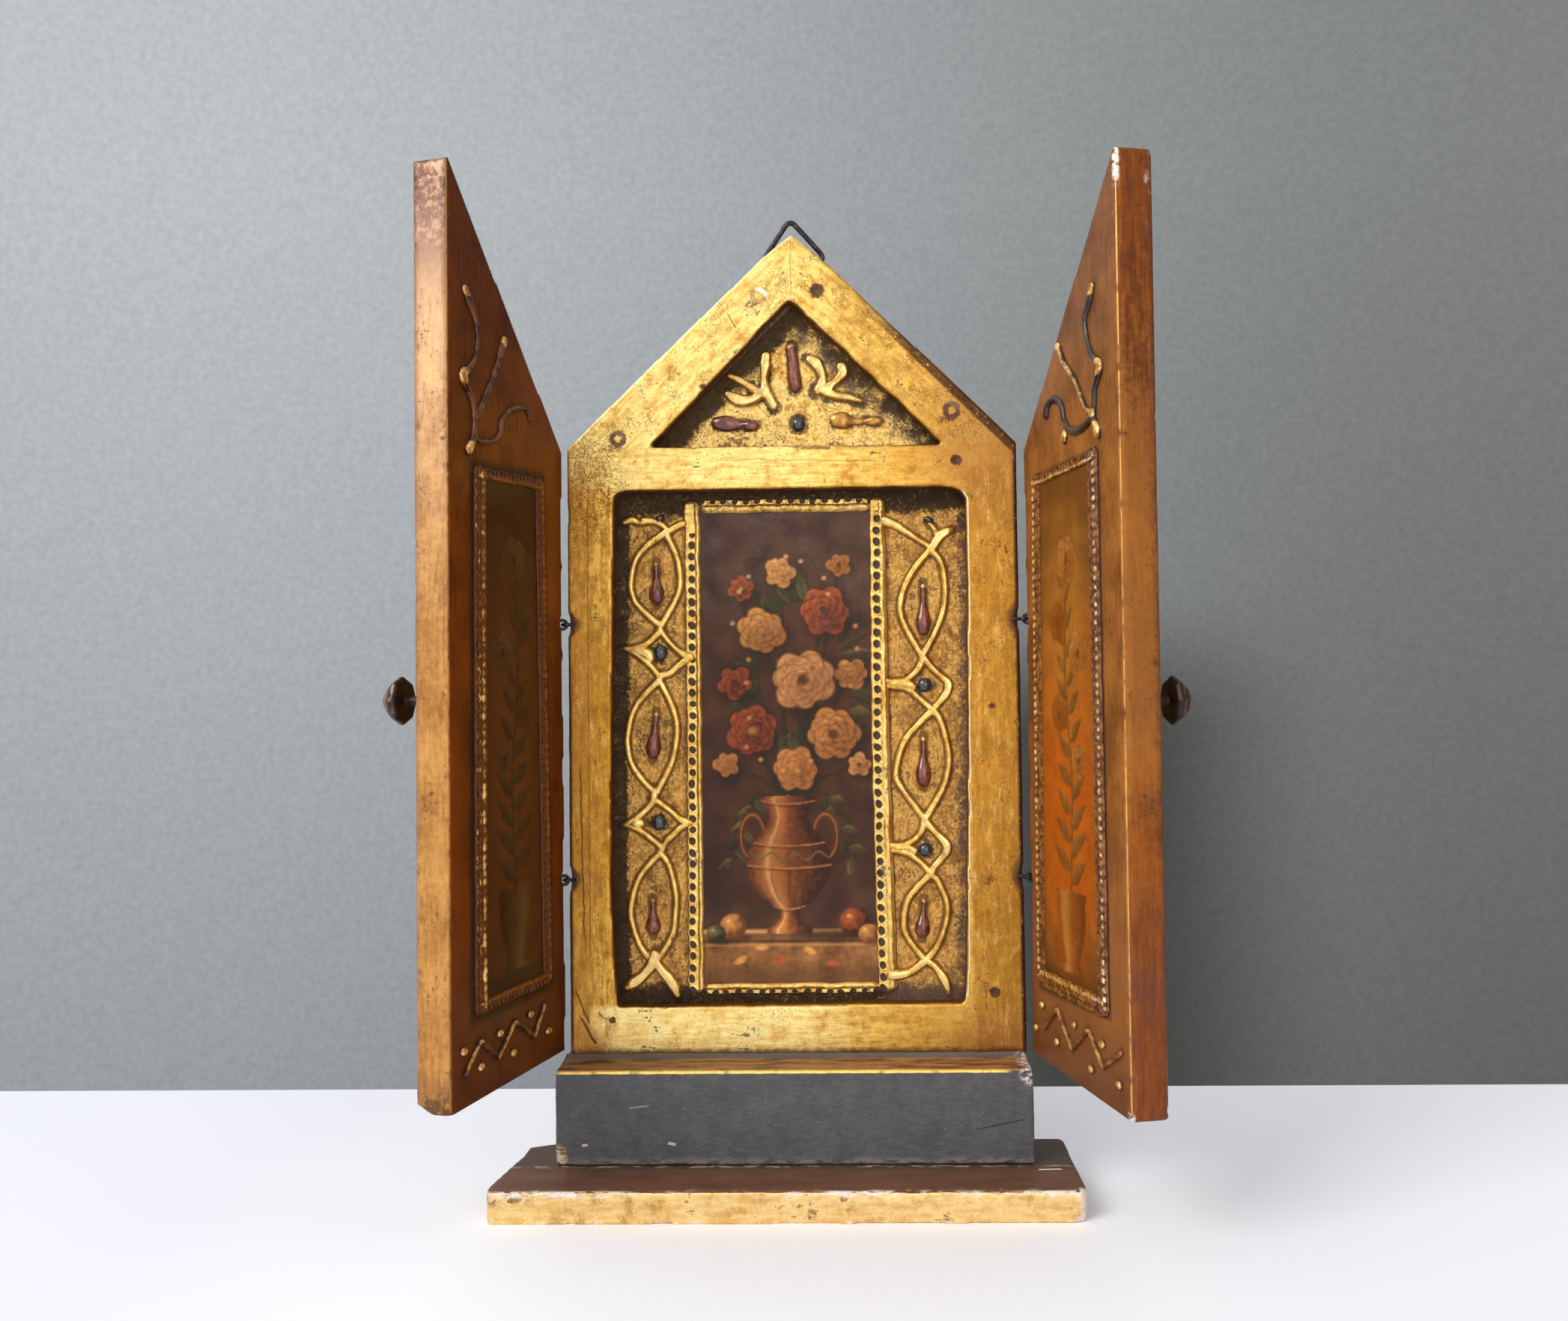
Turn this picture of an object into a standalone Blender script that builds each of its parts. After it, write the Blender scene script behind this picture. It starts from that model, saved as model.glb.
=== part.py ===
"""Table triptych: a gabled centre panel on a stepped stand, with two wings on linked wire eyes.

Millimetres in the constants, metres in the objects. X runs to the right, Y away from the
viewer and Z up. The origin lies on the underside of the base, below the front face of the
panel. Outlines of the panel and the wings count their heights from the ledge of the plinth.
"""

import math
from collections import namedtuple

import bmesh
import bpy
from mathutils import Matrix, Vector

MM = 0.001
GAP = 0.3                     # left between pieces that touch

# Stand
BASE_THICK = 7.7
BASE_FRONT = -32.5
BASE_BACK = 7.0
LEDGE = 31.4                  # height of the plinth's ledge
PLINTH_LEFT = -61.8
PLINTH_RIGHT = 59.9
PLINTH_FRONT = -13.1
PLINTH_BATTER = 0.9
COVE = 2.1                    # radius of the gesso cove between ledge and panel

# Centre panel
PANEL_BACK = 9.0
BOARD_FRONT = 5.0             # the ground of the recesses
SIDE_LEFT = (-60.0, -59.7)    # at the ledge and at the shoulder
SIDE_RIGHT = (60.3, 60.1)
SHOULDER = 162.3
APEX = (0.8, 218.8)
RECESS_TOP = 150.7
RECESS_FILLET = (7.5, 3.0)    # width and height of the recess's rounded top corners
GABLE_RECESS = (-38.3, 41.0)  # where the gable's recess meets its foot
GABLE_APEX = (0.1, 201.7)

# Raised gesso
PIPING = 1.4                  # width of a raised line
PIPING_HIGH = 1.1
BORDER_HIGH = 1.1
WING_RELIEF = 0.6

# Wings
WING_WIDE = 59.8
WING_THICK = 8.2
WING_FOOT = 2.2
WING_SHOULDER = 161.0
WING_APEX = 217.7
CLOSED_GAP = 1.3              # between the front of the panel and a closed wing

# Hinges
EYE_HEIGHTS = (47.0, 115.0)
EYE_MIDDLE = 81.0
EYE_WIRE = 0.45
EYE_RADIUS = 1.2
EYE_SHANK = 7.0
NOTCH = 3.2

# Knobs and hanger
KNOB_REACH = 54.0
KNOB_HEIGHT = 94.4
HANGER_X = 1.15
HANGER_BAR = 214.8            # height of the ring's straight side
HANGER_HALF = 9.65
HANGER_RISE = 12.6
HANGER_SKEW = 3.9             # degrees that the ring hangs out of true
HANGER_WIRE = 0.72
STRAP_HALF = 2.2
STRAP_DROP = 8.0
STRAP_SHEET = 0.6
HANGER_Y = PANEL_BACK + GAP + STRAP_SHEET + GAP + HANGER_WIRE

# Turns an outline drawn in X and Y into one that lies in Y and Z, and runs along X
SIDEWAYS = Matrix(((0, 0, 1, 0), (1, 0, 0, 0), (0, 1, 0, 0), (0, 0, 0, 1)))

Wing = namedtuple("Wing", "name side axis closed_edge opening sag lift")
WINGS = (
    Wing("left_wing", -1, (-60.5, -0.1), -60.6, 104.3, 0.1, 0.6),
    Wing("right_wing", 1, (61.2, -0.7), 60.9, 101.8, 0.3, -1.2),
)

Loop = namedtuple("Loop", "top bottom left right")
Node = namedtuple("Node", "top left bottom right hole bead")
Drop = namedtuple("Drop", "top bottom width")

TRAILS = {
    "left": (
        (Loop((-34.2, 139.4), (-35.6, 115.6), 8.6, 4.4),
         Loop((-36.4, 99.6), (-37.4, 70.8), 8.2, 5.2),
         Loop((-36.7, 52.8), (-38.4, 24.6), 7.2, 5.2)),
        (Node((-35.8, 116.2), (-45.6, 108.6), (-36.3, 99.0), (-29.9, 106.6), (-35.8, 107.2), (-36.2, 107.4)),
         Node((-37.4, 71.4), (-45.8, 61.4), (-36.6, 52.2), (-29.9, 61.2), (-36.9, 61.5), (-37.3, 61.6))),
        (((-34.6, 139.6), (-32.6, 141.0), (-30.4, 142.2)),
         ((-34.4, 139.4), (-35.2, 141.6), (-38.6, 142.8), (-42.2, 142.6), (-45.2, 142.9)),
         ((-38.2, 25.4), (-39.3, 22.6), (-42.4, 19.8), (-45.2, 18.0)),
         ((-38.5, 25.4), (-37.2, 22.2), (-35.0, 18.8), (-32.9, 16.4))),
        (Drop((-37.0, 131.2), (-36.8, 120.8), 3.0),
         Drop((-37.4, 91.3), (-38.4, 78.9), 3.0),
         Drop((-38.7, 41.4), (-38.5, 31.4), 2.8)),
        (-35.9, 145.6),
    ),
    "right": (
        (Loop((37.0, 133.4), (34.8, 106.4), 7.0, 5.0),
         Loop((37.2, 91.0), (34.9, 62.8), 8.8, 5.4),
         Loop((36.1, 47.0), (34.4, 24.6), 6.8, 5.0)),
        (Node((34.9, 107.2), (27.9, 98.6), (37.3, 90.4), (42.6, 98.2), (35.6, 98.2), (35.2, 97.9)),
         Node((34.9, 63.4), (28.1, 54.6), (36.1, 46.4), (42.2, 55.2), (35.2, 53.9), (34.8, 53.6))),
        (((37.4, 133.6), (33.4, 138.2), (29.6, 140.6), (27.2, 141.6)),
         ((37.0, 133.0), (38.6, 136.4), (40.6, 138.8), (42.9, 139.4)),
         ((34.2, 25.2), (33.4, 22.6), (30.0, 20.4), (27.6, 18.8)),
         ((34.6, 25.2), (37.2, 21.6), (39.2, 18.4), (40.1, 15.6))),
        (Drop((35.2, 124.8), (35.1, 111.2), 3.2),
         Drop((34.7, 83.6), (34.5, 70.6), 3.0),
         Drop((34.0, 40.4), (33.5, 30.2), 2.8)),
        (36.9, 142.6),
    ),
}

SPRIGS = {
    "left": ((-8.1, 177.1), ((-6.4, 187.6), (-16.1, 182.5), (-17.0, 177.0), (-4.4, 173.2))),
    "right": ((9.1, 178.4), ((5.6, 186.2), (14.8, 184.0), (17.6, 176.2), (5.6, 176.4))),
}

# Wing ornament, as distance from the hinged edge and height above the ledge
WING_BORDERS = {
    "left_wing": ((9.4, 21.2, 12.4, 151.4), (48.4, 49.3), (13.8, 24.2, 43.2, 147.6)),
    "right_wing": ((6.6, 21.4, 6.9, 152.2), (48.2, 49.3), (10.8, 26.0, 43.4, 150.0)),
}
WING_SCROLLS = {
    "left_wing": (
        ((52.3, 189.8), (47.5, 185.1), (46.3, 180.8), (47.0, 176.0), (49.8, 172.3), (53.0, 169.4),
         (50.8, 166.6), (48.4, 163.5), (48.1, 157.4), (50.9, 152.9)),
        ((33.4, 182.2), (36.8, 175.3), (42.7, 166.8), (48.2, 160.4)),
        ((48.4, 156.4), (45.3, 155.8), (38.3, 157.1), (34.6, 161.4), (28.8, 166.8), (21.8, 168.3),
         (19.0, 165.9)),
    ),
    "right_wing": (
        ((47.0, 190.5), (42.6, 184.5), (43.3, 179.8), (46.1, 174.9), (50.2, 171.6), (48.4, 167.8),
         (47.2, 163.2), (47.0, 159.6), (48.4, 155.2)),
        ((25.8, 181.6), (29.6, 176.8), (36.0, 171.1), (41.9, 163.4), (47.2, 161.4)),
        ((47.2, 160.4), (44.1, 160.0), (39.5, 159.0), (33.2, 159.8), (29.3, 163.0), (26.4, 168.0),
         (20.0, 168.8)),
    ),
}
WING_ZIGZAGS = {
    "left_wing": ((54.4, 9.4), (46.8, 15.3), (38.0, 9.4), (29.5, 15.8), (19.2, 9.8), (13.2, 16.0)),
    "right_wing": ((56.1, 16.3), (46.0, 10.5), (37.8, 17.1), (27.5, 10.3), (18.4, 17.3), (9.0, 10.6)),
}


def clear_scene():
    for obj in list(bpy.data.objects):
        bpy.data.objects.remove(obj, do_unlink=True)


def new_collection(name):
    collection = bpy.data.collections.new(name)
    bpy.context.scene.collection.children.link(collection)
    return collection


def finish(name, colour, roughness, metallic=0.0):
    """A material with its base colour, roughness and metallic value."""
    material = bpy.data.materials.new(name)
    material.use_nodes = True
    shader = material.node_tree.nodes["Principled BSDF"]
    shader.inputs["Base Color"].default_value = (*colour, 1.0)
    shader.inputs["Roughness"].default_value = roughness
    shader.inputs["Metallic"].default_value = metallic
    material.diffuse_color = (*colour, 1.0)
    return material


clear_scene()
PARTS = new_collection("triptych")
CUTTERS = new_collection("cutters")
GILT = finish("gilded_wood", (0.72, 0.45, 0.12), 0.38, 0.6)
GROUND = finish("gilded_ground", (0.42, 0.26, 0.08), 0.5, 0.4)
SLATE = finish("slate_paint", (0.06, 0.06, 0.068), 0.7)
BASE_FINISH = finish("base_gilding", (0.36, 0.2, 0.06), 0.45, 0.3)
LACQUER = finish("brown_lacquer", (0.24, 0.1, 0.03), 0.3)
PRINT = finish("dark_print", (0.07, 0.045, 0.04), 0.45)
WING_PRINT = finish("wing_print", (0.2, 0.08, 0.03), 0.35)
RED_GLASS = finish("red_enamel", (0.2, 0.035, 0.02), 0.15)
BLUE_GLASS = finish("blue_enamel", (0.015, 0.025, 0.05), 0.15)
IRON = finish("iron_wire", (0.05, 0.05, 0.055), 0.45, 0.9)
BRONZE = finish("dark_bronze", (0.07, 0.045, 0.04), 0.35, 0.8)


# Outlines

def arc(centre, radius, start, end, steps):
    """Points on an arc, with angles in degrees."""
    angles = [math.radians(start + (end - start) * i / steps) for i in range(steps + 1)]
    return [(centre[0] + radius * math.cos(a), centre[1] + radius * math.sin(a)) for a in angles]


def rounded(corners, radii, steps=3):
    """A closed outline with each corner turned into a short arc."""
    points = []
    for i, corner in enumerate(corners):
        here = Vector(corner)
        to_last = (Vector(corners[i - 1]) - here).normalized()
        to_next = (Vector(corners[(i + 1) % len(corners)]) - here).normalized()
        half = to_last.angle(to_next) / 2
        reach = radii[i] / math.tan(half)
        first = here + to_last * reach
        last = here + to_next * reach
        for k in range(steps + 1):
            t = k / steps
            points.append(tuple(first.lerp(here, t).lerp(here.lerp(last, t), t)))
    return points


def smooth(points, steps=3):
    """A Catmull-Rom curve through the points."""
    ends = [points[0]] + list(points) + [points[-1]]
    line = []
    for i in range(len(points) - 1):
        p0, p1, p2, p3 = [Vector(p) for p in ends[i:i + 4]]
        for k in range(steps):
            t = k / steps
            bend = (2 * p0 - 5 * p1 + 4 * p2 - p3) * t ** 2 + (3 * p1 - p0 - 3 * p2 + p3) * t ** 3
            line.append(tuple((2 * p1 + (p2 - p0) * t + bend) / 2))
    line.append(tuple(points[-1]))
    return line


def almond(loop, steps=9):
    """A pointed loop that bows out on both sides of its axis."""
    sides = []
    for bow in (-loop.left, loop.right):
        side = []
        for i in range(steps):
            t = i / steps
            axis = Vector(loop.top).lerp(Vector(loop.bottom), t)
            side.append((axis.x + bow * math.sin(math.pi * t) ** 0.85, axis.y))
        sides.append(side)
    return sides[0] + [loop.bottom] + sides[1][:0:-1]


def star(node, blunt=0.5, steps=4):
    """A four-pointed outline with hollow sides and blunted tips."""
    centre = (Vector(node.hole) + Vector(node.bead)) / 2
    tips = [Vector(node.top), Vector(node.left), Vector(node.bottom), Vector(node.right)]
    outline = []
    for i, tip in enumerate(tips):
        following = tips[(i + 1) % 4]
        across = (tip - centre).orthogonal().normalized() * blunt
        onward = (following - centre).orthogonal().normalized() * blunt
        start = tip + across
        end = following - onward
        pull = centre.lerp((start + end) / 2, 0.62)
        for k in range(steps + 1):
            t = k / steps
            outline.append(tuple(start.lerp(pull, t).lerp(pull.lerp(end, t), t)))
    return outline


# Solids

def add_mesh(name, mesh, material, location=(0, 0, 0), rotation=(0, 0, 0), parent=None, collection=None):
    """Put a mesh in the scene as a named object; the location is in millimetres."""
    obj = bpy.data.objects.new(name, mesh)
    obj.location = Vector(location) * MM
    obj.rotation_euler = rotation
    obj.parent = parent
    (collection or PARTS).objects.link(obj)
    if material:
        obj.data.materials.clear()
        obj.data.materials.append(material)
    return obj


def turn_out(work):
    """Turn every face of a closed bmesh outwards."""
    bmesh.ops.recalc_face_normals(work, faces=work.faces)
    if work.calc_volume(signed=True) < 0:
        bmesh.ops.reverse_faces(work, faces=work.faces)


def baked(obj):
    """The object's mesh as it looks now, welded and with its faces pointing out."""
    graph = bpy.context.evaluated_depsgraph_get()
    mesh = bpy.data.meshes.new_from_object(obj.evaluated_get(graph))
    work = bmesh.new()
    work.from_mesh(mesh)
    bmesh.ops.remove_doubles(work, verts=work.verts, dist=0.002 * MM)
    turn_out(work)
    work.to_mesh(mesh)
    work.free()
    return mesh


def curve_mesh(curve):
    """Turn curve data into a closed mesh, and drop the curve."""
    temporary = bpy.data.objects.new("temporary", curve)
    PARTS.objects.link(temporary)
    bpy.context.view_layer.update()
    mesh = baked(temporary)
    bpy.data.objects.remove(temporary, do_unlink=True)
    bpy.data.curves.remove(curve)
    return mesh


def filled_mesh(rings, low, high):
    """A flat outline, with any holes, in X and Y and as thick as low to high in Z."""
    curve = bpy.data.curves.new("outline", "CURVE")
    curve.dimensions = "2D"
    curve.fill_mode = "BOTH"
    curve.extrude = (high - low) * MM / 2
    for ring in rings:
        spline = curve.splines.new("POLY")
        spline.points.add(len(ring) - 1)
        spline.use_cyclic_u = True
        for point, (x, y) in zip(spline.points, ring):
            point.co = (x * MM, y * MM, 0, 1)
    mesh = curve_mesh(curve)
    mesh.transform(Matrix.Translation((0, 0, (low + high) * MM / 2)))
    return mesh


def upright_mesh(rings, front, back):
    """The same plate standing up: outlines in X and Z, from front to back in Y."""
    mesh = filled_mesh(rings, -back, -front)
    mesh.transform(Matrix.Rotation(math.pi / 2, 4, "X"))
    return mesh


def tube_mesh(points, radius, closed=False, radii=None):
    """A round wire through points in millimetres; radii scale it along its length."""
    curve = bpy.data.curves.new("wire", "CURVE")
    curve.dimensions = "3D"
    curve.bevel_depth = radius * MM
    curve.bevel_resolution = 1
    curve.use_fill_caps = not closed
    spline = curve.splines.new("POLY")
    spline.points.add(len(points) - 1)
    spline.use_cyclic_u = closed
    for i, (point, place) in enumerate(zip(spline.points, points)):
        point.co = (*(Vector(place) * MM), 1)
        point.radius = radii[i] if radii else 1.0
    return curve_mesh(curve)


def piping_mesh(line, back, width=PIPING, height=PIPING_HIGH, closed=False, radii=None):
    """A raised line that follows X and Z points, with its lowest side at Y = back."""
    mesh = tube_mesh([(x, 0, z) for x, z in line], width / 2, closed, radii)
    mesh.transform(Matrix.Diagonal((1, height / width, 1, 1)))
    lowest = max(vertex.co.y for vertex in mesh.vertices)
    mesh.transform(Matrix.Translation((0, back * MM - lowest, 0)))
    return mesh


def teardrop_mesh(drop, back, high, taper=0.4):
    """A rounded drop, wide at its bottom and narrow at its top."""
    work = bmesh.new()
    bmesh.ops.create_uvsphere(work, u_segments=8, v_segments=6, radius=1.0)
    top = Vector(drop.top)
    bottom = Vector(drop.bottom)
    for vertex in work.verts:
        along = vertex.co.z
        half = (1 - taper * along) / (1 + 0.2 * taper) * drop.width / 2
        place = bottom.lerp(top, (along + 1) / 2)
        side = (top - bottom).orthogonal().normalized() * vertex.co.x * half
        y = back - high / 2 + vertex.co.y * high / 2
        vertex.co = Vector((place.x + side.x, y, place.y + side.y)) * MM
    turn_out(work)
    mesh = bpy.data.meshes.new("drop")
    work.to_mesh(mesh)
    work.free()
    return mesh


def bead_mesh(place, radius, back, high):
    x, z = place
    return teardrop_mesh(Drop((x, z + radius), (x, z - radius), radius * 2), back, high, 0.0)


def fused(meshes):
    """Join overlapping meshes into one body."""
    objects = [add_mesh("piece", mesh, None) for mesh in meshes]
    for other in objects[1:]:
        union = objects[0].modifiers.new("union", "BOOLEAN")
        union.operation = "UNION"
        union.solver = "EXACT"
        union.object = other
    bpy.context.view_layer.update()
    mesh = baked(objects[0])
    for obj in objects:
        bpy.data.objects.remove(obj, do_unlink=True)
    return mesh


def cut(obj, cutters):
    """Cut the object with each cutter object."""
    for cutter in cutters:
        cutter.hide_render = True
        cutter.display_type = "WIRE"
        difference = obj.modifiers.new("cut", "BOOLEAN")
        difference.operation = "DIFFERENCE"
        difference.solver = "EXACT"
        difference.object = cutter


def soften(obj, width, segments=1, choose=None):
    """Round the edges that choose picks, or every sharp edge."""
    bevel = obj.modifiers.new("bevel", "BEVEL")
    bevel.width = width * MM
    bevel.segments = segments
    if choose:
        bevel.limit_method = "WEIGHT"
        weights = obj.data.attributes.new("bevel_weight_edge", "FLOAT", "EDGE")
        for edge in obj.data.edges:
            ends = [obj.data.vertices[i].co / MM for i in edge.vertices]
            weights.data[edge.index].value = 1.0 if choose(*ends) else 0.0
    else:
        bevel.limit_method = "ANGLE"
        bevel.angle_limit = math.radians(40)


def rod_mesh(start, end, radius, sides=8):
    """A plain rod between two points, used for bores."""
    work = bmesh.new()
    axis = Vector(end) - Vector(start)
    bmesh.ops.create_cone(
        work, cap_ends=True, segments=sides, radius1=radius * MM, radius2=radius * MM, depth=axis.length * MM)
    mesh = bpy.data.meshes.new("rod")
    work.to_mesh(mesh)
    work.free()
    turn = axis.to_track_quat("Z", "Y").to_matrix().to_4x4()
    middle = (Vector(start) + Vector(end)) / 2 * MM
    mesh.transform(Matrix.Translation(middle) @ turn)
    return mesh


# Stand

def build_stand():
    base_outline = rounded(
        [(-74.1, BASE_FRONT), (68.9, BASE_FRONT + 0.3), (70.3, BASE_BACK), (-60.5, BASE_BACK),
         (-66.0, 4.2), (-71.3, 1.6)],
        [2.2, 1.6, 1.0, 1.5, 2.0, 2.0])
    base = add_mesh("base_board", filled_mesh([base_outline], 0, BASE_THICK), BASE_FINISH)
    soften(base, 0.8, 2)

    low = GAP
    high = LEDGE - BASE_THICK
    cove_centre = (-GAP - COVE, high + COVE)
    cove = arc(cove_centre, COVE, -90, -4, 6)
    profile = [(PLINTH_FRONT - PLINTH_BATTER, low), (PLINTH_FRONT, high)]
    profile += cove
    profile += [(-GAP, cove[-1][1]), (-GAP, high), (PANEL_BACK, high), (PANEL_BACK, low)]
    mesh = filled_mesh([profile], PLINTH_LEFT, PLINTH_RIGHT)
    mesh.transform(SIDEWAYS)
    plinth = add_mesh("plinth_block", mesh, SLATE, (0, 0, BASE_THICK))

    def is_arris(a, b):
        at_front = max(a.y, b.y) < PLINTH_FRONT + 0.1
        upright = abs(a.z - b.z) > 5
        return (at_front and (upright or min(a.z, b.z) > high - 0.1)) or (upright and min(a.y, b.y) > 8)

    soften(plinth, 0.9, 2, is_arris)


# Centre panel

def side_at(side, height):
    """X of a panel's side at a height above the ledge."""
    return side[0] + (side[1] - side[0]) * height / SHOULDER


def build_panel():
    place = (0, 0, LEDGE)
    feet = [(SIDE_LEFT[0], GAP), (SIDE_RIGHT[0], GAP)]
    outline = feet + [(SIDE_RIGHT[1], SHOULDER), APEX, (SIDE_LEFT[1], SHOULDER)]
    back = add_mesh("back_board", upright_mesh([outline], BOARD_FRONT, PANEL_BACK), GROUND, place)
    soften(back, 0.4, 1, lambda a, b: min(a.y, b.y) > PANEL_BACK - 0.1)

    foot = GAP
    head = SHOULDER
    left_inner = [(-47.7, head), (-47.9, 142.0), (-48.6, 95.0), (-49.3, 48.0), (-48.1, 13.0), (-47.7, foot)]
    right_inner = [(44.1, foot), (44.4, 13.9), (45.1, 25.0), (46.2, 75.0), (46.8, 128.0), (46.5, head)]
    left_stile = [(SIDE_LEFT[0], foot)] + [(SIDE_LEFT[1], head)] + left_inner
    right_stile = right_inner + [(SIDE_RIGHT[1], head), (SIDE_RIGHT[0], foot)]
    bottom = [(-47.7 + GAP, foot), (44.1 - GAP, foot), (44.4 - GAP, 13.9), (-48.1 + GAP, 13.1)]
    wide, deep = RECESS_FILLET
    fillet = [(x * wide, z * deep) for x, z in arc((0, 0), 1, 172, 90, 5)]
    spring = RECESS_TOP - deep
    cross = [(-47.7 + GAP, head)] + [(-47.8 + GAP + wide + x, spring + z) for x, z in fillet]
    cross += [(46.6 - GAP - wide - x, spring + z) for x, z in fillet[::-1]] + [(46.5 - GAP, head)]
    foot_line = head + GAP
    rakes = []
    for side, shoulder_x, recess_x in ((-1, SIDE_LEFT[1], GABLE_RECESS[0]), (1, SIDE_RIGHT[1], GABLE_RECESS[1])):
        mitre = side * GAP / 2
        rakes.append([(shoulder_x - side * GAP, foot_line), (recess_x, foot_line),
                      (GABLE_APEX[0] + mitre, GABLE_APEX[1]), (APEX[0] + mitre, APEX[1] - 0.1)])
    strips = {
        "left_stile": left_stile,
        "right_stile": right_stile,
        "bottom_rail": bottom,
        "cross_rail": cross,
        "left_rake": rakes[0],
        "right_rake": rakes[1],
    }
    return {
        name: add_mesh(name, upright_mesh([ring], 0, BOARD_FRONT - GAP), GILT, place)
        for name, ring in strips.items()
    }


def build_picture():
    place = (0, 0, LEDGE)
    back = BOARD_FRONT - GAP
    outer = [(-29.2, 16.0), (27.0, 16.2), (25.9, 82.0), (25.3, 148.3), (-29.2, 148.3)]
    window = [(-24.6, 18.3), (21.6, 18.5), (20.6, 82.0), (21.0, 144.8), (-24.6, 144.9)]
    border = upright_mesh([outer, window], back - BORDER_HIGH, back)
    add_mesh("picture_border", border, GILT, place)
    print_outline = [(-24.3, 18.6), (21.2, 18.8), (20.3, 82.0), (20.7, 144.5), (-24.3, 144.6)]
    add_mesh("centre_picture", upright_mesh([print_outline], back - 0.4, back), PRINT, place)


def build_trails():
    """The raised vines beside the picture, with their drops and beads."""
    place = (0, 0, LEDGE)
    back = BOARD_FRONT - GAP
    for side, (loops, nodes, strokes, drops, top_bead) in TRAILS.items():
        pieces = [piping_mesh(almond(loop), back, closed=True) for loop in loops]
        for node in nodes:
            hole = arc(node.hole, 2.4, 0, 315, 7)
            pieces.append(upright_mesh([star(node), hole], back - 0.95, back - 0.05))
        pieces += [piping_mesh(smooth(stroke, 2), back - 0.02) for stroke in strokes]
        add_mesh(f"{side}_vine", fused(pieces), GILT, place)
        for i, drop in enumerate(drops):
            add_mesh(f"{side}_drop_{i + 1}", teardrop_mesh(drop, back, 1.1), RED_GLASS, place)
        beads = [top_bead] + [node.bead for node in nodes]
        for i, bead in enumerate(beads):
            add_mesh(f"{side}_bead_{i + 1}", bead_mesh(bead, 1.3, back, 1.5), BLUE_GLASS, place)


def build_gable_relief():
    place = (0, 0, LEDGE)
    back = BOARD_FRONT - GAP
    for side, (centre, tips) in SPRIGS.items():
        pieces = []
        for i, tip in enumerate(tips):
            away = (Vector(tip) - Vector(centre)).normalized()
            line = [tuple(Vector(centre) - away * (0.7 + 0.1 * i))]
            line += [tuple(Vector(centre).lerp(Vector(tip), t)) for t in (0.3, 0.6, 0.85, 1.0)]
            pieces.append(piping_mesh(line, back - 0.03 * i, 1.6, 1.2, radii=[0.9, 0.7, 1.0, 1.1, 0.6]))
        add_mesh(f"gable_sprig_{side}", fused(pieces), GILT, place)
    drops = {
        "gable_drop_centre": (Drop((1.2, 176.8), (0.5, 191.4), 3.2), RED_GLASS),
        "gable_drop_left": (Drop((-8.4, 168.8), (-21.2, 169.4), 4.0), RED_GLASS),
        "gable_drop_right": (Drop((25.0, 169.2), (11.0, 169.6), 4.2), GILT),
    }
    for name, (drop, material) in drops.items():
        add_mesh(name, teardrop_mesh(drop, back, 1.3), material, place)
    add_mesh("gable_bead", bead_mesh((2.1, 168.9), 2.1, back, 1.9), BLUE_GLASS, place)


# Hinges

def eye_line(radius, shank):
    """A bent wire eye: a loop about the origin, open at one side, and a straight shank along X."""
    loop = [(x, y) for x, y in arc((0, 0), radius, 52, 330, 11)]
    return loop + [(radius * 1.3, -radius * 0.12), (radius + 1.2, 0), (shank, 0)]


def build_panel_eyes(wing, stiles):
    """Eyes in the edge of a stile, lying flat, each in a notch."""
    stile = stiles["left_stile" if wing.side < 0 else "right_stile"]
    heading = math.radians(20 if wing.side < 0 else 160)
    turn = Matrix.Rotation(heading, 4, "Z")
    edge = SIDE_LEFT if wing.side < 0 else SIDE_RIGHT
    cutters = []
    for i, height in enumerate(EYE_HEIGHTS):
        place = (*wing.axis, LEDGE + height)
        mesh = tube_mesh([(x, y, 0) for x, y in eye_line(EYE_RADIUS, EYE_SHANK)], EYE_WIRE)
        mesh.transform(turn)
        level = "lower" if i == 0 else "upper"
        eye = add_mesh(f"{stile.name}_eye_{level}", mesh, IRON, place)
        bore = rod_mesh((1, 0, 0), (EYE_SHANK + 0.6, 0, 0), EYE_WIRE + GAP)
        bore.transform(turn)
        cutters.append(add_mesh(f"{eye.name}_bore", bore, None, place, collection=CUTTERS))
        notch = rod_mesh((0, -4, 0), (0, 3.4, 0), NOTCH, 10)
        notch_place = (side_at(edge, height), 0, LEDGE + height)
        cutters.append(add_mesh(f"{eye.name}_notch", notch, None, notch_place, collection=CUTTERS))
    cut(stile, cutters)


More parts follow.
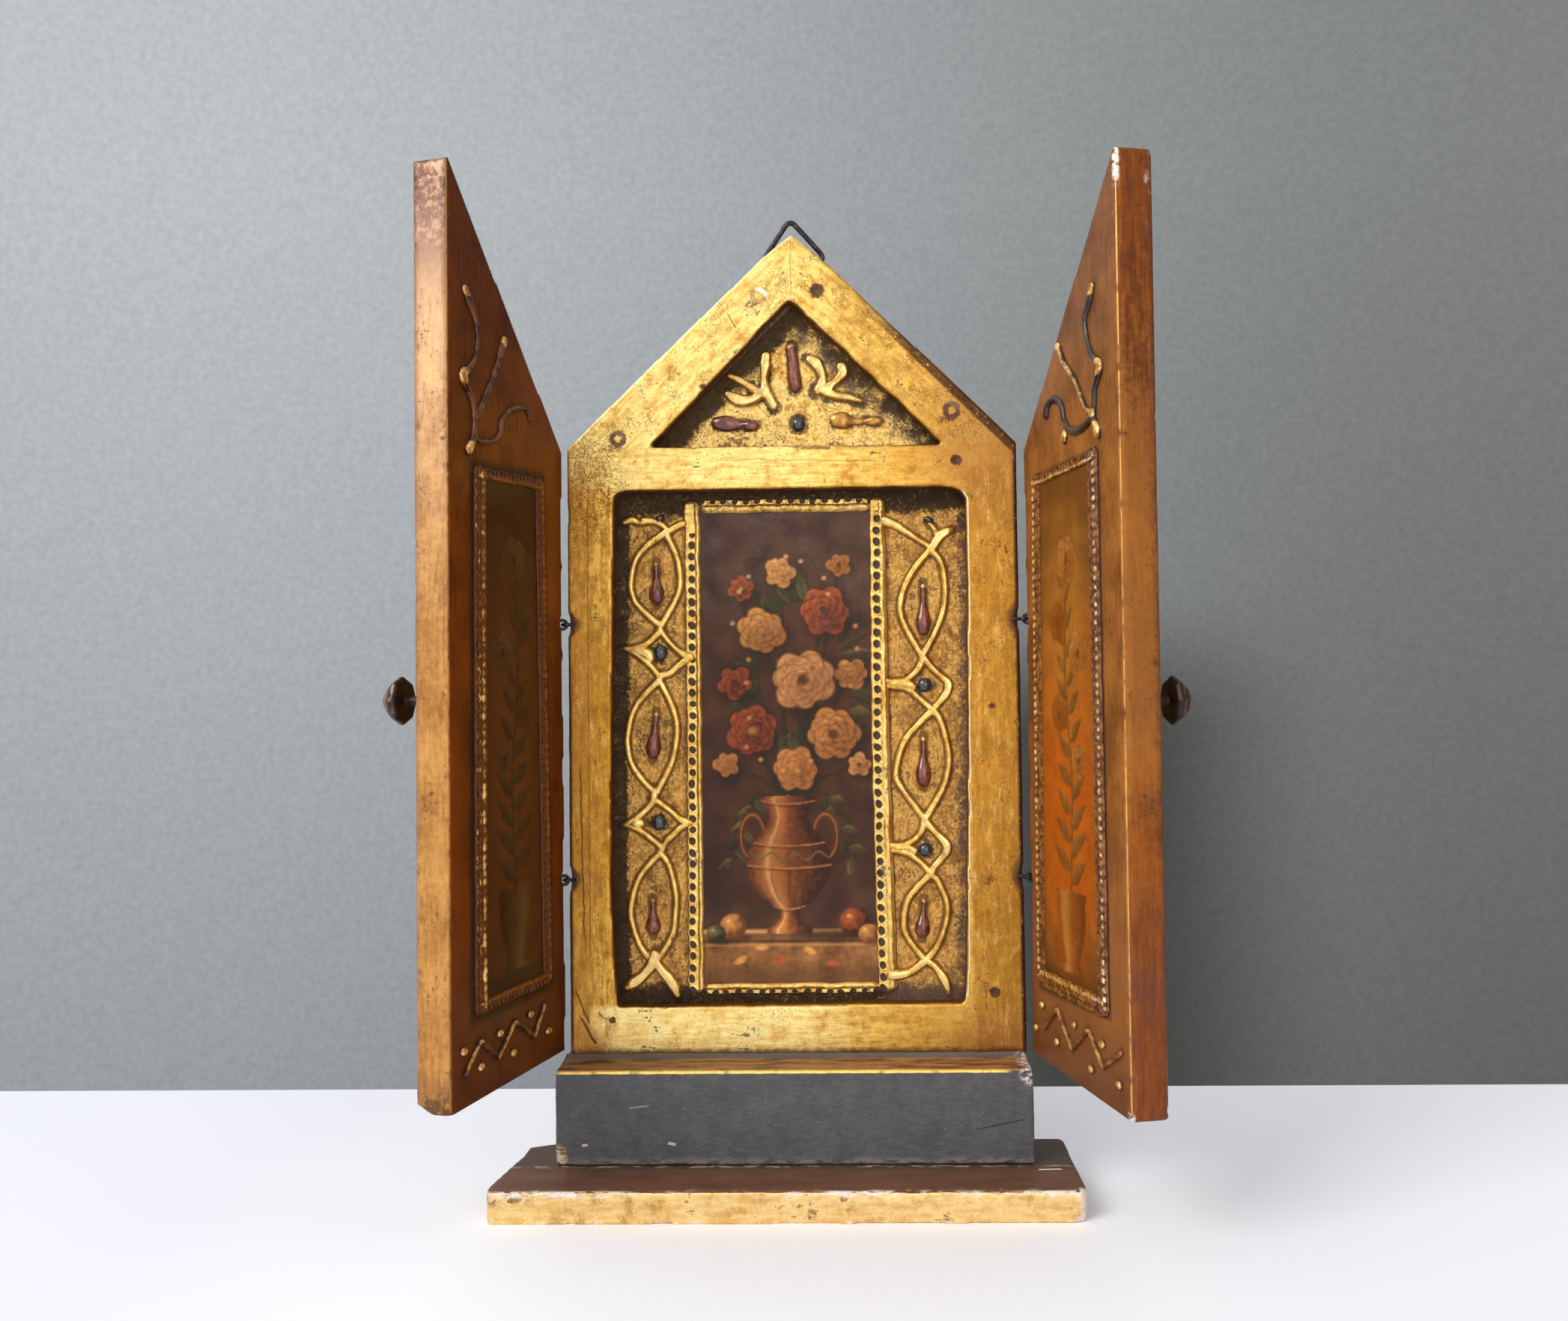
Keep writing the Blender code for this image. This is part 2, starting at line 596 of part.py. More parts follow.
def build_wing_eyes(wing, board, axis, corner):
    """Eyes in the inner arris of a wing, standing up and linked through the panel's eyes."""
    toward = Vector((-wing.side * 0.6, -0.8, 0))
    turn = Matrix.Rotation(math.atan2(toward.y, toward.x), 4, "Z") @ Matrix.Rotation(math.pi / 2, 4, "X")
    cutters = []
    for i, height in enumerate(EYE_HEIGHTS):
        place = Vector((0, 0, height - EYE_MIDDLE))
        mesh = tube_mesh([(x, y, 0) for x, y in eye_line(EYE_RADIUS, EYE_SHANK)], EYE_WIRE)
        mesh.transform(Matrix.Translation(toward * EYE_RADIUS * MM) @ turn)
        level = "lower" if i == 0 else "upper"
        eye = add_mesh(f"{wing.name}_eye_{level}", mesh, IRON, place, parent=axis)
        bore = rod_mesh(toward * 2, toward * (EYE_RADIUS + EYE_SHANK + 0.6), EYE_WIRE + GAP)
        cutters.append(add_mesh(f"{eye.name}_bore", bore, None, place, parent=axis, collection=CUTTERS))
        notch = rod_mesh((0, 0, -2.5), (0, 0, 2.5), 2.6, 8)
        notch_place = Vector((corner[0], corner[1], place.z))
        cutters.append(
            add_mesh(f"{eye.name}_notch", notch, None, notch_place, parent=axis, collection=CUTTERS))
    cut(board, cutters)


# Wings

def build_wing(wing):
    """One wing, laid out closed over the panel and turned open about its hinge axis."""
    axis = bpy.data.objects.new(f"{wing.name}_axis", None)
    axis.location = Vector((*wing.axis, LEDGE + EYE_MIDDLE)) * MM
    axis.rotation_euler = (0, -wing.side * math.radians(wing.sag), wing.side * math.radians(wing.opening))
    PARTS.objects.link(axis)
    corner = (wing.closed_edge - wing.axis[0], -CLOSED_GAP - wing.axis[1])
    place = (*corner, wing.lift - EYE_MIDDLE)

    def across(points):
        return [(-wing.side * s, z) for s, z in points]

    def add(name, mesh, material):
        return add_mesh(f"{wing.name}_{name}", mesh, material, place, parent=axis)

    outline = across([(0, WING_FOOT), (WING_WIDE, WING_FOOT), (WING_WIDE, WING_APEX), (0, WING_SHOULDER)])
    board = add("board", upright_mesh([outline], -WING_THICK, 0), LACQUER)
    soften(board, 0.5)
    build_wing_eyes(wing, board, axis, corner)

    face = GAP
    raised = face + WING_RELIEF
    (foot_in, foot_z, head_in, head_z), (head_out, foot_out), window = WING_BORDERS[wing.name]
    outer = across([(foot_in, foot_z), (foot_out, foot_z), (head_out, head_z), (head_in, head_z)])
    left, low, right, high = window
    inner = across([(left, low), (right, low), (right, high), (left + 0.8, high)])
    add("border", upright_mesh([outer, inner], face, raised), LACQUER)
    shrink = GAP
    print_outline = across([(left + shrink, low + shrink), (right - shrink, low + shrink),
                            (right - shrink, high - shrink), (left + 0.8 + shrink, high - shrink)])
    add("picture", upright_mesh([print_outline], face, face + 0.2), WING_PRINT)

    strokes = []
    for stroke in WING_SCROLLS[wing.name]:
        line = smooth(across(stroke), 2)
        swell = [0.85 + 0.35 * abs(2 * i / (len(line) - 1) - 1) ** 3 for i in range(len(line))]
        strokes.append(raised_line(line, 1.8, swell))
    add("scroll", fused(strokes), GILT)
    zigzag = raised_line(across(WING_ZIGZAGS[wing.name]), 1.6, None)
    add("zigzag", zigzag, GILT)
    build_knob(wing, axis, corner)


def raised_line(line, width, radii):
    """A low raised line on the inner face of a wing."""
    mesh = tube_mesh([(x, 0, z) for x, z in line], width / 2, radii=radii)
    mesh.transform(Matrix.Diagonal((1, WING_RELIEF / width, 1, 1)))
    lowest = min(vertex.co.y for vertex in mesh.vertices)
    mesh.transform(Matrix.Translation((0, GAP * MM - lowest, 0)))
    return mesh


def build_knob(wing, axis, corner):
    """A turned knob on the outer face: a thin neck and a faceted head."""
    profile = [(0.0, 12.0), (0.9, 11.6), (3.0, 9.6), (5.3, 7.5), (5.4, 6.6), (4.6, 6.1), (1.05, 5.7),
               (1.05, 0.0), (0.0, 0.0)]
    mesh = bpy.data.meshes.new("knob")
    vertices = [(r * MM, 0, h * MM) for r, h in profile]
    mesh.from_pydata(vertices, [(i, i + 1) for i in range(len(profile) - 1)], [])
    height = wing.lift + KNOB_HEIGHT - EYE_MIDDLE
    place = (corner[0] - wing.side * KNOB_REACH, corner[1] - WING_THICK - GAP, height)
    knob = add_mesh(f"{wing.name}_knob", mesh, BRONZE, place, (math.pi / 2, 0, 0), parent=axis)
    screw = knob.modifiers.new("turn", "SCREW")
    screw.steps = 8
    screw.render_steps = 8
    screw.use_merge_vertices = True
    screw.merge_threshold = 0.00005


# Hanger

def build_hanger():
    """A ring bent from wire, held to the back by a folded strap that it swings in."""
    place = (HANGER_X, HANGER_Y, LEDGE + HANGER_BAR)
    corners = [(0, HANGER_RISE), (-HANGER_HALF, 0), (HANGER_HALF, 0)]
    line = rounded(corners, [1.8, 2.0, 2.0], 5)
    ring = tube_mesh([(x, 0, z) for x, z in line], HANGER_WIRE, closed=True)
    add_mesh("hanger_ring", ring, IRON, place, (0, -math.radians(HANGER_SKEW), 0))

    inside = HANGER_WIRE + GAP
    outside = inside + STRAP_SHEET
    profile = [(-outside, -STRAP_DROP)] + arc((0, 0), outside, 180, -100, 12)
    profile += arc((0, 0), inside, -100, 180, 10) + [(-inside, -STRAP_DROP)]
    mesh = filled_mesh([profile], -STRAP_HALF, STRAP_HALF)
    mesh.transform(SIDEWAYS)
    add_mesh("hanger_strap", mesh, IRON, place)


build_stand()
STRIPS = build_panel()
build_picture()
build_trails()
build_gable_relief()
for each_wing in WINGS:
    build_panel_eyes(each_wing, STRIPS)
    build_wing(each_wing)
build_hanger()
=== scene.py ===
"""Dresses the gilt table triptych: gesso, worn leaf, brown lacquer, glazed drops, small paintings and wire.

Lengths are millimetres until a mesh is made. Heights on the panel and the wings count from the ledge.
In the finishes, p is the material, place a point on the piece, and a mask is 1 where its colour shows.
"""
import math

import bpy
import numpy as np
from mathutils import Matrix, Vector, noise


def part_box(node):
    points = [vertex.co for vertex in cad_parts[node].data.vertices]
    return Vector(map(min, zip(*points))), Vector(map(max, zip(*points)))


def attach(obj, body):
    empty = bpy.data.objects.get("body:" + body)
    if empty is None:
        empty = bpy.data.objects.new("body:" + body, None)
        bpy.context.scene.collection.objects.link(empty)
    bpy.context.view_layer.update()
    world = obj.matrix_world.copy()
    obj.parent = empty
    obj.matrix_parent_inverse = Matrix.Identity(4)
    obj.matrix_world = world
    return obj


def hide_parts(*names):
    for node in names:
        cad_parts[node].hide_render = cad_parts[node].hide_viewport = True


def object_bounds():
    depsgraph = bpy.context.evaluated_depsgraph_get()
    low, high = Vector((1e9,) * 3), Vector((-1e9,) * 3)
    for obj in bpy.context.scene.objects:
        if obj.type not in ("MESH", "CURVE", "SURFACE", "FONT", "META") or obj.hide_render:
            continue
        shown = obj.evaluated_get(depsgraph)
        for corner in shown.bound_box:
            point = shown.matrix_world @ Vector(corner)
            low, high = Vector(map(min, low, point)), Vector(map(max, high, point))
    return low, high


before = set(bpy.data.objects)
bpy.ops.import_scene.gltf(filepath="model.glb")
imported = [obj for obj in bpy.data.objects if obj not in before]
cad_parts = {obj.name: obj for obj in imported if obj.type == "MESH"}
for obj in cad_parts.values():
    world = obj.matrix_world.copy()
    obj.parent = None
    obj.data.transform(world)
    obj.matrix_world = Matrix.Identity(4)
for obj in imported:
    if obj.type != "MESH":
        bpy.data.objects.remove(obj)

CAD_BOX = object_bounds()
MM = 0.001


def low(node):
    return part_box(node)[0] / MM


def high(node):
    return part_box(node)[1] / MM


GAP = 0.3
LEDGE = low("back_board").z - GAP
BOARD = low("back_board").y          # front of the back board
FRAME_BACK = BOARD - 0.03
GROUND = BOARD - 0.25                # mean front of the gesso ground
PIPE_HIGH = 1.15
BASE_TOP = high("base_board").z

# Outlines of the centre panel
SIDES = ((-60.3, -60.0), (60.3, 60.1))
SHOULDER = 162.3
APEX = (0.8, 218.8)
WINDOW = [(-47.8, 13.1), (44.3, 13.8), (45.1, 25.0), (46.2, 75.0), (46.8, 128.0), (46.6, 147.6),
          (45.2, 149.6), (42.6, 150.5), (39.0, 150.8), (-44.4, 150.9), (-46.7, 150.4), (-47.7, 149.0),
          (-47.9, 142.0), (-48.6, 95.0), (-49.4, 48.0), (-48.6, 25.0)]
GABLE = [(-38.3, 162.3), (41.0, 162.0), (2.6, 199.8), (0.1, 201.7), (-1.6, 200.4)]
NAILS = ((-8.1, 202.9, 1.9, "ring"), (7.6, 204.0, 1.8, "hole"), (-46.4, 164.8, 1.9, "ring"),
         (43.2, 171.0, 2.0, "ring"), (44.2, 157.7, 1.3, "hole"), (-49.1, 9.9, 0.7, "hole"),
         (52.2, 16.6, 1.3, "hole"))

EYE_HEIGHTS = (47.0, 115.0)
RELIEF_GRAIN = 0.17                  # size of a face on the raised lines
GROUND_STEP = 0.3                    # and on the gesso ground
GOLDEN_ANGLE = 2.39996               # turn from one leaf or bud to the next


# ---------------------------------------------------------------- modelling

def take(*objects):
    """Select these objects alone; the first is the active one."""
    bpy.ops.object.select_all(action="DESELECT")
    for obj in objects:
        obj.select_set(True)
    bpy.context.view_layer.objects.active = objects[0]


def edit(select="SELECT"):
    bpy.ops.object.mode_set(mode="EDIT")
    bpy.ops.mesh.select_all(action=select)


def leave():
    bpy.ops.object.mode_set(mode="OBJECT")


def outward(obj):
    """Turn all faces outward."""
    take(obj)
    edit()
    bpy.ops.mesh.normals_make_consistent(inside=False)
    leave()


def soften(obj):
    take(obj)
    bpy.ops.object.shade_smooth()


def rows_of(obj, what):
    flat = np.empty(len(obj.data.vertices) * 3)
    obj.data.vertices.foreach_get(what, flat)
    return flat.reshape(-1, 3)


def points_of(obj):
    """The mesh's points in millimetres, as an array of rows."""
    return rows_of(obj, "co") / MM


def set_points(obj, points):
    obj.data.vertices.foreach_set("co", (points * MM).ravel())
    obj.data.update()


def normals_of(obj):
    return rows_of(obj, "normal")


def keep_value(obj, name, values):
    obj.data.attributes.new(name, "FLOAT", "POINT").data.foreach_set("value", np.asarray(values, float))


def keep_vector(obj, name, rows):
    kept = obj.data.attributes.new(name, "FLOAT_VECTOR", "POINT")
    kept.data.foreach_set("vector", np.asarray(rows).ravel())


def ripples(x, y, z):
    """Smooth noise at each of these places; any of the three may be one number for all."""
    return np.array([noise.noise(Vector(place)) for place in np.broadcast(x, y, z)])


def uneven(points, size, seed):
    """Smooth noise between about -1 and 1 at each point, with lumps of the given size."""
    shift = Vector((seed * 7.3, seed * 3.1, seed * 5.7))
    return np.array([noise.noise(Vector(p) / size + shift) for p in points])


def wavered(corners, step, sway):
    """A closed outline with a point every few millimetres, each a little off its line."""
    outline = []
    for i, corner in enumerate(corners):
        start, end = Vector(corner), Vector(corners[(i + 1) % len(corners)])
        pieces = max(1, round((end - start).length / step))
        across = (end - start).orthogonal().normalized()
        for k in range(pieces):
            point = start.lerp(end, k / pieces)
            if k:
                point += across * sway * noise.noise(Vector((point.x * 0.21, point.y * 0.21, i)))
            outline.append(tuple(point))
    return outline


def prism(name, outline, front, back):
    """A plate with its outline in X and Z, from front to back in Y."""
    bpy.ops.object.select_all(action="DESELECT")
    bpy.ops.mesh.primitive_circle_add(vertices=len(outline), radius=0.01, fill_type="NGON")
    plate = bpy.context.object
    plate.name = name
    set_points(plate, np.array([(x, front, z) for x, z in outline]))
    edit()
    bpy.ops.mesh.extrude_region_move(TRANSFORM_OT_translate={"value": (0, (back - front) * MM, 0)})
    leave()
    outward(plate)
    return plate


def ball(name, segments, rings):
    """A round body to be drawn out, and its points at unit radius."""
    bpy.ops.object.select_all(action="DESELECT")
    bpy.ops.mesh.primitive_uv_sphere_add(segments=segments, ring_count=rings, radius=1.0)
    body = bpy.context.object
    body.name = name
    return body, points_of(body) * MM


def swapped(obj, order):
    """Lay a form's axes out in another order."""
    set_points(obj, points_of(obj)[:, order])
    outward(obj)


def modify(obj, kind, **settings):
    """Add a modifier and apply it."""
    modifier = obj.modifiers.new(kind.lower(), kind)
    for key, value in settings.items():
        setattr(modifier, key, value)
    take(obj)
    bpy.ops.object.modifier_apply(modifier=modifier.name)
    return obj


def carve(obj, cutters, operation="DIFFERENCE"):
    for cutter in cutters:
        modify(obj, "BOOLEAN", operation=operation, solver="EXACT", object=cutter)
        bpy.data.objects.remove(cutter, do_unlink=True)
    return obj


def rounded_off(obj, grain, rounds, keep=1.0):
    """Coat a sharp form as gesso does: an even skin with eased arrises."""
    modify(obj, "REMESH", mode="VOXEL", voxel_size=grain * MM)
    modify(obj, "SMOOTH", factor=0.5, iterations=rounds)
    if keep < 1.0:
        modify(obj, "DECIMATE", ratio=keep)
    soften(obj)
    return obj


def push(obj, amounts):
    """Move each point along its own normal."""
    set_points(obj, points_of(obj) + normals_of(obj) * np.asarray(amounts)[:, None])


def joined(name, objects):
    take(*objects)
    bpy.ops.object.join()
    piece = bpy.context.object
    piece.name = name
    piece.data.name = name
    return piece


def slab(name, columns, rows, shape, back, facing=-1):
    """A fine grid whose points shape(u, v) places as X, Z and rise, closed behind at Y = back."""
    bpy.ops.object.select_all(action="DESELECT")
    bpy.ops.mesh.primitive_grid_add(x_subdivisions=columns, y_subdivisions=rows, size=1, calc_uvs=False)
    sheet = bpy.context.object
    sheet.name = name
    grid = points_of(sheet) * MM
    x, z, face = shape(grid[:, 0] + 0.5, grid[:, 1] + 0.5)
    set_points(sheet, np.column_stack((x, face, z)))
    count = len(grid)
    edit("DESELECT")
    bpy.ops.mesh.select_mode(type="EDGE")
    bpy.ops.mesh.select_non_manifold()
    bpy.ops.mesh.extrude_edges_move(TRANSFORM_OT_translate={"value": (0, 0.0001, 0)})
    bpy.ops.mesh.edge_face_add()
    leave()
    outward(sheet)
    points = points_of(sheet)
    points[count:, 1] = back
    set_points(sheet, points)
    soften(sheet)
    for polygon in sheet.data.polygons:
        if polygon.normal.y * facing < 0.4:
            polygon.use_smooth = False
    return sheet


def smooth(points, steps=6):
    """A Catmull-Rom curve through the points."""
    ends = [points[0]] + list(points) + [points[-1]]
    line = []
    for i in range(len(ends) - 3):
        p0, p1, p2, p3 = [Vector(p) for p in ends[i:i + 4]]
        for k in range(steps):
            t = k / steps
            bend = (2 * p0 - 5 * p1 + 4 * p2 - p3) * t ** 2 + (3 * p1 - p0 - 3 * p2 + p3) * t ** 3
            line.append(tuple((2 * p1 + (p2 - p0) * t + bend) / 2))
    line.append(tuple(points[-1]))
    return line


def bent(name, points, radius, closed=False, swell=None, resolution=3):
    """A round wire through points in millimetres; swell gives its relative thickness."""
    bpy.ops.object.select_all(action="DESELECT")
    bpy.ops.curve.primitive_nurbs_path_add()
    wire = bpy.context.object
    wire.name = name
    spline = wire.data.splines[0]
    spline.type = "POLY"
    spline.points.add(len(points) - len(spline.points))
    spline.use_cyclic_u = closed
    for i, (point, where) in enumerate(zip(spline.points, points)):
        point.co = (*(Vector(where) * MM), 1)
        point.radius = swell[i] if swell is not None else 1.0
    wire.data.bevel_depth = radius * MM
    wire.data.bevel_resolution = resolution
    wire.data.use_fill_caps = True
    bpy.ops.object.convert(target="MESH")
    wire = bpy.context.object
    edit()
    bpy.ops.mesh.remove_doubles(threshold=0.000002)
    leave()
    outward(wire)
    return wire


def distance_to(lines, x, z):
    """Distance of each point to the nearest of the lines, each a run of (x, z) points."""
    nearest = np.full(x.shape, 1e3)
    for line in lines:
        for (ax, az), (bx, bz) in zip(line[:-1], line[1:]):
            dx, dz = bx - ax, bz - az
            t = np.clip(((x - ax) * dx + (z - az) * dz) / (dx * dx + dz * dz + 1e-9), 0, 1)
            nearest = np.minimum(nearest, np.hypot(x - ax - t * dx, z - az - t * dz))
    return nearest


def fade(values, start, end):
    """1 at start and below, falling smoothly to 0 at end."""
    t = np.clip((np.asarray(values) - start) / (end - start), 0, 1)
    return 1 - t * t * (3 - 2 * t)


# ---------------------------------------------------------------- finishes

class Value:
    """One socket of a material, with the sums that the finishes use."""

    def __init__(self, paint, socket):
        self.paint = paint
        self.socket = socket

    def worked(self, operation, *terms):
        return self.paint.node("ShaderNodeMath", {"operation": operation}, dict(enumerate(terms)))

    def __add__(self, other):
        return self.worked("ADD", self, other)

    def __mul__(self, other):
        return self.worked("MULTIPLY", self, other)

    def __sub__(self, other):
        return self.worked("SUBTRACT", self, other)

    def __rsub__(self, other):
        return self.worked("SUBTRACT", other, self)

    def __truediv__(self, other):
        return self.worked("DIVIDE", self, other)

    def __pow__(self, other):
        return self.worked("POWER", self, other)

    def __abs__(self):
        return self.worked("ABSOLUTE", self)

    __radd__ = __add__
    __rmul__ = __mul__


class Nodes:
    """A tree of nodes under construction."""

    def __init__(self, owner):
        owner.use_nodes = True
        self.tree = owner.node_tree

    def join(self, socket, value):
        if isinstance(value, Value):
            self.tree.links.new(value.socket, socket)
        elif isinstance(value, tuple) and len(value) == 3 and socket.type == "RGBA":
            socket.default_value = (*value, 1.0)
        else:
            socket.default_value = value

    def node(self, kind, settings=None, sockets=None, output=0):
        node = self.tree.nodes.new(kind)
        for key, value in (settings or {}).items():
            setattr(node, key, value)
        for key, value in (sockets or {}).items():
            self.join(node.inputs[key], value)
        return Value(self, node.outputs[output])

    def scaled(self, vector, factors):
        return self.node("ShaderNodeVectorMath", {"operation": "MULTIPLY"}, {0: vector, 1: factors})

    def moved(self, vector, other):
        return self.node("ShaderNodeVectorMath", {"operation": "ADD"}, {0: vector, 1: other})

    def axes(self, vector):
        split = self.node("ShaderNodeSeparateXYZ", None, {0: vector}).socket.node
        return [Value(self, socket) for socket in split.outputs]

    def noise(self, vector, size, detail=4.0, rough=0.55, output=0):
        return self.node("ShaderNodeTexNoise", None, {
            "Vector": vector, "Scale": 1.0 / size, "Detail": detail, "Roughness": rough}, output)

    def stray(self, vector, size, amount, *grain):
        """Noise on both sides of zero."""
        return (self.noise(vector, size, *grain) - 0.5) * amount

    def patches(self, vector, size, start, end, *grain):
        """Patches where the noise lies between two levels."""
        return self.ramp(self.noise(vector, size, *grain), start, end)

    def warped(self, vector, size, amount):
        wobble = self.noise(vector, size, 2.0, output=1)
        wobble = self.node("ShaderNodeVectorMath", {"operation": "SUBTRACT"}, {0: wobble, 1: (0.5, 0.5, 0.5)})
        return self.moved(vector, self.scaled(wobble, (amount,) * 3))

    def cracks(self, vector, size, width):
        """1 along the lines of a net of cracks."""
        edge = self.node("ShaderNodeTexVoronoi", {"feature": "DISTANCE_TO_EDGE"},
                         {"Vector": vector, "Scale": 1.0 / size})
        return 1.0 - self.ramp(edge, 0.0, width / size)

    def ramp(self, value, start, end, low=0.0, high=1.0, course="SMOOTHSTEP"):
        return self.node("ShaderNodeMapRange", {"interpolation_type": course}, {
            "Value": value, "From Min": start, "From Max": end, "To Min": low, "To Max": high})

    def most(self, first, *others):
        for other in others:
            first = first.worked("MAXIMUM", first, other)
        return first

    def blend(self, amount, first, second):
        return self.node("ShaderNodeMix", {"data_type": "RGBA"}, {0: amount, 6: first, 7: second}, 2)

    def spot(self, x, z, centre, reach, soft):
        """1 inside an ellipse round the centre, fading at its rim."""
        dx = (x - centre[0]) / reach[0]
        dz = (z - centre[1]) / reach[1]
        return 1.0 - self.ramp((dx * dx + dz * dz) ** 0.5, 1.0 - soft, 1.0 + soft)

    def spots(self, x, z, *rows):
        """Several spots, each with its centre, reach, softness and, where it is faint, its strength."""
        made = [(self.spot(x, z, *row[:3]), *row[3:]) for row in rows]
        return self.most(*[spot * faint[0] if faint else spot for spot, *faint in made])

    def strokes(self, x, z, *rows):
        """Several scratches, each with its ends, width and, where it is faint, its strength."""
        made = [(self.stroke(x, z, *row[:3]), *row[3:]) for row in rows]
        return self.most(*[line * faint[0] if faint else line for line, *faint in made])

    def stroke(self, x, z, start, end, width):
        """1 along a straight scratch."""
        dx, dz = end[0] - start[0], end[1] - start[1]
        length = math.hypot(dx, dz)
        along = ((x - start[0]) * dx + (z - start[1]) * dz) / length ** 2
        side = ((x - start[0]) * dz - (z - start[1]) * dx) / length
        inside = self.ramp(abs(along - 0.5), 0.42, 0.52, 1.0, 0.0)
        return inside * self.ramp(abs(side), width * 0.4, width, 1.0, 0.0)


class Paint(Nodes):
    """A material under construction."""

    def __init__(self, name):
        self.material = bpy.data.materials.new(name)
        super().__init__(self.material)
        self.shader = self.tree.nodes["Principled BSDF"]

    def place(self):
        """Object coordinates in millimetres."""
        return self.scaled(self.node("ShaderNodeTexCoord", output=3), (1 / MM,) * 3)

    def kept(self, name, output=2):
        """A value stored at the piece's points; output 1 gives a place and output 0 a colour."""
        return self.node("ShaderNodeAttribute", {"attribute_name": name}, output=output)

    def done(self, sheen=0.5, **sockets):
        self.shader.inputs["Specular IOR Level"].default_value = sheen
        for key, value in sockets.items():
            self.join(self.shader.inputs[key.replace("_", " ").title()], value)
        return self.material

    def bumped(self, height, distance):
        sockets = {"Strength": 1.0, "Distance": distance * MM, "Height": height}
        return self.node("ShaderNodeBump", None, sockets)


LEAF = (0.97, 0.66, 0.165)
LEAF_DEEP = (0.50, 0.245, 0.036)
LEAF_BROWN = (0.125, 0.046, 0.018)
BOLE = (0.26, 0.06, 0.018)
GESSO = (0.80, 0.72, 0.62)
# Near-black for soot and painted shade in the recess's corners
SOOT_AND_SHADE = (0.017, 0.009, 0.005)
UMBER = (0.060, 0.026, 0.009)


def leafed(p, place, drawn, wear, bright, deep, brown=LEAF_BROWN):
    """Worn leaf: its colour, how far it is rubbed through, and its height.

    Drawn is either the scaling of its streaks or a noise of them.
    """
    if isinstance(drawn, tuple):
        drawn = p.noise(p.scaled(place, drawn), 1.0, 5.0, 0.6)
    cloud = p.noise(place, 9.0, 4.0, 0.6)
    lumps = p.noise(p.warped(place, 3.0, 1.6), 2.4, 4.0, 0.62)
    fine = p.noise(place, 0.55, 4.0, 0.7)
    tone = p.ramp(cloud * 0.30 + lumps * 0.22 + drawn * 0.34 + fine * 0.14, 0.41, 0.585)
    colour = p.blend(tone, deep, bright)
    grime_and_shade = p.ramp(lumps * 0.40 + cloud * 0.35 + fine * 0.25, 0.475, 0.37)
    colour = p.blend(grime_and_shade * (0.3 + 0.5 * wear), colour, (0.25, 0.090, 0.016))
    where = fine * 0.34 + lumps * 0.28 + drawn * 0.38 + (cloud - 0.5) * 0.5
    rubbed = p.ramp(where, 0.60 - 0.07 * wear, 0.665 - 0.06 * wear)
    veins = p.ramp(abs(lumps - 0.52), 0.013, 0.003) * p.ramp(cloud, 0.47, 0.58) * p.ramp(fine, 0.44, 0.54)
    rubbed = p.most(rubbed * 0.85, veins * (0.35 + 0.5 * wear))
    colour = p.blend(rubbed, colour, brown)
    height = fine * 0.35 + lumps * 0.35 + drawn * 0.4 - rubbed * 0.4
    return colour, rubbed, height


# ---------------------------------------------------------------- the panel's frame

def panel_outline():
    (left_foot, left_head), (right_foot, right_head) = SIDES
    return [(left_foot, GAP), (right_foot, GAP), (right_head, SHOULDER), (45.4, 176.9), (24.9, 197.0),
            (8.4, 213.1), (APEX[0], APEX[1] + 0.7), (-7.0, 213.2), (-23.9, 197.2), (-45.0, 177.0),
            (left_head, SHOULDER)]


def raise_heights(points):
    return [(x, z + LEDGE) for x, z in points]


def make_frame():
    """The frame as one coat of gesso over its six strips."""
    plate = prism("gilded_frame", raise_heights(wavered(panel_outline(), 6.0, 0.16)), 0.0, FRAME_BACK)
    cutters = [prism("recess", raise_heights(wavered(WINDOW, 4.0, 0.35)), -3.0, 9.0),
               prism("gable", raise_heights(wavered(GABLE, 3.0, 0.5)), -3.0, 9.0)]
    for x, z, radius, kind in NAILS:
        if kind == "hole":
            ring = [(x + radius * 0.8 * math.cos(a) * (1 + 0.2 * math.sin(2 * a + x)),
                     z + LEDGE + radius * 0.85 * math.sin(a)) for a in np.linspace(0, 2 * math.pi, 13)[:-1]]
            cutters.append(prism("pit", ring, -1.0, 0.6))
    for side, x in ((-1, -60.2), (1, 60.5)):
        for height in EYE_HEIGHTS:
            cutters.append(scoop((1.7, 2.8, 3.0), (x, 0.2, LEDGE + height), 0.22, height, side, 16, 10))
    carve(plate, cutters)
    rounded_off(plate, 0.5, 7, 0.62)
    points = points_of(plate)
    push(plate, 0.10 + 0.06 * uneven(points, 5.0, 1) + 0.04 * uneven(points, 1.7, 2))
    keep_value(plate, "turn", 1.0 + normals_of(plate)[:, 1])
    dress(plate, frame_gilding(), "gilded_wood", "stand",
          "left_stile", "right_stile", "bottom_rail", "cross_rail", "left_rake", "right_rake")


def scoop(reach, centre, ragged, height, side, segments, rings):
    """A ragged body that is cut out of an arris where an eye goes in."""
    cutter, unit = ball("scoop", segments, rings)
    lumps = 1 + ragged * uneven(unit * 3.0 + height, 1.6, side)
    set_points(cutter, unit * np.array(reach) * lumps[:, None] + np.array(centre))
    return cutter


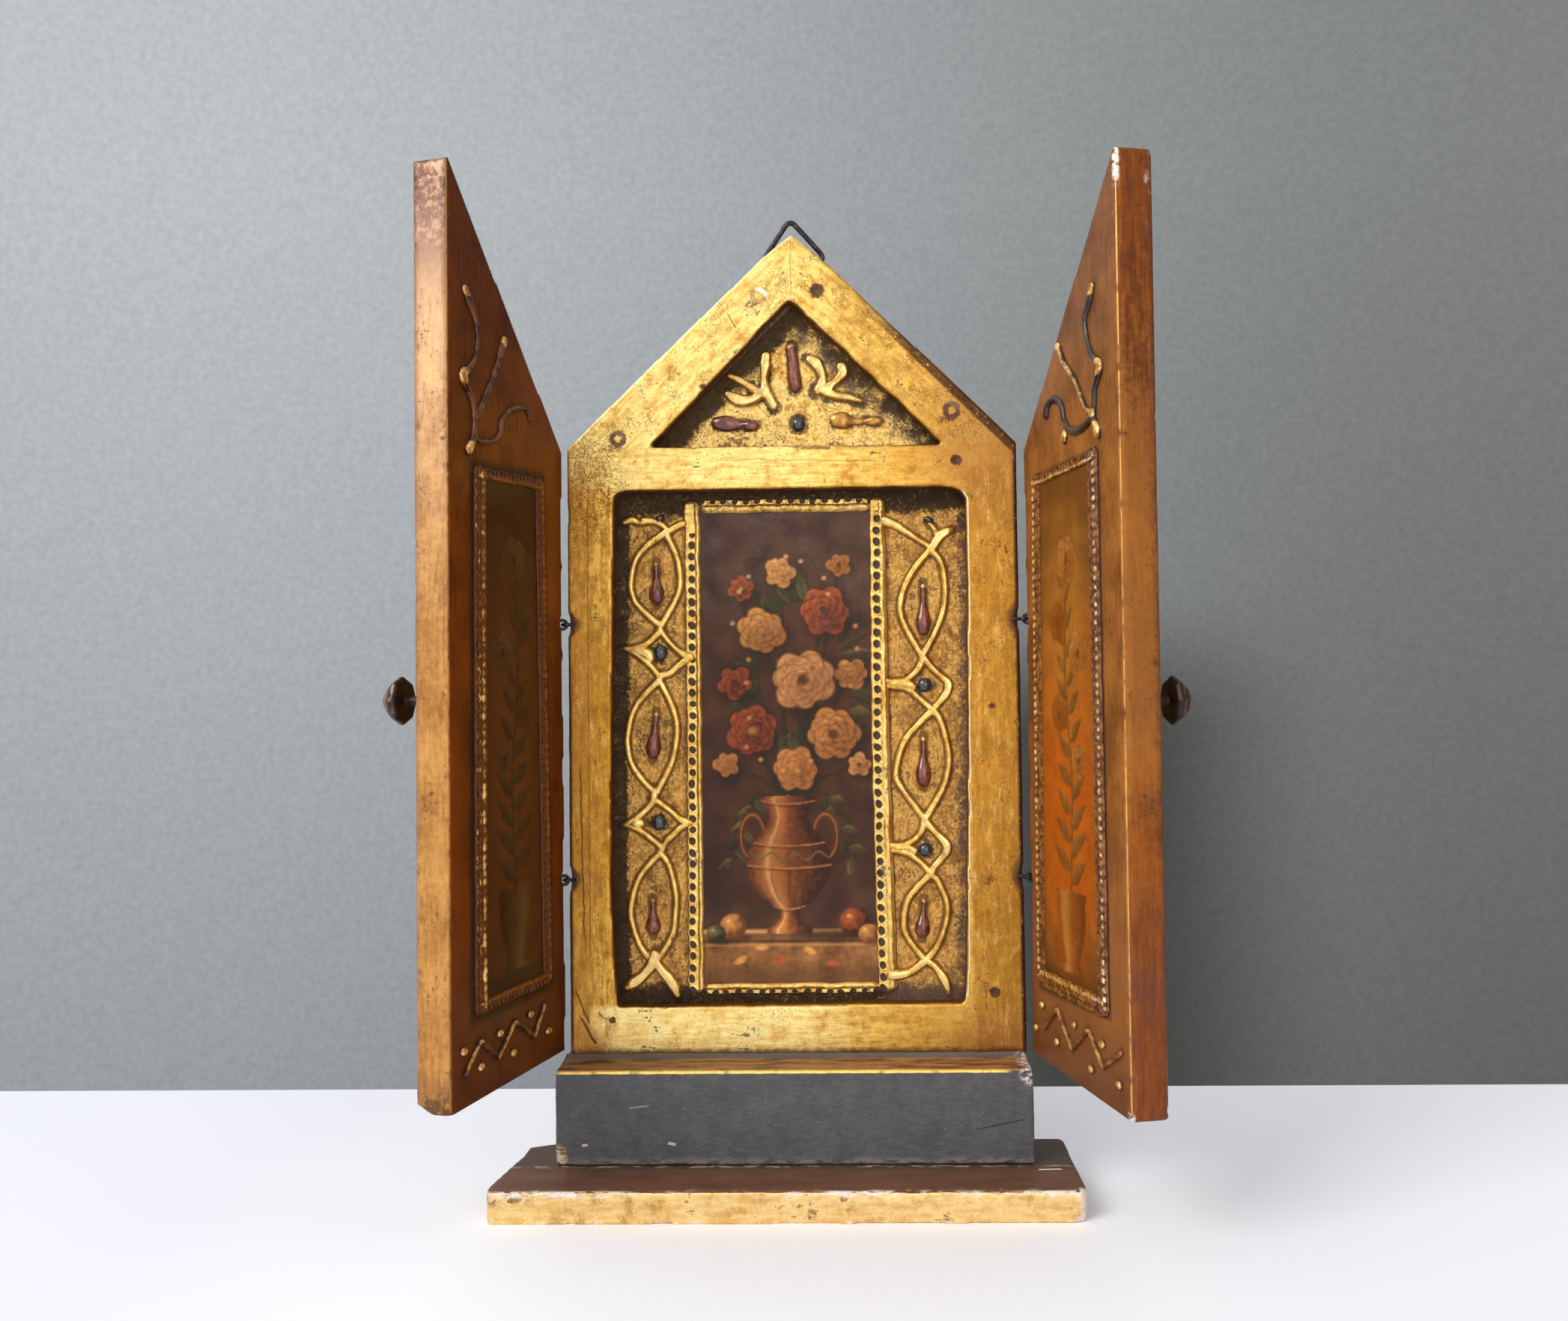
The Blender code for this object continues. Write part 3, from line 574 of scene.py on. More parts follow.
def leaf_tones_and_painted_light(p, x, z, on_stile, on_rake):
    """Two tones of leaf with painted light: palest on the rails' left and on the left rake, where the light
    falls; browner to the right, partly the leaf's own tone and partly painted shade; deepest on the stiles,
    which the open wings shade, and deeper again in the middle of the left stile.
    """
    pale = p.most(p.ramp(x, 22.0, -12.0) * p.ramp(z, 150.0, 153.0) * (0.60 - on_rake * 0.05),
                  p.ramp(z, 15.0, 12.0) * p.ramp(x, 24.0, -4.0) * p.ramp(x, -60.0, -50.0))
    right = p.ramp(x, 20.0, 50.0)
    bright = p.blend(on_stile, LEAF, p.blend(right, (0.80, 0.455, 0.080), (0.68, 0.37, 0.065)))
    bright = p.blend(pale, bright, (0.98, 0.80, 0.325))
    deep = p.blend(pale, p.blend(on_stile, LEAF_DEEP, (0.34, 0.145, 0.016)), (0.78, 0.48, 0.125))
    bright = p.blend(right * on_stile, bright, (0.50, 0.235, 0.032))
    bright = p.blend(p.ramp(x, 2.0, 38.0) * (1.0 - on_stile) * (0.9 - on_rake * 0.35),
                     bright, (0.64, 0.345, 0.065))
    middle = on_stile * p.ramp(x, 0.0, -1.0) * p.ramp(z, 128.0, 100.0) * p.ramp(z, 20.0, 60.0)
    bright = p.blend(middle, bright, (0.55, 0.265, 0.030))
    return bright, deep


def frame_marks(p, place, x, z, ragged):
    """Where nails, eyes and dents have marked the frame, and what shines white round the nails."""
    marks = white = 0.0
    for nx, nz, radius, kind in NAILS:
        off_x, off_z = x - nx, z - nz
        away = (off_x * off_x + off_z * off_z) ** 0.5 + ragged
        if kind == "hole":
            marks = p.most(p.ramp(away, radius * 1.3, radius * 0.95), marks)
        else:
            ring = p.ramp(abs(away - radius * 0.85), 0.95, 0.42)
            lit = ring * p.ramp(off_x * 0.7 + off_z, 0.4, 1.6)
            white = p.most(lit * (1.0 if nz > 200 else 0.10), white)
            marks = p.most(ring * (0.45 if nz > 200 else 0.95), marks)
            smear = p.spot(x, z, (nx - 1.4, nz - 2.4), (2.6, 0.9), 0.5)
            marks = p.most(smear * p.patches(place, 0.7, 0.42, 0.55, 3.0) * 0.8, marks)
    for side, edge in ((-1, -60.2), (1, 60.6)):
        for height_of_eye in EYE_HEIGHTS:
            centre, reach = (edge + 0.2 * side, height_of_eye), (3.4, 3.6 + 1.2 * side)
            marks = p.most(p.spot(x + ragged, z + ragged, centre, reach, 0.25), marks)
    dents = p.spots(x, z, ((-23.4, 178.6), (1.0, 0.7), 0.5), ((52.6, 92.0), (0.9, 0.7), 0.5))
    return p.most(dents, marks), white


def frame_gilding():
    p = Paint("worn_gilding")
    place = p.place()
    x, _, z = p.axes(place)
    z = z - LEDGE
    turn = p.kept("turn")
    # The leaf is drawn out along each strip
    on_stile = p.most(p.ramp(x, -47.0, -49.0), p.ramp(x, 45.5, 47.5)) * p.ramp(z, 160.0, 154.0)
    on_rake = p.ramp(z, 161.0, 162.6)
    out = abs(x - APEX[0])
    streaks = [p.noise(p.scaled(place, grain), 1.0, 5.0, 0.6)
               for grain in ((0.11, 1.0, 0.9), (0.8, 1.0, 0.075))]
    sloped = p.node("ShaderNodeCombineXYZ", None, {0: (z + out) * 0.6, 2: (z - out) * 0.09})
    sloped = p.noise(sloped, 1.0, 5.0, 0.6)
    drawn = streaks[0] + (streaks[1] - streaks[0]) * on_stile
    drawn = drawn + (sloped - drawn) * on_rake
    bright, deep = leaf_tones_and_painted_light(p, x, z, on_stile, on_rake)
    colour, rubbed, height = leafed(p, place, drawn, 0.3, bright, deep)
    browned = p.spots(x, z, ((54.0, 164.0), (17.0, 20.0), 0.6), ((56.0, 4.0), (16.0, 7.0), 0.6),
                      ((-57.0, 156.0), (4.0, 12.0), 0.6, 0.6), ((-57.0, 3.0), (7.0, 5.0), 0.6))
    colour = p.blend(browned * 0.72, colour, (0.32, 0.13, 0.03))
    stained = p.most(p.ramp(x, 6.0, 16.0) * p.ramp(z, 166.0, 172.0),
                     p.ramp(x, -50.0, -56.0) * p.ramp(z, 156.0, 148.0))
    stained = stained * p.patches(place, 4.0, 0.36, 0.62, 5.0, 0.7)
    colour = p.blend(stained * 0.65, colour, (0.40, 0.19, 0.035))
    glint = p.patches(p.scaled(place, (1.0, 1.0, 0.3)), 2.8, 0.48, 0.72, 6.0, 0.75) * on_stile
    colour = p.blend(glint * 0.42, colour, (0.94, 0.64, 0.20))
    dull = p.patches(p.scaled(place, (1.0, 1.0, 0.35)), 2.6, 0.50, 0.60, 5.0, 0.7) * on_stile
    colour = p.blend(dull * 0.66, colour, (0.33, 0.135, 0.022))
    specks = p.patches(place, 0.7, 0.635, 0.69, 4.0, 0.7) * p.patches(place, 7.0, 0.40, 0.58, 3.0)
    colour = p.blend(specks * 0.7, colour, (0.12, 0.045, 0.014))
    # Crackle at the left shoulder and on the rakes
    net = p.cracks(p.warped(place, 1.4, 3.4), 1.7, 0.10)
    patchy = p.patches(place, 6.0, 0.46, 0.60, 3.0)
    shoulder = p.spot(x, z, (-54.0, 154.0), (10.0, 16.0), 0.5)
    crackled = net * p.most(patchy, shoulder) * p.most(shoulder, p.ramp(z, 160.0, 168.0) * 0.75,
                                     p.spot(x, z, (-55.0, 142.0), (7.0, 6.0), 0.4), 0.22)
    colour = p.blend(crackled * 0.75, colour, LEAF_BROWN)
    foot = p.ramp(z + p.stray(place, 2.0, 2.4, 3.0), 2.9, 1.3)
    colour = p.blend(foot * 0.8, colour, (0.11, 0.040, 0.014))
    # Marks of the nails and of the eyes
    ragged = p.stray(place, 0.9, 1.6, 2.0)
    marks, white = frame_marks(p, place, x, z, ragged)
    stain = p.blend(p.noise(place, 1.1, 4.0, 0.7), (0.020, 0.008, 0.010), (0.15, 0.055, 0.045))
    colour = p.blend(marks * 0.92, colour, stain)
    colour = p.blend(white * 0.85, colour, (0.85, 0.76, 0.62))
    # Cracks and scratches
    wavy = p.axes(p.warped(place, 3.0, 1.0))
    lines = p.strokes(
        wavy[0], wavy[2] - LEDGE,
        ((-57.5, 10.6), (-53.5, 3.4), 0.45), ((-59.0, 18.0), (-55.4, 9.0), 0.36, 0.8),
        ((-57.2, 78.0), (-56.4, 30.0), 0.24, 0.8), ((-53.0, 12.0), (-49.0, 8.8), 0.28, 0.6),
        ((0.5, 201.5), (0.8, 218.8), 0.2, 0.35), ((-54.8, 150.0), (-54.9, 24.0), 0.17, 0.35),
        ((-20.0, 158.8), (24.0, 157.8), 0.16, 0.35), ((2.5, 161.6), (11.0, 161.7), 0.6, 0.8))
    lines = p.most(lines, p.stroke(x, z, (-16.6, 198.4), (-14.2, 194.0), 0.16) * 0.8)
    colour = p.blend(lines * 0.85, colour, UMBER)
    # Duller gold outside the seam of each stile, dark outer arrises, a painted highlight on the left rake's
    # outer arris, and a painted highlight along the right stile's inner arris, which faces the light
    outside = p.most(p.ramp(x, -54.4, -55.4) * p.ramp(z, 158.0, 150.0), p.ramp(x, 56.6, 59.0) * 0.6)
    colour = p.blend(outside * 0.30, colour, (0.42, 0.17, 0.025))
    edge = p.most(p.ramp(turn, 0.06, 0.30) * p.ramp(x, -58.4, -59.2),
                  p.ramp(x + ragged * 0.4, -58.9, -59.7) * p.ramp(z, 125.0, 95.0) * 0.8)
    edge = p.most(edge, p.ramp(x + ragged * 0.4, 58.7, 59.5)) * p.ramp(z, 163.0, 160.0)
    edge = p.most(edge, p.ramp(z + out + ragged * 0.5, 217.2, 218.3) * p.ramp(x, 14.0, 34.0)
                  * p.ramp(z, 158.0, 161.0))
    colour = p.blend(edge * p.patches(place, 1.4, 0.30, 0.44, 4.0, 0.7) * 0.9, colour, (0.060, 0.020, 0.012))
    rake_arris_highlight = p.ramp(turn, 0.05, 0.25) * p.ramp(z, 163.0, 166.0) * p.ramp(z + out, 214.5, 217.0)
    colour = p.blend(rake_arris_highlight * p.ramp(x, 8.0, 2.0) * 0.8, colour, (0.98, 0.88, 0.66))
    bright = p.ramp(x, 43.6, 44.6) * p.ramp(x, 49.0, 48.0) * p.ramp(z, 150.5, 148.5) * p.ramp(z, 13.0, 16.0)
    bright = bright * p.ramp(turn, 0.02, 0.12) * p.ramp(turn, 0.85, 0.5)
    colour = p.blend(bright * 0.85, colour, (1.0, 0.84, 0.50))
    # Walls of the recesses and the arrises
    rim = p.ramp(turn, 0.10, 0.42) * p.ramp(turn, 1.25, 0.6)
    wall = p.ramp(turn, 0.50, 0.92) * p.ramp(abs(x), 58.6, 58.0)
    wall_colour = p.blend(p.noise(place, 2.6, 4.0, 0.65), (0.040, 0.012, 0.005), (0.26, 0.080, 0.014))
    worn = p.ramp(p.noise(place, 1.9, 4.0, 0.7) + p.noise(place, 9.0, 2.0) * 0.5, 0.72, 0.92)
    colour = p.blend(rim * worn * 0.8 * (1.0 - bright), colour, BOLE)
    colour = p.blend(wall * 0.92, colour, wall_colour)
    bare = p.most(rubbed, crackled, marks, lines, wall * 0.55)
    return p.done(0.12, base_color=colour, metallic=0.87 - bare * 0.60, roughness=0.35 + bare * 0.25,
                  normal=p.bumped(height - crackled * 0.6 - lines * 1.2 - marks * 0.4 + white * 0.5, 0.13))


# ---------------------------------------------------------------- ground and relief of the recess

TRAILS = {
    "left": dict(
        loops=(((-34.4, 139.8), (-39.0, 136.7), (-42.4, 132.7), (-43.8, 126.5), (-42.8, 121.5),
                (-39.8, 118.1), (-35.8, 114.6)),
               ((-34.0, 139.4), (-31.4, 133.5), (-30.5, 128.8), (-30.6, 124.7), (-32.3, 120.4),
                (-35.8, 114.6)),
               ((-36.3, 100.0), (-41.3, 95.0), (-43.7, 91.0), (-44.8, 86.3), (-45.0, 82.3), (-43.9, 77.3),
                (-40.5, 72.4), (-37.6, 69.6)),
               ((-36.3, 100.0), (-32.8, 92.6), (-31.7, 87.9), (-32.0, 82.8), (-33.4, 77.2), (-37.4, 69.6)),
               ((-36.5, 53.6), (-42.2, 47.0), (-44.5, 39.1), (-43.9, 33.8), (-41.9, 28.4), (-38.6, 24.2)),
               ((-36.5, 53.6), (-34.1, 50.0), (-32.4, 42.6), (-32.6, 36.7), (-33.6, 31.1), (-38.0, 24.2))),
        strokes=(((-36.0, 115.2, 1.0), (-36.1, 113.2, 1.1), (-37.5, 111.7, 0.95), (-39.4, 110.0, 0.95),
                  (-42.2, 108.9, 0.9), (-45.8, 108.7, 0.45)),
                 ((-36.1, 113.6, 1.1), (-34.2, 111.0, 0.85), (-31.9, 108.5, 0.85), (-29.8, 106.9, 1.2),
                  (-27.8, 106.2, 1.3)),
                 ((-28.4, 105.7, 1.1), (-31.0, 103.9, 1.05), (-33.3, 101.9, 1.05), (-35.6, 101.2, 1.15),
                  (-36.3, 100.0, 1.05)),
                 ((-36.3, 100.8, 1.0), (-38.2, 103.4, 1.0), (-40.5, 105.6, 1.0), (-43.0, 107.3, 0.85),
                  (-45.8, 108.6, 0.45)),
                 ((-43.6, 108.1, 0.8), (-41.0, 107.7, 1.5), (-39.4, 107.1, 1.7), (-38.7, 106.0, 1.3)),
                 ((-38.0, 70.0, 1.25), (-38.1, 67.8, 1.25), (-39.9, 65.4, 1.05), (-42.2, 63.4, 1.0),
                  (-44.6, 61.9, 0.85), (-46.2, 61.1, 0.5)),
                 ((-37.8, 67.8, 1.1), (-35.5, 66.2, 0.95), (-33.2, 64.4, 0.9), (-31.3, 62.6, 1.05),
                  (-29.4, 61.8, 1.15), (-28.2, 61.4, 0.9)),
                 ((-29.4, 61.2, 1.1), (-31.4, 59.8, 1.05), (-33.6, 57.7, 1.0), (-35.2, 56.1, 1.05),
                  (-36.4, 53.4, 1.15)),
                 ((-36.4, 55.2, 1.15), (-38.3, 56.9, 1.05), (-40.8, 58.8, 1.0), (-43.2, 60.2, 1.0),
                  (-46.0, 60.9, 0.55)),
                 ((-44.6, 61.4, 0.8), (-42.6, 61.4, 1.4), (-41.6, 61.5, 1.2)),
                 ((-29.4, 142.3, 1.0), (-31.6, 141.3, 1.05), (-34.4, 139.8, 1.1)),
                 ((-34.0, 140.8, 0.9), (-35.2, 142.0, 1.0), (-37.4, 143.0, 1.0), (-39.8, 143.2, 1.15),
                  (-41.4, 142.8, 0.85), (-43.2, 143.5, 1.1), (-45.5, 142.9, 0.7)),
                 ((-38.3, 26.2, 1.5), (-39.2, 23.4, 1.8), (-41.4, 20.8, 1.6), (-43.8, 18.9, 1.8),
                  (-45.6, 17.8, 1.1)),
                 ((-38.0, 24.6, 1.5), (-36.4, 22.2, 1.4), (-34.6, 20.2, 1.7), (-33.0, 17.8, 1.65),
                  (-32.2, 15.6, 1.1))),
        drops=(((-37.0, 132.2), (-36.8, 120.4)), ((-37.2, 91.6), (-38.4, 78.6)),
               ((-38.7, 41.4), (-38.5, 31.4))),
        beads=((-35.8, 143.7, 1.5, 1.05, 0.7), (-36.1, 107.4, 2.1, 2.1, 0.0), (-36.8, 61.6, 2.0, 2.2, 0.0))),
    "right": dict(
        loops=(((37.4, 134.2), (33.9, 130.5), (30.5, 124.9), (29.0, 120.0), (29.2, 116.6), (30.5, 113.0),
                (34.6, 105.6)),
               ((37.6, 134.0), (40.3, 130.1), (41.0, 121.0), (38.9, 113.3), (34.8, 105.6)),
               ((37.4, 91.2), (29.9, 83.2), (27.2, 74.6), (28.7, 70.2), (34.6, 62.0)),
               ((37.4, 91.2), (39.6, 87.5), (41.4, 78.4), (39.8, 70.5), (35.0, 62.0)),
               ((36.0, 47.2), (30.2, 40.9), (28.7, 34.9), (29.7, 30.4), (34.2, 24.4)),
               ((36.0, 47.2), (38.2, 45.0), (40.5, 37.8), (38.0, 28.9), (34.6, 24.4))),
        strokes=(((34.9, 106.2, 1.3), (34.4, 103.8, 1.15), (33.1, 101.5, 0.9), (31.0, 99.7, 0.9),
                  (28.6, 98.9, 0.9), (25.4, 98.9, 0.95)),
                 ((35.2, 105.0, 1.2), (37.3, 102.4, 1.0), (39.6, 100.2, 1.05), (41.2, 98.7, 1.35),
                  (41.5, 97.4, 1.6), (41.0, 95.5, 1.4),
                  (39.4, 93.4, 1.1), (37.9, 91.6, 1.1), (37.4, 90.4, 1.0)),
                 ((25.6, 97.6, 0.8), (29.4, 97.1, 0.9), (32.0, 95.9, 0.95), (34.3, 93.7, 0.9),
                  (36.3, 92.0, 1.05), (37.4, 90.8, 1.1)),
                 ((26.0, 98.2, 0.9), (29.5, 98.1, 1.2), (31.4, 97.8, 1.3), (32.2, 97.4, 1.1)),
                 ((34.7, 62.2, 1.5), (34.1, 59.5, 1.2), (32.7, 57.1, 0.85), (30.4, 55.5, 0.9),
                  (28.2, 54.9, 0.95), (25.6, 54.9, 1.0)),
                 ((35.2, 61.0, 1.3), (37.3, 58.6, 1.05), (39.3, 56.5, 1.25), (40.5, 54.8, 1.5),
                  (40.3, 53.2, 1.4), (38.8, 51.0, 1.15),
                  (37.0, 49.0, 1.15), (36.2, 47.0, 1.2)),
                 ((25.8, 53.6, 0.8), (29.6, 52.9, 1.0), (32.0, 51.5, 0.95), (34.3, 49.5, 0.95),
                  (36.1, 47.4, 1.1)),
                 ((27.0, 54.2, 0.9), (30.4, 54.1, 1.2), (31.8, 53.5, 1.1)),
                 ((25.4, 142.1, 1.6), (28.4, 140.8, 1.4), (31.8, 138.6, 1.0), (35.0, 136.4, 0.8),
                  (37.6, 134.6, 0.9)),
                 ((37.4, 133.8, 1.1), (38.7, 136.0, 1.35), (40.0, 137.8, 1.5), (41.6, 139.0, 1.45),
                  (42.9, 139.5, 0.9)),
                 ((37.0, 141.5, 0.6), (38.4, 139.9, 0.8), (39.2, 138.0, 1.0)),
                 ((25.6, 20.4, 1.7), (28.2, 20.6, 1.45), (30.4, 21.3, 1.2), (32.4, 22.6, 1.15),
                  (34.2, 24.2, 1.3)),
                 ((34.6, 24.2, 1.2), (36.8, 22.7, 1.15), (38.2, 20.9, 1.3), (39.2, 19.2, 1.5),
                  (39.9, 17.4, 1.2), (40.3, 15.6, 0.8))),
        drops=(((35.2, 125.4), (35.1, 111.0)), ((34.7, 84.2), (34.5, 70.4)), ((34.2, 40.8), (33.5, 30.0))),
        beads=((36.9, 142.3, 1.5, 1.0, -0.3), (35.2, 97.8, 2.0, 2.0, 0.0), (34.8, 53.6, 2.0, 1.9, 0.0))),
}


def thick(stroke):
    """A raised line from x, height and half thickness at each of its points, with rounded ends."""
    line = smooth(stroke, 4)
    for _ in range(2):
        line.reverse()
        (x, z, half), (px, pz, _) = line[-1], line[-2]
        run = math.hypot(x - px, z - pz)
        for part in (0.45, 0.75, 0.95):
            line.append((x + (x - px) / run * half * part, z + (z - pz) / run * half * part,
                         half * math.sqrt(1 - part * part)))
    return [(x, z) for x, z, _ in line], False, [half for _, _, half in line]


def trail_lines(side):
    """Every raised line of one vine: points, closed or not, and half thickness."""
    trail = TRAILS[side]
    lines = []
    for loop in trail["loops"]:
        line = smooth(loop)
        lines.append((line, False, [0.98 + 0.2 * abs(2 * i / (len(line) - 1) - 1) ** 6
                                    for i in range(len(line))]))
    return lines + [thick(stroke) for stroke in trail["strokes"]]


def relief(name, lines, radius, ground, high_side, grain, facing=-1, to_height=LEDGE):
    """Fuse raised lines into one run of gesso that stands on the ground."""
    wires = []
    for i, (line, closed, swell) in enumerate(lines):
        wander = [1.0 + 0.10 * noise.noise(Vector((k * 0.31, i * 2.7, 0.5))) for k in range(len(line))]
        points = [(x, 0.0, z + to_height) for x, z in line]
        wires.append(bent("wire", points, radius, closed, [s * w for s, w in zip(swell, wander)]))
    run = joined(name, wires)
    points = points_of(run)
    rise = points[:, 1] * facing * high_side / radius
    rise = 1.2 * high_side * np.tanh(rise / high_side)
    points[:, 1] = ground + facing * np.maximum(rise, -0.12)
    set_points(run, points)
    rounded_off(run, grain, 4)
    points = points_of(run)
    push(run, 0.03 + 0.04 * uneven(points, 1.6, 3))
    keep_value(run, "rise", np.clip((points_of(run)[:, 1] - ground) * facing / high_side, 0, 1.6))
    return run


def dress(piece, material, slot, body, *nodes):
    inner, outer = [np.array(corner) / MM for corner in CAD_BOX]
    set_points(piece, np.clip(points_of(piece), inner + 0.001, outer - 0.001))
    piece.data.materials.clear()
    piece.data.materials.append(material)
    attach(piece, body)
    if nodes:
        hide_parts(*nodes)
    return piece


def piping_gilding():
    p = Paint("piping_gilding")
    place = p.place()
    colour, rubbed, height = leafed(p, place, (0.7, 0.7, 0.7), 0.1, (0.84, 0.52, 0.125), (0.50, 0.245, 0.040))
    rise = p.kept("rise")
    # The foot of each raised line is darker: painted shade in the crease, with dirt
    foot = p.ramp(rise + p.stray(place, 1.2, 0.5, 4.0, 0.6), 0.70, 0.18)
    colour = p.blend(foot * 0.9, colour, (0.13, 0.050, 0.012))
    # The crest is paler: a painted highlight
    glow = p.ramp(rise + p.stray(place, 3.0, 0.8, 2.0), 0.80, 1.10) * 0.35
    colour = p.blend(glow, colour, (1.0, 0.80, 0.38))
    bare = p.most(rubbed, foot)
    return p.done(0.3, base_color=colour, metallic=0.86 - bare * 0.55, roughness=0.24 + bare * 0.2,
                  normal=p.bumped(height, 0.018))


def ground_gilding():
    p = Paint("toned_ground")
    place = p.place()
    x, _, z = p.axes(place)
    z = z - LEDGE
    right = p.ramp(x, 22.0, 26.0)
    grime_and_shade, line = p.kept("grime_and_shade"), p.kept("line")
    colour, rubbed, height = leafed(p, place, (1.2, 1.0, 0.5), 0.9, (0.76, 0.43, 0.11), (0.34, 0.150, 0.028))
    net = p.cracks(p.warped(place, 1.8, 2.0), 1.4, 0.10) * p.patches(place, 3.0, 0.44, 0.60, 3.0)
    colour = p.blend(net * 0.45, colour, UMBER)
    mottled = p.ramp(p.noise(place, 0.9, 5.0, 0.72) + p.stray(place, 7.0, 0.9, 2.0), 0.46, 0.68)
    colour = p.blend(mottled * 0.55, colour, (0.16, 0.068, 0.020))
    ragged = p.stray(place, 0.9, 2.0, 5.0, 0.75) + p.stray(place, 3.6, 1.4, 3.0)
    # Dark outline round the raised lines: painted shade in the creases, with dirt
    outline = p.ramp(line + ragged * 0.35, 0.20, 0.95)
    colour = p.blend(outline * 0.75, colour, (0.085, 0.034, 0.010))
    # Near-black along the walls and in the corners: painted shade with soot, browner at the upper right
    dirt_and_shade = p.ramp(grime_and_shade + ragged, 0.22, 1.0)
    soot_and_shade = p.blend(right * p.ramp(z, 143.0, 134.0) * 0.55, SOOT_AND_SHADE, (0.150, 0.092, 0.066))
    colour = p.blend(dirt_and_shade * 0.94, colour, soot_and_shade)
    worn = p.ramp(ragged, 0.16, 0.50) * p.ramp(grime_and_shade, 0.5, 1.0)
    colour = p.blend(worn * 0.40, colour, (0.30, 0.17, 0.08))
    dust = p.patches(place, 0.45, 0.64, 0.72, 3.0, 0.6) * p.patches(place, 8.0, 0.46, 0.60, 2.0)
    colour = p.blend(dust * (0.3 + right * 0.3), colour, (0.46, 0.36, 0.27))
    bare = p.most(rubbed, dirt_and_shade, net, outline)
    return p.done(0.15, base_color=colour, metallic=0.66 - bare * 0.60, roughness=0.42 + bare * 0.25,
                  normal=p.bumped(height - net * 0.4 + p.noise(place, 0.5, 3.0) * 0.5, 0.16))


def window_side(z, left):
    """X of the recess's wall at these heights."""
    edge = [(px, pz) for px, pz in WINDOW if (px < 0) == left]
    edge.sort(key=lambda point: point[1])
    return np.interp(z, [pz for _, pz in edge], [px for px, _ in edge])


def make_ground(side, material):
    """The field beside the picture, with dirt and painted shade in its corners, along the recess walls and
    beside the raised lines.
    """
    left = side == "left"
    low_z, high_z = 12.4, 151.6
    inner = -27.4 if left else 23.6
    lines = [line for line, _, _ in trail_lines(side)] + [list(pair) for pair in TRAILS[side]["drops"]]

    def across_at(u, z):
        wall = window_side(z, left) + (-0.7 if left else 0.7)
        return wall + (inner - wall) * u if left else inner + (wall - inner) * u

    field = ground_slab(f"{side}_ground", across_at, 22.0, low_z, high_z, lines)
    points = points_of(field)
    x, z = points[:, 0], points[:, 2] - LEDGE
    # Dark outline beside the raised lines and the border band: painted shade in the creases, with dirt
    near_line = fade(distance_to(lines, x, z), 0.9, 1.9)
    # Painted shade with dirt: along the recess wall (wider on the left, where the wall throws its shadow),
    # under the recess's head, above its foot and round the large beads
    wall = np.abs(x - window_side(z, left))
    near_wall = fade(wall, 2.2, 5.2) * 1.5 if left else fade(wall, 0.5, 5.0) * 0.75
    edges = np.maximum(fade(150.8 - z, 3.0, 8.5) * 1.5, fade(z - 13.4, 1.5, 7.5) * 1.3)
    band = fade(np.abs(x - (-29.2 if left else 25.6)), 0.3, 1.6) * 0.6
    bead_dirt_and_shade = np.max([fade(np.hypot(x - bx, z - bz), 2.0, 4.0) for bx, bz, *_ in TRAILS[side]["beads"][1:]],
                       axis=0) * 0.7
    keep_value(field, "grime_and_shade", np.max([near_wall, edges, bead_dirt_and_shade], axis=0) + (0.06 if left else -0.02))
    keep_value(field, "line", np.maximum(near_line, band))
    dress(field, material, "gilded_ground", "stand")


def ground_slab(name, across_at, width, low_z, high_z, lines):
    def shape(u, v):
        z = low_z + (high_z - low_z) * v
        x = across_at(u, z)
        lumps = ripples(x * 0.35, z * 0.35, 3.0)
        sunk = fade(distance_to(lines, x, z), 0.7, 1.8) if lines else 0.0
        return x, z + LEDGE, GROUND + 0.12 * lumps - 0.12 * sunk

    return slab(name, round(width / GROUND_STEP), round((high_z - low_z) / GROUND_STEP), shape, BOARD - 0.02)


def make_end_grounds(material):
    """The strips of ground above and below the picture's border."""
    for name, low_z, high_z in (("top_ground", 148.0, 151.6), ("foot_ground", 12.2, 16.4)):
        strip = ground_slab(name, lambda u, z: -28.6 + 55.4 * u, 55.4, low_z, high_z, None)
        # Both strips are darkened all over: painted shade in the narrow corners beside the border, with dirt
        keep_value(strip, "grime_and_shade", np.full(len(strip.data.vertices), 1.2))
        keep_value(strip, "line", np.zeros(len(strip.data.vertices)))
        dress(strip, material, "gilded_ground", "stand")


def teardrop(name, top, bottom, width, ground, rise, neck, full):
    """A drop of glaze, narrow at its neck and fullest near its foot."""
    drop, unit = ball(name, 28, 26)
    head, foot = np.array(top), np.array(bottom)
    run = foot - head
    sideways = np.array((run[1], -run[0])) / np.hypot(*run)
    t = np.arccos(np.clip(unit[:, 2], -1, 1)) / math.pi
    body = neck + (1 - neck) * (1 - fade(t, full * 0.42, full))
    round_foot = np.sqrt(np.clip(1 - np.clip((t - full) / (1 - full), 0, 1) ** 2, 0, 1))
    ends = round_foot * np.sqrt(np.clip(t / 0.09, 0, 1))
    half = body * ends
    around = np.arctan2(unit[:, 1], unit[:, 0])
    place = head + t[:, None] * run + sideways * (np.cos(around) * half * width / 2)[:, None]
    lift = np.maximum(-np.sin(around) * half * rise, -0.15)
    set_points(drop, np.column_stack((place[:, 0], ground - lift, place[:, 1] + LEDGE)))
    keep_value(drop, "along", 1 - t)
    keep_value(drop, "side", np.abs(np.cos(around)))
    edit()
    bpy.ops.mesh.remove_doubles(threshold=0.0000002)
    leave()
    outward(drop)
    soften(drop)
    return drop


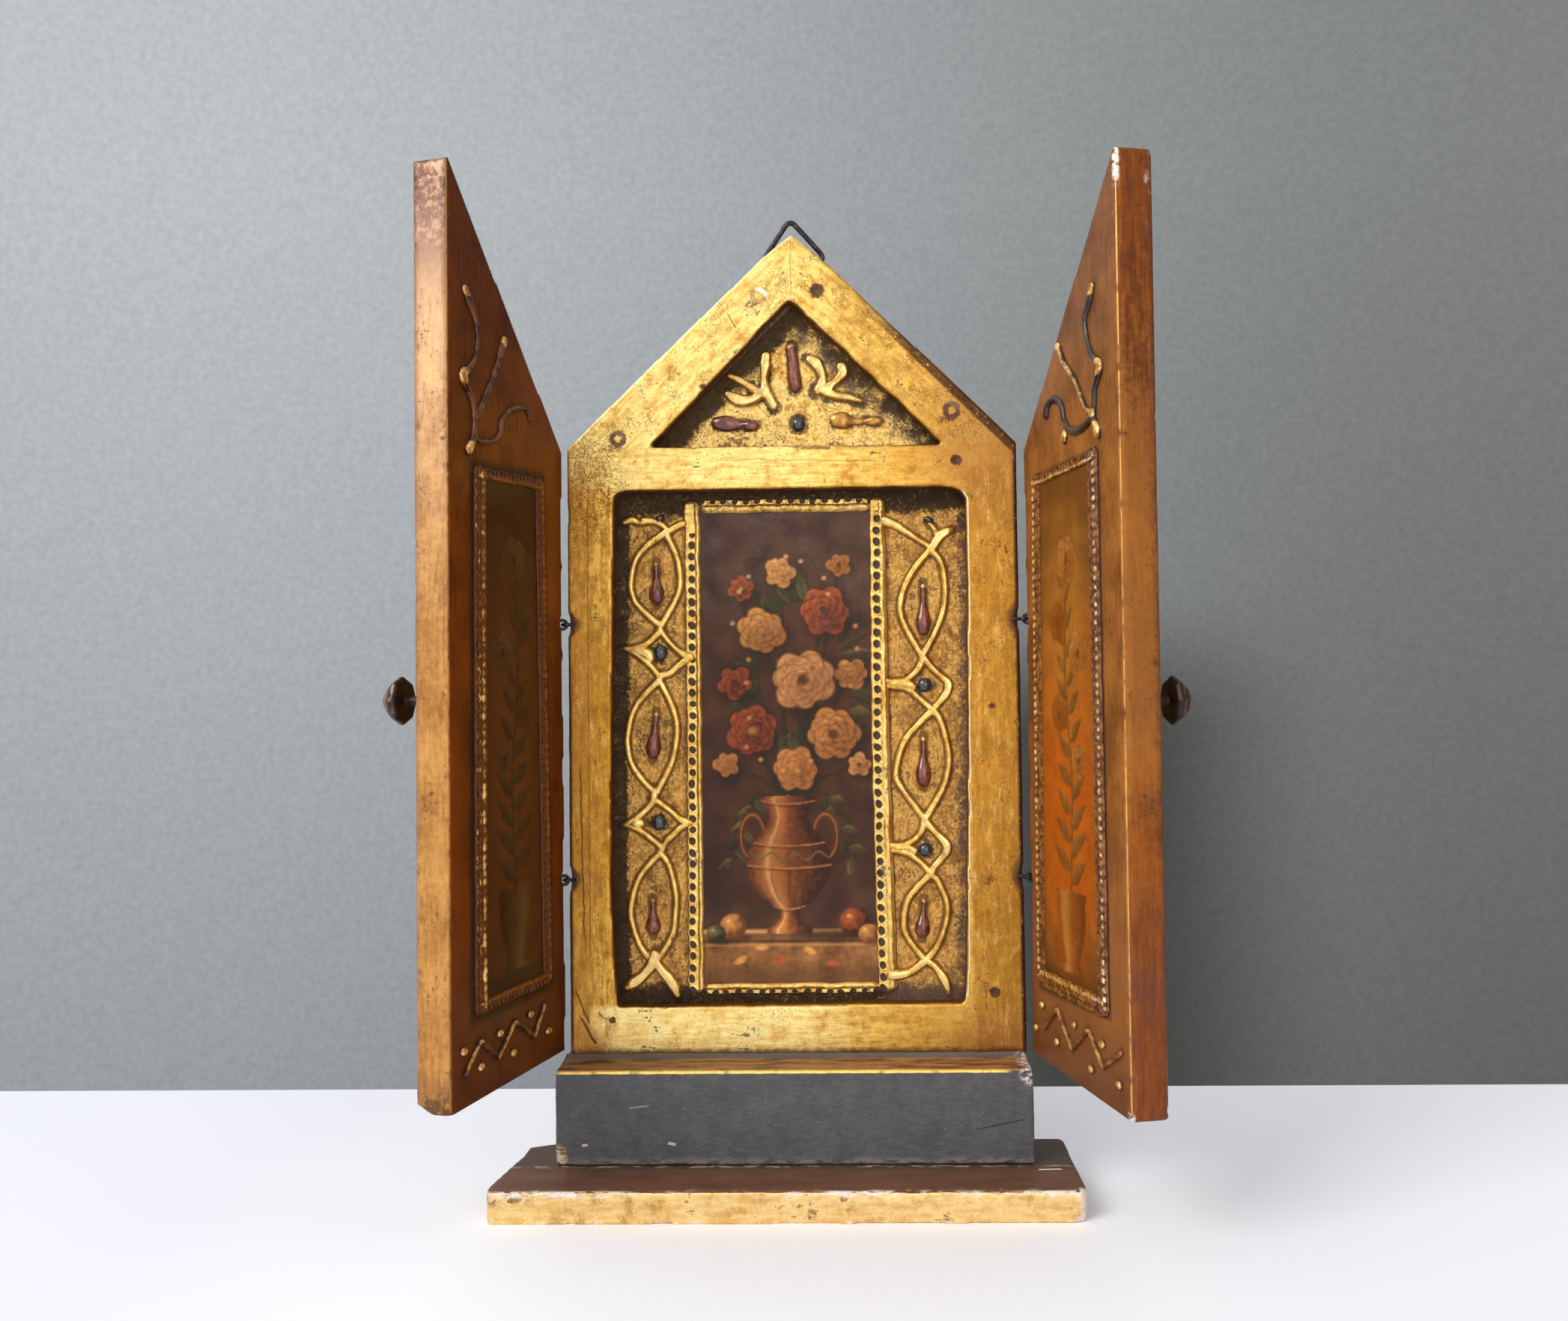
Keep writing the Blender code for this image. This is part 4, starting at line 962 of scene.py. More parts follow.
def round_bead(name, x, z, half, rise, tilt=0.0):
    bead, unit = ball(name, 24, 14)
    lift = np.maximum(-unit[:, 1] * rise, -0.15)
    lumps = 1 + 0.06 * uneven(unit + np.array((x, 0, z)), 1.2, 4)
    wide, tall = unit[:, 0] * half[0] * lumps, unit[:, 2] * half[1] * lumps
    c, s = math.cos(tilt), math.sin(tilt)
    set_points(bead, np.column_stack((x + wide * c - tall * s, GROUND - lift,
                                      z + LEDGE + wide * s + tall * c)))
    outward(bead)
    soften(bead)
    return bead


def red_glaze():
    p = Paint("red_glaze_on_gold")
    place = p.place()
    along, side = p.kept("along"), p.kept("side")
    gold, _, height = leafed(p, place, (0.8, 0.8, 0.8), 0.3, (0.90, 0.58, 0.16), (0.50, 0.24, 0.05))
    ragged = p.stray(place, 0.9, 0.3, 3.0)
    glazed = p.ramp(side + ragged * 0.5, 1.06, 0.97) * p.ramp(along + ragged * 0.3, 0.95, 0.88)
    amber = p.patches(place, 2.4, 0.40, 0.62, 2.0)
    glaze = p.blend(amber, (0.095, 0.016, 0.008), (0.215, 0.048, 0.014))
    glaze = p.blend(p.ramp(side, 0.55, 0.95) * 0.65, glaze, (0.035, 0.007, 0.004))
    rim = p.ramp(side, 0.93, 1.0) * p.ramp(along, 0.34, 0.14)
    colour = p.blend(glazed, gold, glaze)
    colour = p.blend(rim * 0.7, colour, (0.70, 0.40, 0.10))
    return p.done(0.5, base_color=colour, metallic=(1.0 - glazed) * 0.7, roughness=0.30 - glazed * 0.10,
                  coat_weight=glazed * 0.6, normal=p.bumped(height * (1.0 - glazed), 0.03))


def gold_drop():
    p = Paint("gilded_drop")
    place = p.place()
    gold, rubbed, height = leafed(p, place, (0.8, 0.8, 0.8), 0.3, (0.68, 0.38, 0.09), (0.34, 0.145, 0.028))
    side = p.kept("side")
    colour = p.blend(p.ramp(side, 0.84, 1.0) * 0.8, gold, UMBER)
    return p.done(base_color=colour, metallic=0.7 - rubbed * 0.5, roughness=0.3,
                  normal=p.bumped(height, 0.04))


def bead_glaze():
    p = Paint("blue_black_glaze")
    place = p.place()
    chipped = p.patches(place, 1.5, 0.60, 0.68, 4.0, 0.7)
    colour = p.blend(p.noise(place, 1.2, 3.0), (0.004, 0.006, 0.010), (0.018, 0.030, 0.046))
    colour = p.blend(chipped * 0.7, colour, (0.30, 0.17, 0.05))
    return p.done(base_color=colour, roughness=0.16 + chipped * 0.4, coat_weight=0.8 - chipped * 0.7)


def make_trails():
    gilding, ground, red, blue = piping_gilding(), ground_gilding(), red_glaze(), bead_glaze()
    make_end_grounds(ground)
    for side in ("left", "right"):
        make_ground(side, ground)
        vine = relief(f"{side}_piping", trail_lines(side), 1.0, GROUND, PIPE_HIGH + 0.1, RELIEF_GRAIN)
        dress(vine, gilding, "gilded_wood", "stand", f"{side}_vine")
        for i, (top, bottom) in enumerate(TRAILS[side]["drops"]):
            drop = teardrop(f"{side}_glazed_drop_{i + 1}", top, bottom, 4.3, GROUND, 1.75, 0.36, 0.76)
            dress(drop, red, "red_enamel", "stand", f"{side}_drop_{i + 1}")
        for i, (x, z, wide, tall, tilt) in enumerate(TRAILS[side]["beads"]):
            bead = round_bead(f"{side}_glazed_bead_{i + 1}", x, z, (wide, tall), 1.5, tilt)
            dress(bead, blue, "blue_enamel", "stand", f"{side}_bead_{i + 1}")


# ---------------------------------------------------------------- the gable's recess

SPRIGS = {
    "left": (((-6.5, 187.2, 1.4), (-6.7, 185.0, 1.35), (-7.0, 182.4, 1.0), (-7.0, 180.0, 1.0),
              (-6.6, 178.0, 1.35), (-5.6, 176.0, 1.35), (-4.6, 174.2, 1.2)),
             ((-16.4, 182.4, 0.7), (-13.6, 181.1, 0.9), (-11.0, 179.4, 0.95), (-8.4, 177.6, 1.25)),
             ((-16.8, 177.2, 1.05), (-14.8, 176.0, 1.55), (-12.4, 175.5, 1.4), (-9.8, 176.0, 1.1),
              (-8.2, 177.2, 1.25)),
             ((-8.8, 177.6, 1.2), (-7.0, 177.6, 1.4))),
    "right": (((5.9, 186.2, 1.45), (7.2, 185.2, 1.6), (8.3, 183.2, 1.25), (8.9, 181.2, 1.05),
               (8.6, 179.4, 1.25), (7.6, 178.0, 1.15)),
              ((14.1, 184.0, 1.4), (14.3, 182.4, 1.35), (12.6, 180.6, 1.0), (10.8, 179.0, 1.25),
               (10.2, 177.6, 1.3)),
              ((9.8, 177.5, 1.25), (12.8, 176.4, 1.0), (16.0, 175.9, 0.95), (19.2, 174.9, 0.55)),
              ((9.8, 178.4, 1.35), (8.0, 178.4, 1.3))),
}


def make_gable():
    lines = [thick(stroke)[0] for side in SPRIGS.values() for stroke in side]
    fuller = {side: [[(x, z, half * 1.22) for x, z, half in stroke] for stroke in strokes]
              for side, strokes in SPRIGS.items()}
    blobs = [[(0.6, 190.4), (1.1, 178.2)], [(-20.2, 169.4), (-9.6, 168.9)], [(11.8, 169.6), (24.0, 169.2)]]
    low_z, high_z, half = 161.4, 202.6, 42.0

    def shape(u, v):
        x, z = -half + 1.0 + 2 * half * u, low_z + (high_z - low_z) * v
        lumps = ripples(x * 0.4, z * 0.4, 8.0)
        return x, z + LEDGE, GROUND + 0.12 * lumps - 0.15 * fade(distance_to(lines + blobs, x, z), 0.9, 1.9)

    step = 0.32
    ground = slab("gable_ground", round(2 * half / step), round((high_z - low_z) / step), shape, BOARD - 0.02)
    edit()
    for sign in (-1, 1):
        bpy.ops.mesh.select_all(action="SELECT")
        foot = Vector((-39.6 if sign < 0 else 42.4, 0, 161.6 + LEDGE)) * MM
        normal = Vector((sign, 0, 1.02)).normalized()
        bpy.ops.mesh.bisect(plane_co=foot, plane_no=normal, clear_outer=True, use_fill=True)
    leave()
    points = points_of(ground)
    x, z = points[:, 0], points[:, 2] - LEDGE
    # Painted shadow along both rakes and the gable's foot, and painted shade with dirt beside the sprigs and
    # drops and round the bead
    rake_left = ((x + 38.3) * 39.4 - (z - 162.3) * 38.4) / math.hypot(39.4, 38.4)
    rake_right = ((41.0 - x) * 39.7 - (z - 162.0) * 40.9) / math.hypot(39.7, 40.9)
    shadow = np.maximum(fade(rake_left, 2.4, 9.0) * 1.6, fade(rake_right, 1.0, 11.0) * 1.15)
    shadow = np.maximum(shadow, fade(z - 162.2, 0.2, 1.6) * 0.8)
    near = fade(distance_to(lines + blobs, x, z), 1.3, 2.7) * 0.95
    bead = fade(np.hypot(x - 2.1, z - 168.9), 2.6, 3.6)
    keep_value(ground, "grime_and_shade", np.max([shadow, near, bead], axis=0) - 0.05)
    dress(ground, gable_leaf(), "gilded_ground", "stand")

    gilding = piping_gilding()
    for side, strokes in fuller.items():
        sprig = relief(f"{side}_sprig", [thick(stroke) for stroke in strokes], 1.0, GROUND, 1.4, RELIEF_GRAIN)
        dress(sprig, gilding, "gilded_wood", "stand", f"gable_sprig_{side}")
    red, gold = red_glaze(), gold_drop()
    centre = teardrop("gable_centre_drop", (0.1, 191.2), (1.7, 177.4), 3.9, GROUND, 1.7, 0.84, 0.80)
    dress(centre, red, "red_enamel", "stand", "gable_drop_centre")
    # Each drop at the sides has two lobes: top, bottom and width
    side_drops = (
        ("gable_left_drop", (((-16.0, 169.3), (-8.4, 168.4), 3.3), ((-9.6, 168.9), (-21.8, 169.7), 4.6)),
         red, "red_enamel", "gable_drop_left"),
        ("gable_right_drop", (((17.0, 169.2), (25.4, 169.5), 3.0), ((20.4, 169.3), (10.4, 170.0), 4.8)),
         gold, "gilded_wood", "gable_drop_right"))
    for name, parts, material, slot_name, node in side_drops:
        lobes = [teardrop("lobe", top, bottom, width, GROUND, 1.45, 0.42, 0.62)
                 for top, bottom, width in parts]
        dress(joined(name, lobes), material, slot_name, "stand", node)
    bead = round_bead("gable_glazed_bead", 2.1, 168.9, (2.1, 2.1), 1.9)
    dress(bead, bead_glaze(), "blue_enamel", "stand", "gable_bead")


def gable_leaf():
    p = Paint("crackled_pale_leaf")
    place = p.place()
    grime_and_shade = p.kept("grime_and_shade")
    colour, rubbed, height = leafed(p, place, (0.8, 1.0, 0.8), 0.8, (0.95, 0.68, 0.23), (0.52, 0.27, 0.05))
    net = p.cracks(p.warped(place, 2.4, 3.0), 1.3, 0.12) * p.patches(place, 2.6, 0.46, 0.60, 4.0, 0.7)
    colour = p.blend(net * 0.4, colour, (0.10, 0.055, 0.02))
    x, _, _ = p.axes(place)
    ragged = p.stray(place, 0.8, 2.0, 5.0, 0.78) + p.stray(place, 4.4, 2.4, 4.0)
    # Painted shade with dirt: dark along the rakes and beside the sprigs, greyer to the right
    dirt_and_shade = p.ramp(grime_and_shade + ragged, 0.26, 1.10)
    greyish = p.ramp(x, 0.0, 5.0) * p.ramp(grime_and_shade, 1.1, 0.7)
    colour = p.blend(dirt_and_shade * 0.95, colour, p.blend(greyish, (0.028, 0.012, 0.006), (0.095, 0.060, 0.045)))
    bare = p.most(rubbed, dirt_and_shade, net)
    return p.done(0.15, base_color=colour, metallic=0.75 - bare * 0.65, roughness=0.40 + bare * 0.25,
                  normal=p.bumped(height - net * 0.5, 0.16))


# ---------------------------------------------------------------- the picture's punched border

PITCH = 3.07


def band_shape(start, end, width, holes, profile, hole_size=0.62, base=GROUND, facing=-1, to_height=LEDGE,
               seed=0.0, pitch=PITCH, skip=0.0, sway=(0.0,), beaded=0.0):
    """A raised band from start to end; profile gives its rise across, from 0 on its left to 1 on its right.

    Width, the place of the punch marks across, and sway list values spaced evenly along the run.
    """
    a, b = Vector(start), Vector(end)
    length = (b - a).length
    along = (b - a) / length
    across = Vector((along.y, -along.x))

    def spread(values, v):
        return np.interp(v, np.linspace(0, 1, len(values)), values) if len(values) > 1 else values[0] + 0 * v

    def shape(u, v):
        s = length * v
        wander = ripples(s * 0.16, seed, 0.0)
        to_end = np.minimum(s, length - s)
        wide = spread(width, v) * (1 - 0.35 * fade(to_end, 0.0, 1.8))
        side = (u - 0.5) * wide + 0.32 * wander + spread(sway, v)
        x = a.x + along.x * s + across.x * side
        z = a.y + along.y * s + across.y * side
        lumps = ripples(s * 0.55, seed + 9.0, u * 1.6)
        rise = profile(u) * (1 + 0.09 * wander + 0.22 * lumps) * (1 - 0.8 * fade(to_end, 0.1, 1.5) ** 2)
        rise = rise * (1 - beaded * np.cos(math.pi * (s / pitch - 0.5)) ** 4)
        which = np.round(s / pitch)
        jitter = ripples(which * 1.7, seed + 4.0, 0.0)
        other = ripples(which * 2.3, seed + 8.0, 3.0)
        off_s = s - which * pitch - 0.45 * jitter
        off_u = (u - spread(holes, v)) * wide - 0.3 * other
        lean = off_u + off_s * 0.35 * (jitter + 0.3)
        r = np.hypot(off_s / (1.25 + 0.5 * other), lean / (1.0 + 0.3 * jitter))
        marked = (s > skip).astype(float)
        pit = fade(r, hole_size * 0.80, hole_size * 1.10) * marked
        rim = np.exp(-((r - hole_size * 1.32) / 0.22) ** 2) * marked
        rise = rise * (1 - 0.88 * pit) + 0.14 * rim
        return x, z + to_height, base + facing * rise

    return shape, length


def flat_and_bead(bead_start, bead_end, flat=0.62, top=1.12):
    """A flat strip with a rounded bead between two fractions of the width."""
    def profile(u):
        t = np.clip((u - bead_start) / (bead_end - bead_start), 0, 1)
        bead = np.sin(math.pi * t) ** 0.6 * top
        strip = flat * np.minimum(fade(u, 0.93, 1.0), 1 - fade(u, 0.0, 0.07))
        return np.maximum(bead, strip)
    return profile


def make_border():
    """Four punched bands round the picture."""
    # The first two run downwards, so their left is the viewer's right
    bands = (
        ((-26.95, 148.6), (-26.95, 15.9), (4.5,), (0.54, 0.60, 0.68, 0.76), (0.0, 0.41), 0.80, 9.0,
         (0.0,), 0.62),
        ((23.1, 148.9), (24.3, 15.9), (4.3, 5.3, 5.4), (0.54, 0.68, 0.76), (0.04, 0.54), 0.82, 4.0,
         (0.0, 0.5, 0.0), 0.66),
        ((21.4, 146.7), (-25.0, 146.8), (3.9,), (0.86,), (0.04, 0.66), 0.66, 0.0, (0.0,), 0.5),
        ((-25.0, 17.1), (22.0, 17.3), (3.1,), (0.84,), (0.0, 0.66), 0.64, 0.0, (0.0,), 0.5),
    )
    step = 0.2
    members = []
    for seed, (start, end, width, holes, bead, size, skip, sway, flat) in enumerate(bands):
        shape, length = band_shape(start, end, width, holes, flat_and_bead(*bead, flat), size,
                                   seed=seed + 1.0, skip=skip, sway=sway)
        members.append(slab("member", round(max(width) / step), round(length / step), shape, BOARD - 0.05))
    border = joined("punched_border", members)
    points = points_of(border)
    keep_value(border, "rise", np.clip((GROUND - points[:, 1]) / PIPE_HIGH, 0, 1.4))
    dress(border, border_gilding(), "gilded_wood", "stand", "picture_border")


def border_gilding():
    p = Paint("punched_gilding")
    place = p.place()
    x, _, z = p.axes(place)
    rise = p.kept("rise")
    colour, rubbed, height = leafed(p, place, (1.0, 1.0, 0.25), 0.45, (0.96, 0.66, 0.20), (0.66, 0.37, 0.075))
    # Punch holes and the foot of each band go near-black: painted shade with dirt
    dirt_and_shade = p.ramp(rise + p.stray(place, 0.9, 0.22, 4.0, 0.65), 0.42, 0.20)
    shade = p.ramp(z - LEDGE, 139.0, 148.0)
    colour = p.blend(shade * p.patches(place, 1.3, 0.40, 0.60, 4.0, 0.7) * 0.75, colour, (0.20, 0.08, 0.03))
    outer = p.ramp(x, 24.4, 25.8)
    colour = p.blend(outer * 0.35, colour, (0.42, 0.20, 0.035))
    colour = p.blend(dirt_and_shade * 0.97, colour, (0.022, 0.012, 0.014))
    bare = p.most(rubbed, dirt_and_shade)
    return p.done(base_color=colour, metallic=0.82 - bare * 0.7, roughness=0.30 + bare * 0.3,
                  normal=p.bumped(height, 0.07))


# ---------------------------------------------------------------- the small paintings

class Canvas:
    """Colours laid over a sheet's points, one soft shape on another."""

    def __init__(self, x, z, ground):
        self.x, self.z = x, z
        self.colour = np.tile(np.array(ground, float), (len(x), 1))
        self.grain = ripples(x * 0.7, z * 0.7, 1.0)
        self.coarse = ripples(x * 0.16, z * 0.16, 5.0)

    def near(self, centre, reach):
        """The part of the canvas round a centre, and where it lies."""
        where = np.flatnonzero(np.hypot(self.x - centre[0], self.z - centre[1]) < reach)
        part = Canvas.__new__(Canvas)
        part.x, part.z, part.colour = self.x[where], self.z[where], self.colour[where]
        part.grain, part.coarse = self.grain[where], self.coarse[where]
        return part, where

    def lay(self, mask, colour, strength=1.0):
        mask = (np.clip(mask, 0, 1) * strength)[:, None]
        self.colour = self.colour * (1 - mask) + np.asarray(colour, float) * mask

    def shaded(self, mask, dark, light, amount, strength=1.0):
        amount = np.clip(amount + 0.22 * self.grain, 0, 1)[:, None]
        self.lay(mask, np.asarray(dark) * (1 - amount) + np.asarray(light) * amount, strength)

    def turned(self, centre, angle):
        dx, dz = self.x - centre[0], self.z - centre[1]
        c, s = math.cos(angle), math.sin(angle)
        return dx * c + dz * s, -dx * s + dz * c

    def disc(self, centre, radii, angle=0.0, soft=0.25):
        a, b = self.turned(centre, angle)
        return fade(np.hypot(a / radii[0], b / radii[1]), 1 - soft, 1 + soft)

    def leaf(self, root, length, width, angle, dark, light):
        """A pointed leaf with a midrib, lit on its upper half."""
        part, where = self.near(root, length + 1.5)
        a, b = part.turned(root, angle)
        t = np.clip(a / length, 0, 1)
        half = width * np.sin(math.pi * t ** 0.8) * (1 - 0.35 * t)
        off = b - 0.6 * np.sin(t * 2.4) - 0.3 * part.grain
        inside = fade(np.abs(off), half - 0.25, half + 0.3) * (a > 0) * (a < length)
        lit = 0.40 + 0.45 * off / (half + 0.2) * math.cos(angle - 0.6) + 0.2 * part.coarse
        part.shaded(inside, dark, light, lit, 0.92)
        part.lay(fade(np.abs(off), 0.0, 0.28) * (a > 0) * (a < length * 0.93), dark, 0.5)
        self.colour[where] = part.colour

    def flower(self, centre, size, petals, dark, light, heart, turn, layers, squash=0.92):
        """Rings of overlapping petals round a heart, lit from the upper left."""
        part, where = self.near(centre, size * 1.5)
        for k in range(layers):
            share = 1 - k / layers
            for j in range(petals):
                angle = turn + 2 * math.pi * j / petals + 0.62 * k + 0.12 * math.sin(j * 2.3 + turn)
                reach = size * (0.58 * share - 0.02 * math.sin(j * 1.9 + k))
                wide = size * (0.20 + 0.24 * share) * (1 + 0.12 * math.sin(j * 3.7 + turn + k))
                root = (centre[0] + reach * math.cos(angle), centre[1] + squash * reach * math.sin(angle))
                a, b = part.turned(root, angle)
                r = np.hypot(a / wide, b / (wide * 0.92)) + 0.07 * part.grain
                lit = 0.5 + 0.5 * math.cos(angle - 2.3)
                part.shaded(fade(r, 0.88, 1.02), dark, light,
                            0.10 + 0.34 * a / wide + 0.36 * lit + 0.10 * share - 0.10 * b / wide, 0.96)
                part.lay(fade(np.abs(r - 0.99), 0.03, 0.12), dark, 0.42)
        part.lay(part.disc(centre, (size * 0.17, size * 0.15), soft=0.5), heart, 0.9)
        self.colour[where] = part.colour

    def stem(self, points, width, dark, light):
        near = distance_to([smooth(points, 5)], self.x, self.z)
        self.lay(fade(near, width * 0.5, width), dark, 0.9)
        self.lay(fade(near, 0.0, width * 0.45), light, 0.6)

    def turned_form(self, profile, centre, dark, middle, light, gleam):
        """A vase or pot: half widths at heights, shaded round."""
        half = np.interp(self.z, [z for z, _ in profile], [w for _, w in profile], left=0, right=0)
        across = (self.x - centre) / np.maximum(half, 0.01)
        inside = fade(np.abs(self.x - centre), half - 0.25, half + 0.25) * (half > 0.05)
        self.shaded(inside, dark, middle, 1 - np.abs(across + 0.35) / 1.15)
        self.lay(inside * fade(np.abs(across + 0.45), 0.05, 0.5), light, 0.55)
        self.lay(inside * fade(np.abs(across + 0.52), 0.0, 0.12), gleam, 0.4)
        return inside, across


OLIVE_DARK, OLIVE, OLIVE_LIGHT = (0.022, 0.022, 0.009), (0.075, 0.070, 0.022), (0.20, 0.19, 0.075)
OCHRE_DARK, OCHRE, OCHRE_LIGHT = (0.13, 0.042, 0.009), (0.46, 0.20, 0.042), (0.66, 0.37, 0.12)
RED_DARK, RED_LIGHT = (0.045, 0.008, 0.004), (0.42, 0.115, 0.036)
CREAM_DARK, CREAM = (0.20, 0.085, 0.030), (0.74, 0.48, 0.24)
URN_MOUTH = (-1.8, 67.0)
# Centre, size, petals and the two tones of each
FLOWERS = (
    ((-3.4, 128.6), 4.4, 5, CREAM_DARK, OCHRE_LIGHT), ((12.6, 130.5), 3.4, 5, OCHRE_DARK, OCHRE),
    ((-14.0, 124.4), 3.6, 6, RED_DARK, RED_LIGHT), ((8.6, 118.0), 7.0, 6, RED_DARK, RED_LIGHT),
    ((-8.6, 113.0), 6.6, 6, OCHRE_DARK, OCHRE_LIGHT), ((-16.0, 99.0), 4.9, 5, RED_DARK, RED_LIGHT),
    ((15.4, 101.0), 4.6, 6, OCHRE_DARK, OCHRE_LIGHT), ((2.6, 99.6), 8.6, 7, CREAM_DARK, CREAM),
    ((-11.4, 86.0), 7.2, 6, RED_DARK, RED_LIGHT), ((10.6, 85.0), 7.4, 6, OCHRE_DARK, OCHRE_LIGHT),
    ((-18.4, 77.0), 3.6, 5, CREAM_DARK, OCHRE_LIGHT), ((17.4, 76.6), 3.4, 5, CREAM_DARK, CREAM),
    ((0.2, 75.6), 6.2, 6, CREAM_DARK, OCHRE_LIGHT),
)


def paint_shelf(c):
    """A shelf of stone with a moulded edge."""
    shelf = fade(c.z, 32.4, 33.2)
    c.shaded(shelf, (0.13, 0.058, 0.020), (0.34, 0.185, 0.075), 0.45 + 0.5 * c.coarse)
    c.lay(fade(np.abs(c.z - 32.2), 0.2, 0.8), (0.60, 0.38, 0.17), 0.75)
    c.lay(fade(np.abs(c.z - 29.6), 0.1, 0.5), (0.040, 0.018, 0.008), 0.8)
    c.lay(fade(np.abs(c.z - 28.6), 0.1, 0.6), (0.46, 0.27, 0.11), 0.6)
    c.lay(fade(c.z, 21.0, 27.0), (0.085, 0.038, 0.014), 0.75)
    c.lay(c.disc((10.0, 31.2), (16.0, 1.7), soft=0.7), (0.030, 0.014, 0.008), 0.85)


def paint_flowers(c):
    """Stems, leaves, the flowers over them and small buds."""
    for i, (centre, *_) in enumerate(FLOWERS):
        bow = (URN_MOUTH[0] * 0.5 + centre[0] * 0.5 + 2.0 * math.sin(i * 2.1),
               URN_MOUTH[1] * 0.45 + centre[1] * 0.55)
        c.stem([URN_MOUTH, bow, centre], 0.6, OLIVE_DARK, OLIVE)
    for i in range(120):
        angle = -0.35 + GOLDEN_ANGLE * i
        reach = 4.0 + 19.0 * ((i * 0.618) % 1.0)
        root = (-0.5 + reach * 0.70 * math.cos(angle), 96.0 + 1.42 * reach * math.sin(angle))
        if root[1] < 69.0:
            root = (root[0], 71.0 + 0.3 * (root[1] - 60.0))
        shade = OLIVE_LIGHT if i % 4 == 0 else OLIVE
        c.leaf(root, 6.8 + 2.6 * math.sin(i * 1.7), 1.5 + 0.5 * math.cos(i),
               angle + 0.5 * math.sin(i * 3.1), OLIVE_DARK, shade)
    for i, (centre, size, petals, dark, light) in enumerate(FLOWERS):
        c.lay(c.disc((centre[0] + 0.9, centre[1] - 1.3), (size * 1.1, size), soft=0.4),
              (0.012, 0.007, 0.004), 0.6)
        c.flower(centre, size, petals, dark, light, (0.085, 0.034, 0.008) if i % 2 else (0.46, 0.24, 0.05),
                 i * 0.7, 5 if size > 5 else 3)
    for i in range(22):
        angle = i * GOLDEN_ANGLE
        centre = (-1.0 + 20.0 * math.cos(angle) * (0.75 + 0.2 * math.sin(i)), 104.0 + 29.0 * math.sin(angle))
        c.lay(c.disc(centre, (0.62, 0.55), soft=0.5), CREAM, 0.6)


def paint_urn(c):
    """The urn, between two trailing sprays."""
    for side in (-1, 1):
        c.stem([URN_MOUTH, (side * 9.0 - 1.0, 69.0), (side * 15.0 - 1.0, 62.0), (side * 16.0, 52.0)], 0.5,
               OLIVE_DARK, OLIVE)
        for k in range(9):
            t = k / 8
            root = (side * (9.0 + 7.0 * t) - 1.0, 68.6 - 17.0 * t ** 1.3)
            c.leaf(root, 5.0, 1.35, -1.2 * side + (0.9 if k % 2 else -0.7) + (math.pi if side < 0 else 0),
                   OLIVE_DARK, OLIVE_LIGHT if k % 3 else OLIVE)
    urn = ((31.6, 6.0), (32.8, 6.2), (33.4, 4.8), (35.6, 2.7), (37.6, 2.5), (38.4, 3.6), (41.4, 7.4),
           (45.5, 10.3), (50.0, 11.4), (54.0, 10.8), (57.5, 8.6), (60.0, 6.2), (62.8, 5.1), (65.2, 5.8),
           (67.2, 7.5), (68.2, 7.6), (68.6, 0.0))
    for side in (-1, 1):
        ring = np.hypot((c.x - (URN_MOUTH[0] + side * 9.8)) / 3.0, (c.z - 57.6) / 5.6)
        c.lay(fade(np.abs(ring - 1.0), 0.12, 0.30), (0.10, 0.034, 0.011))
        c.lay(fade(np.abs(ring - 1.05), 0.02, 0.10), (0.46, 0.22, 0.075), 0.7)
    inside, across = c.turned_form(urn, URN_MOUTH[0], (0.045, 0.014, 0.006), (0.27, 0.095, 0.026),
                                   (0.56, 0.29, 0.095), (0.84, 0.64, 0.36))
    bowed = c.z - 0.9 * across ** 2
    c.lay(inside * fade(np.abs(np.sin(across * 7.0)), 0.0, 0.35) * fade(np.abs(c.z - 43.5), 3.5, 5.2),
          (0.055, 0.017, 0.006), 0.5)
    for height, half in ((49.0, 0.45), (55.0, 0.35), (38.0, 0.4), (66.2, 0.4)):
        c.lay(inside * fade(np.abs(bowed - height), half * 0.4, half), (0.52, 0.29, 0.09), 0.6)
        c.lay(inside * fade(np.abs(bowed - height + 0.55), 0.1, 0.4), (0.045, 0.014, 0.006), 0.6)
    c.lay(inside * fade(np.abs(bowed - 52.0 - 1.0 * np.sin(across * 11.0)), 0.2, 0.5),
          (0.16, 0.16, 0.055), 0.8)


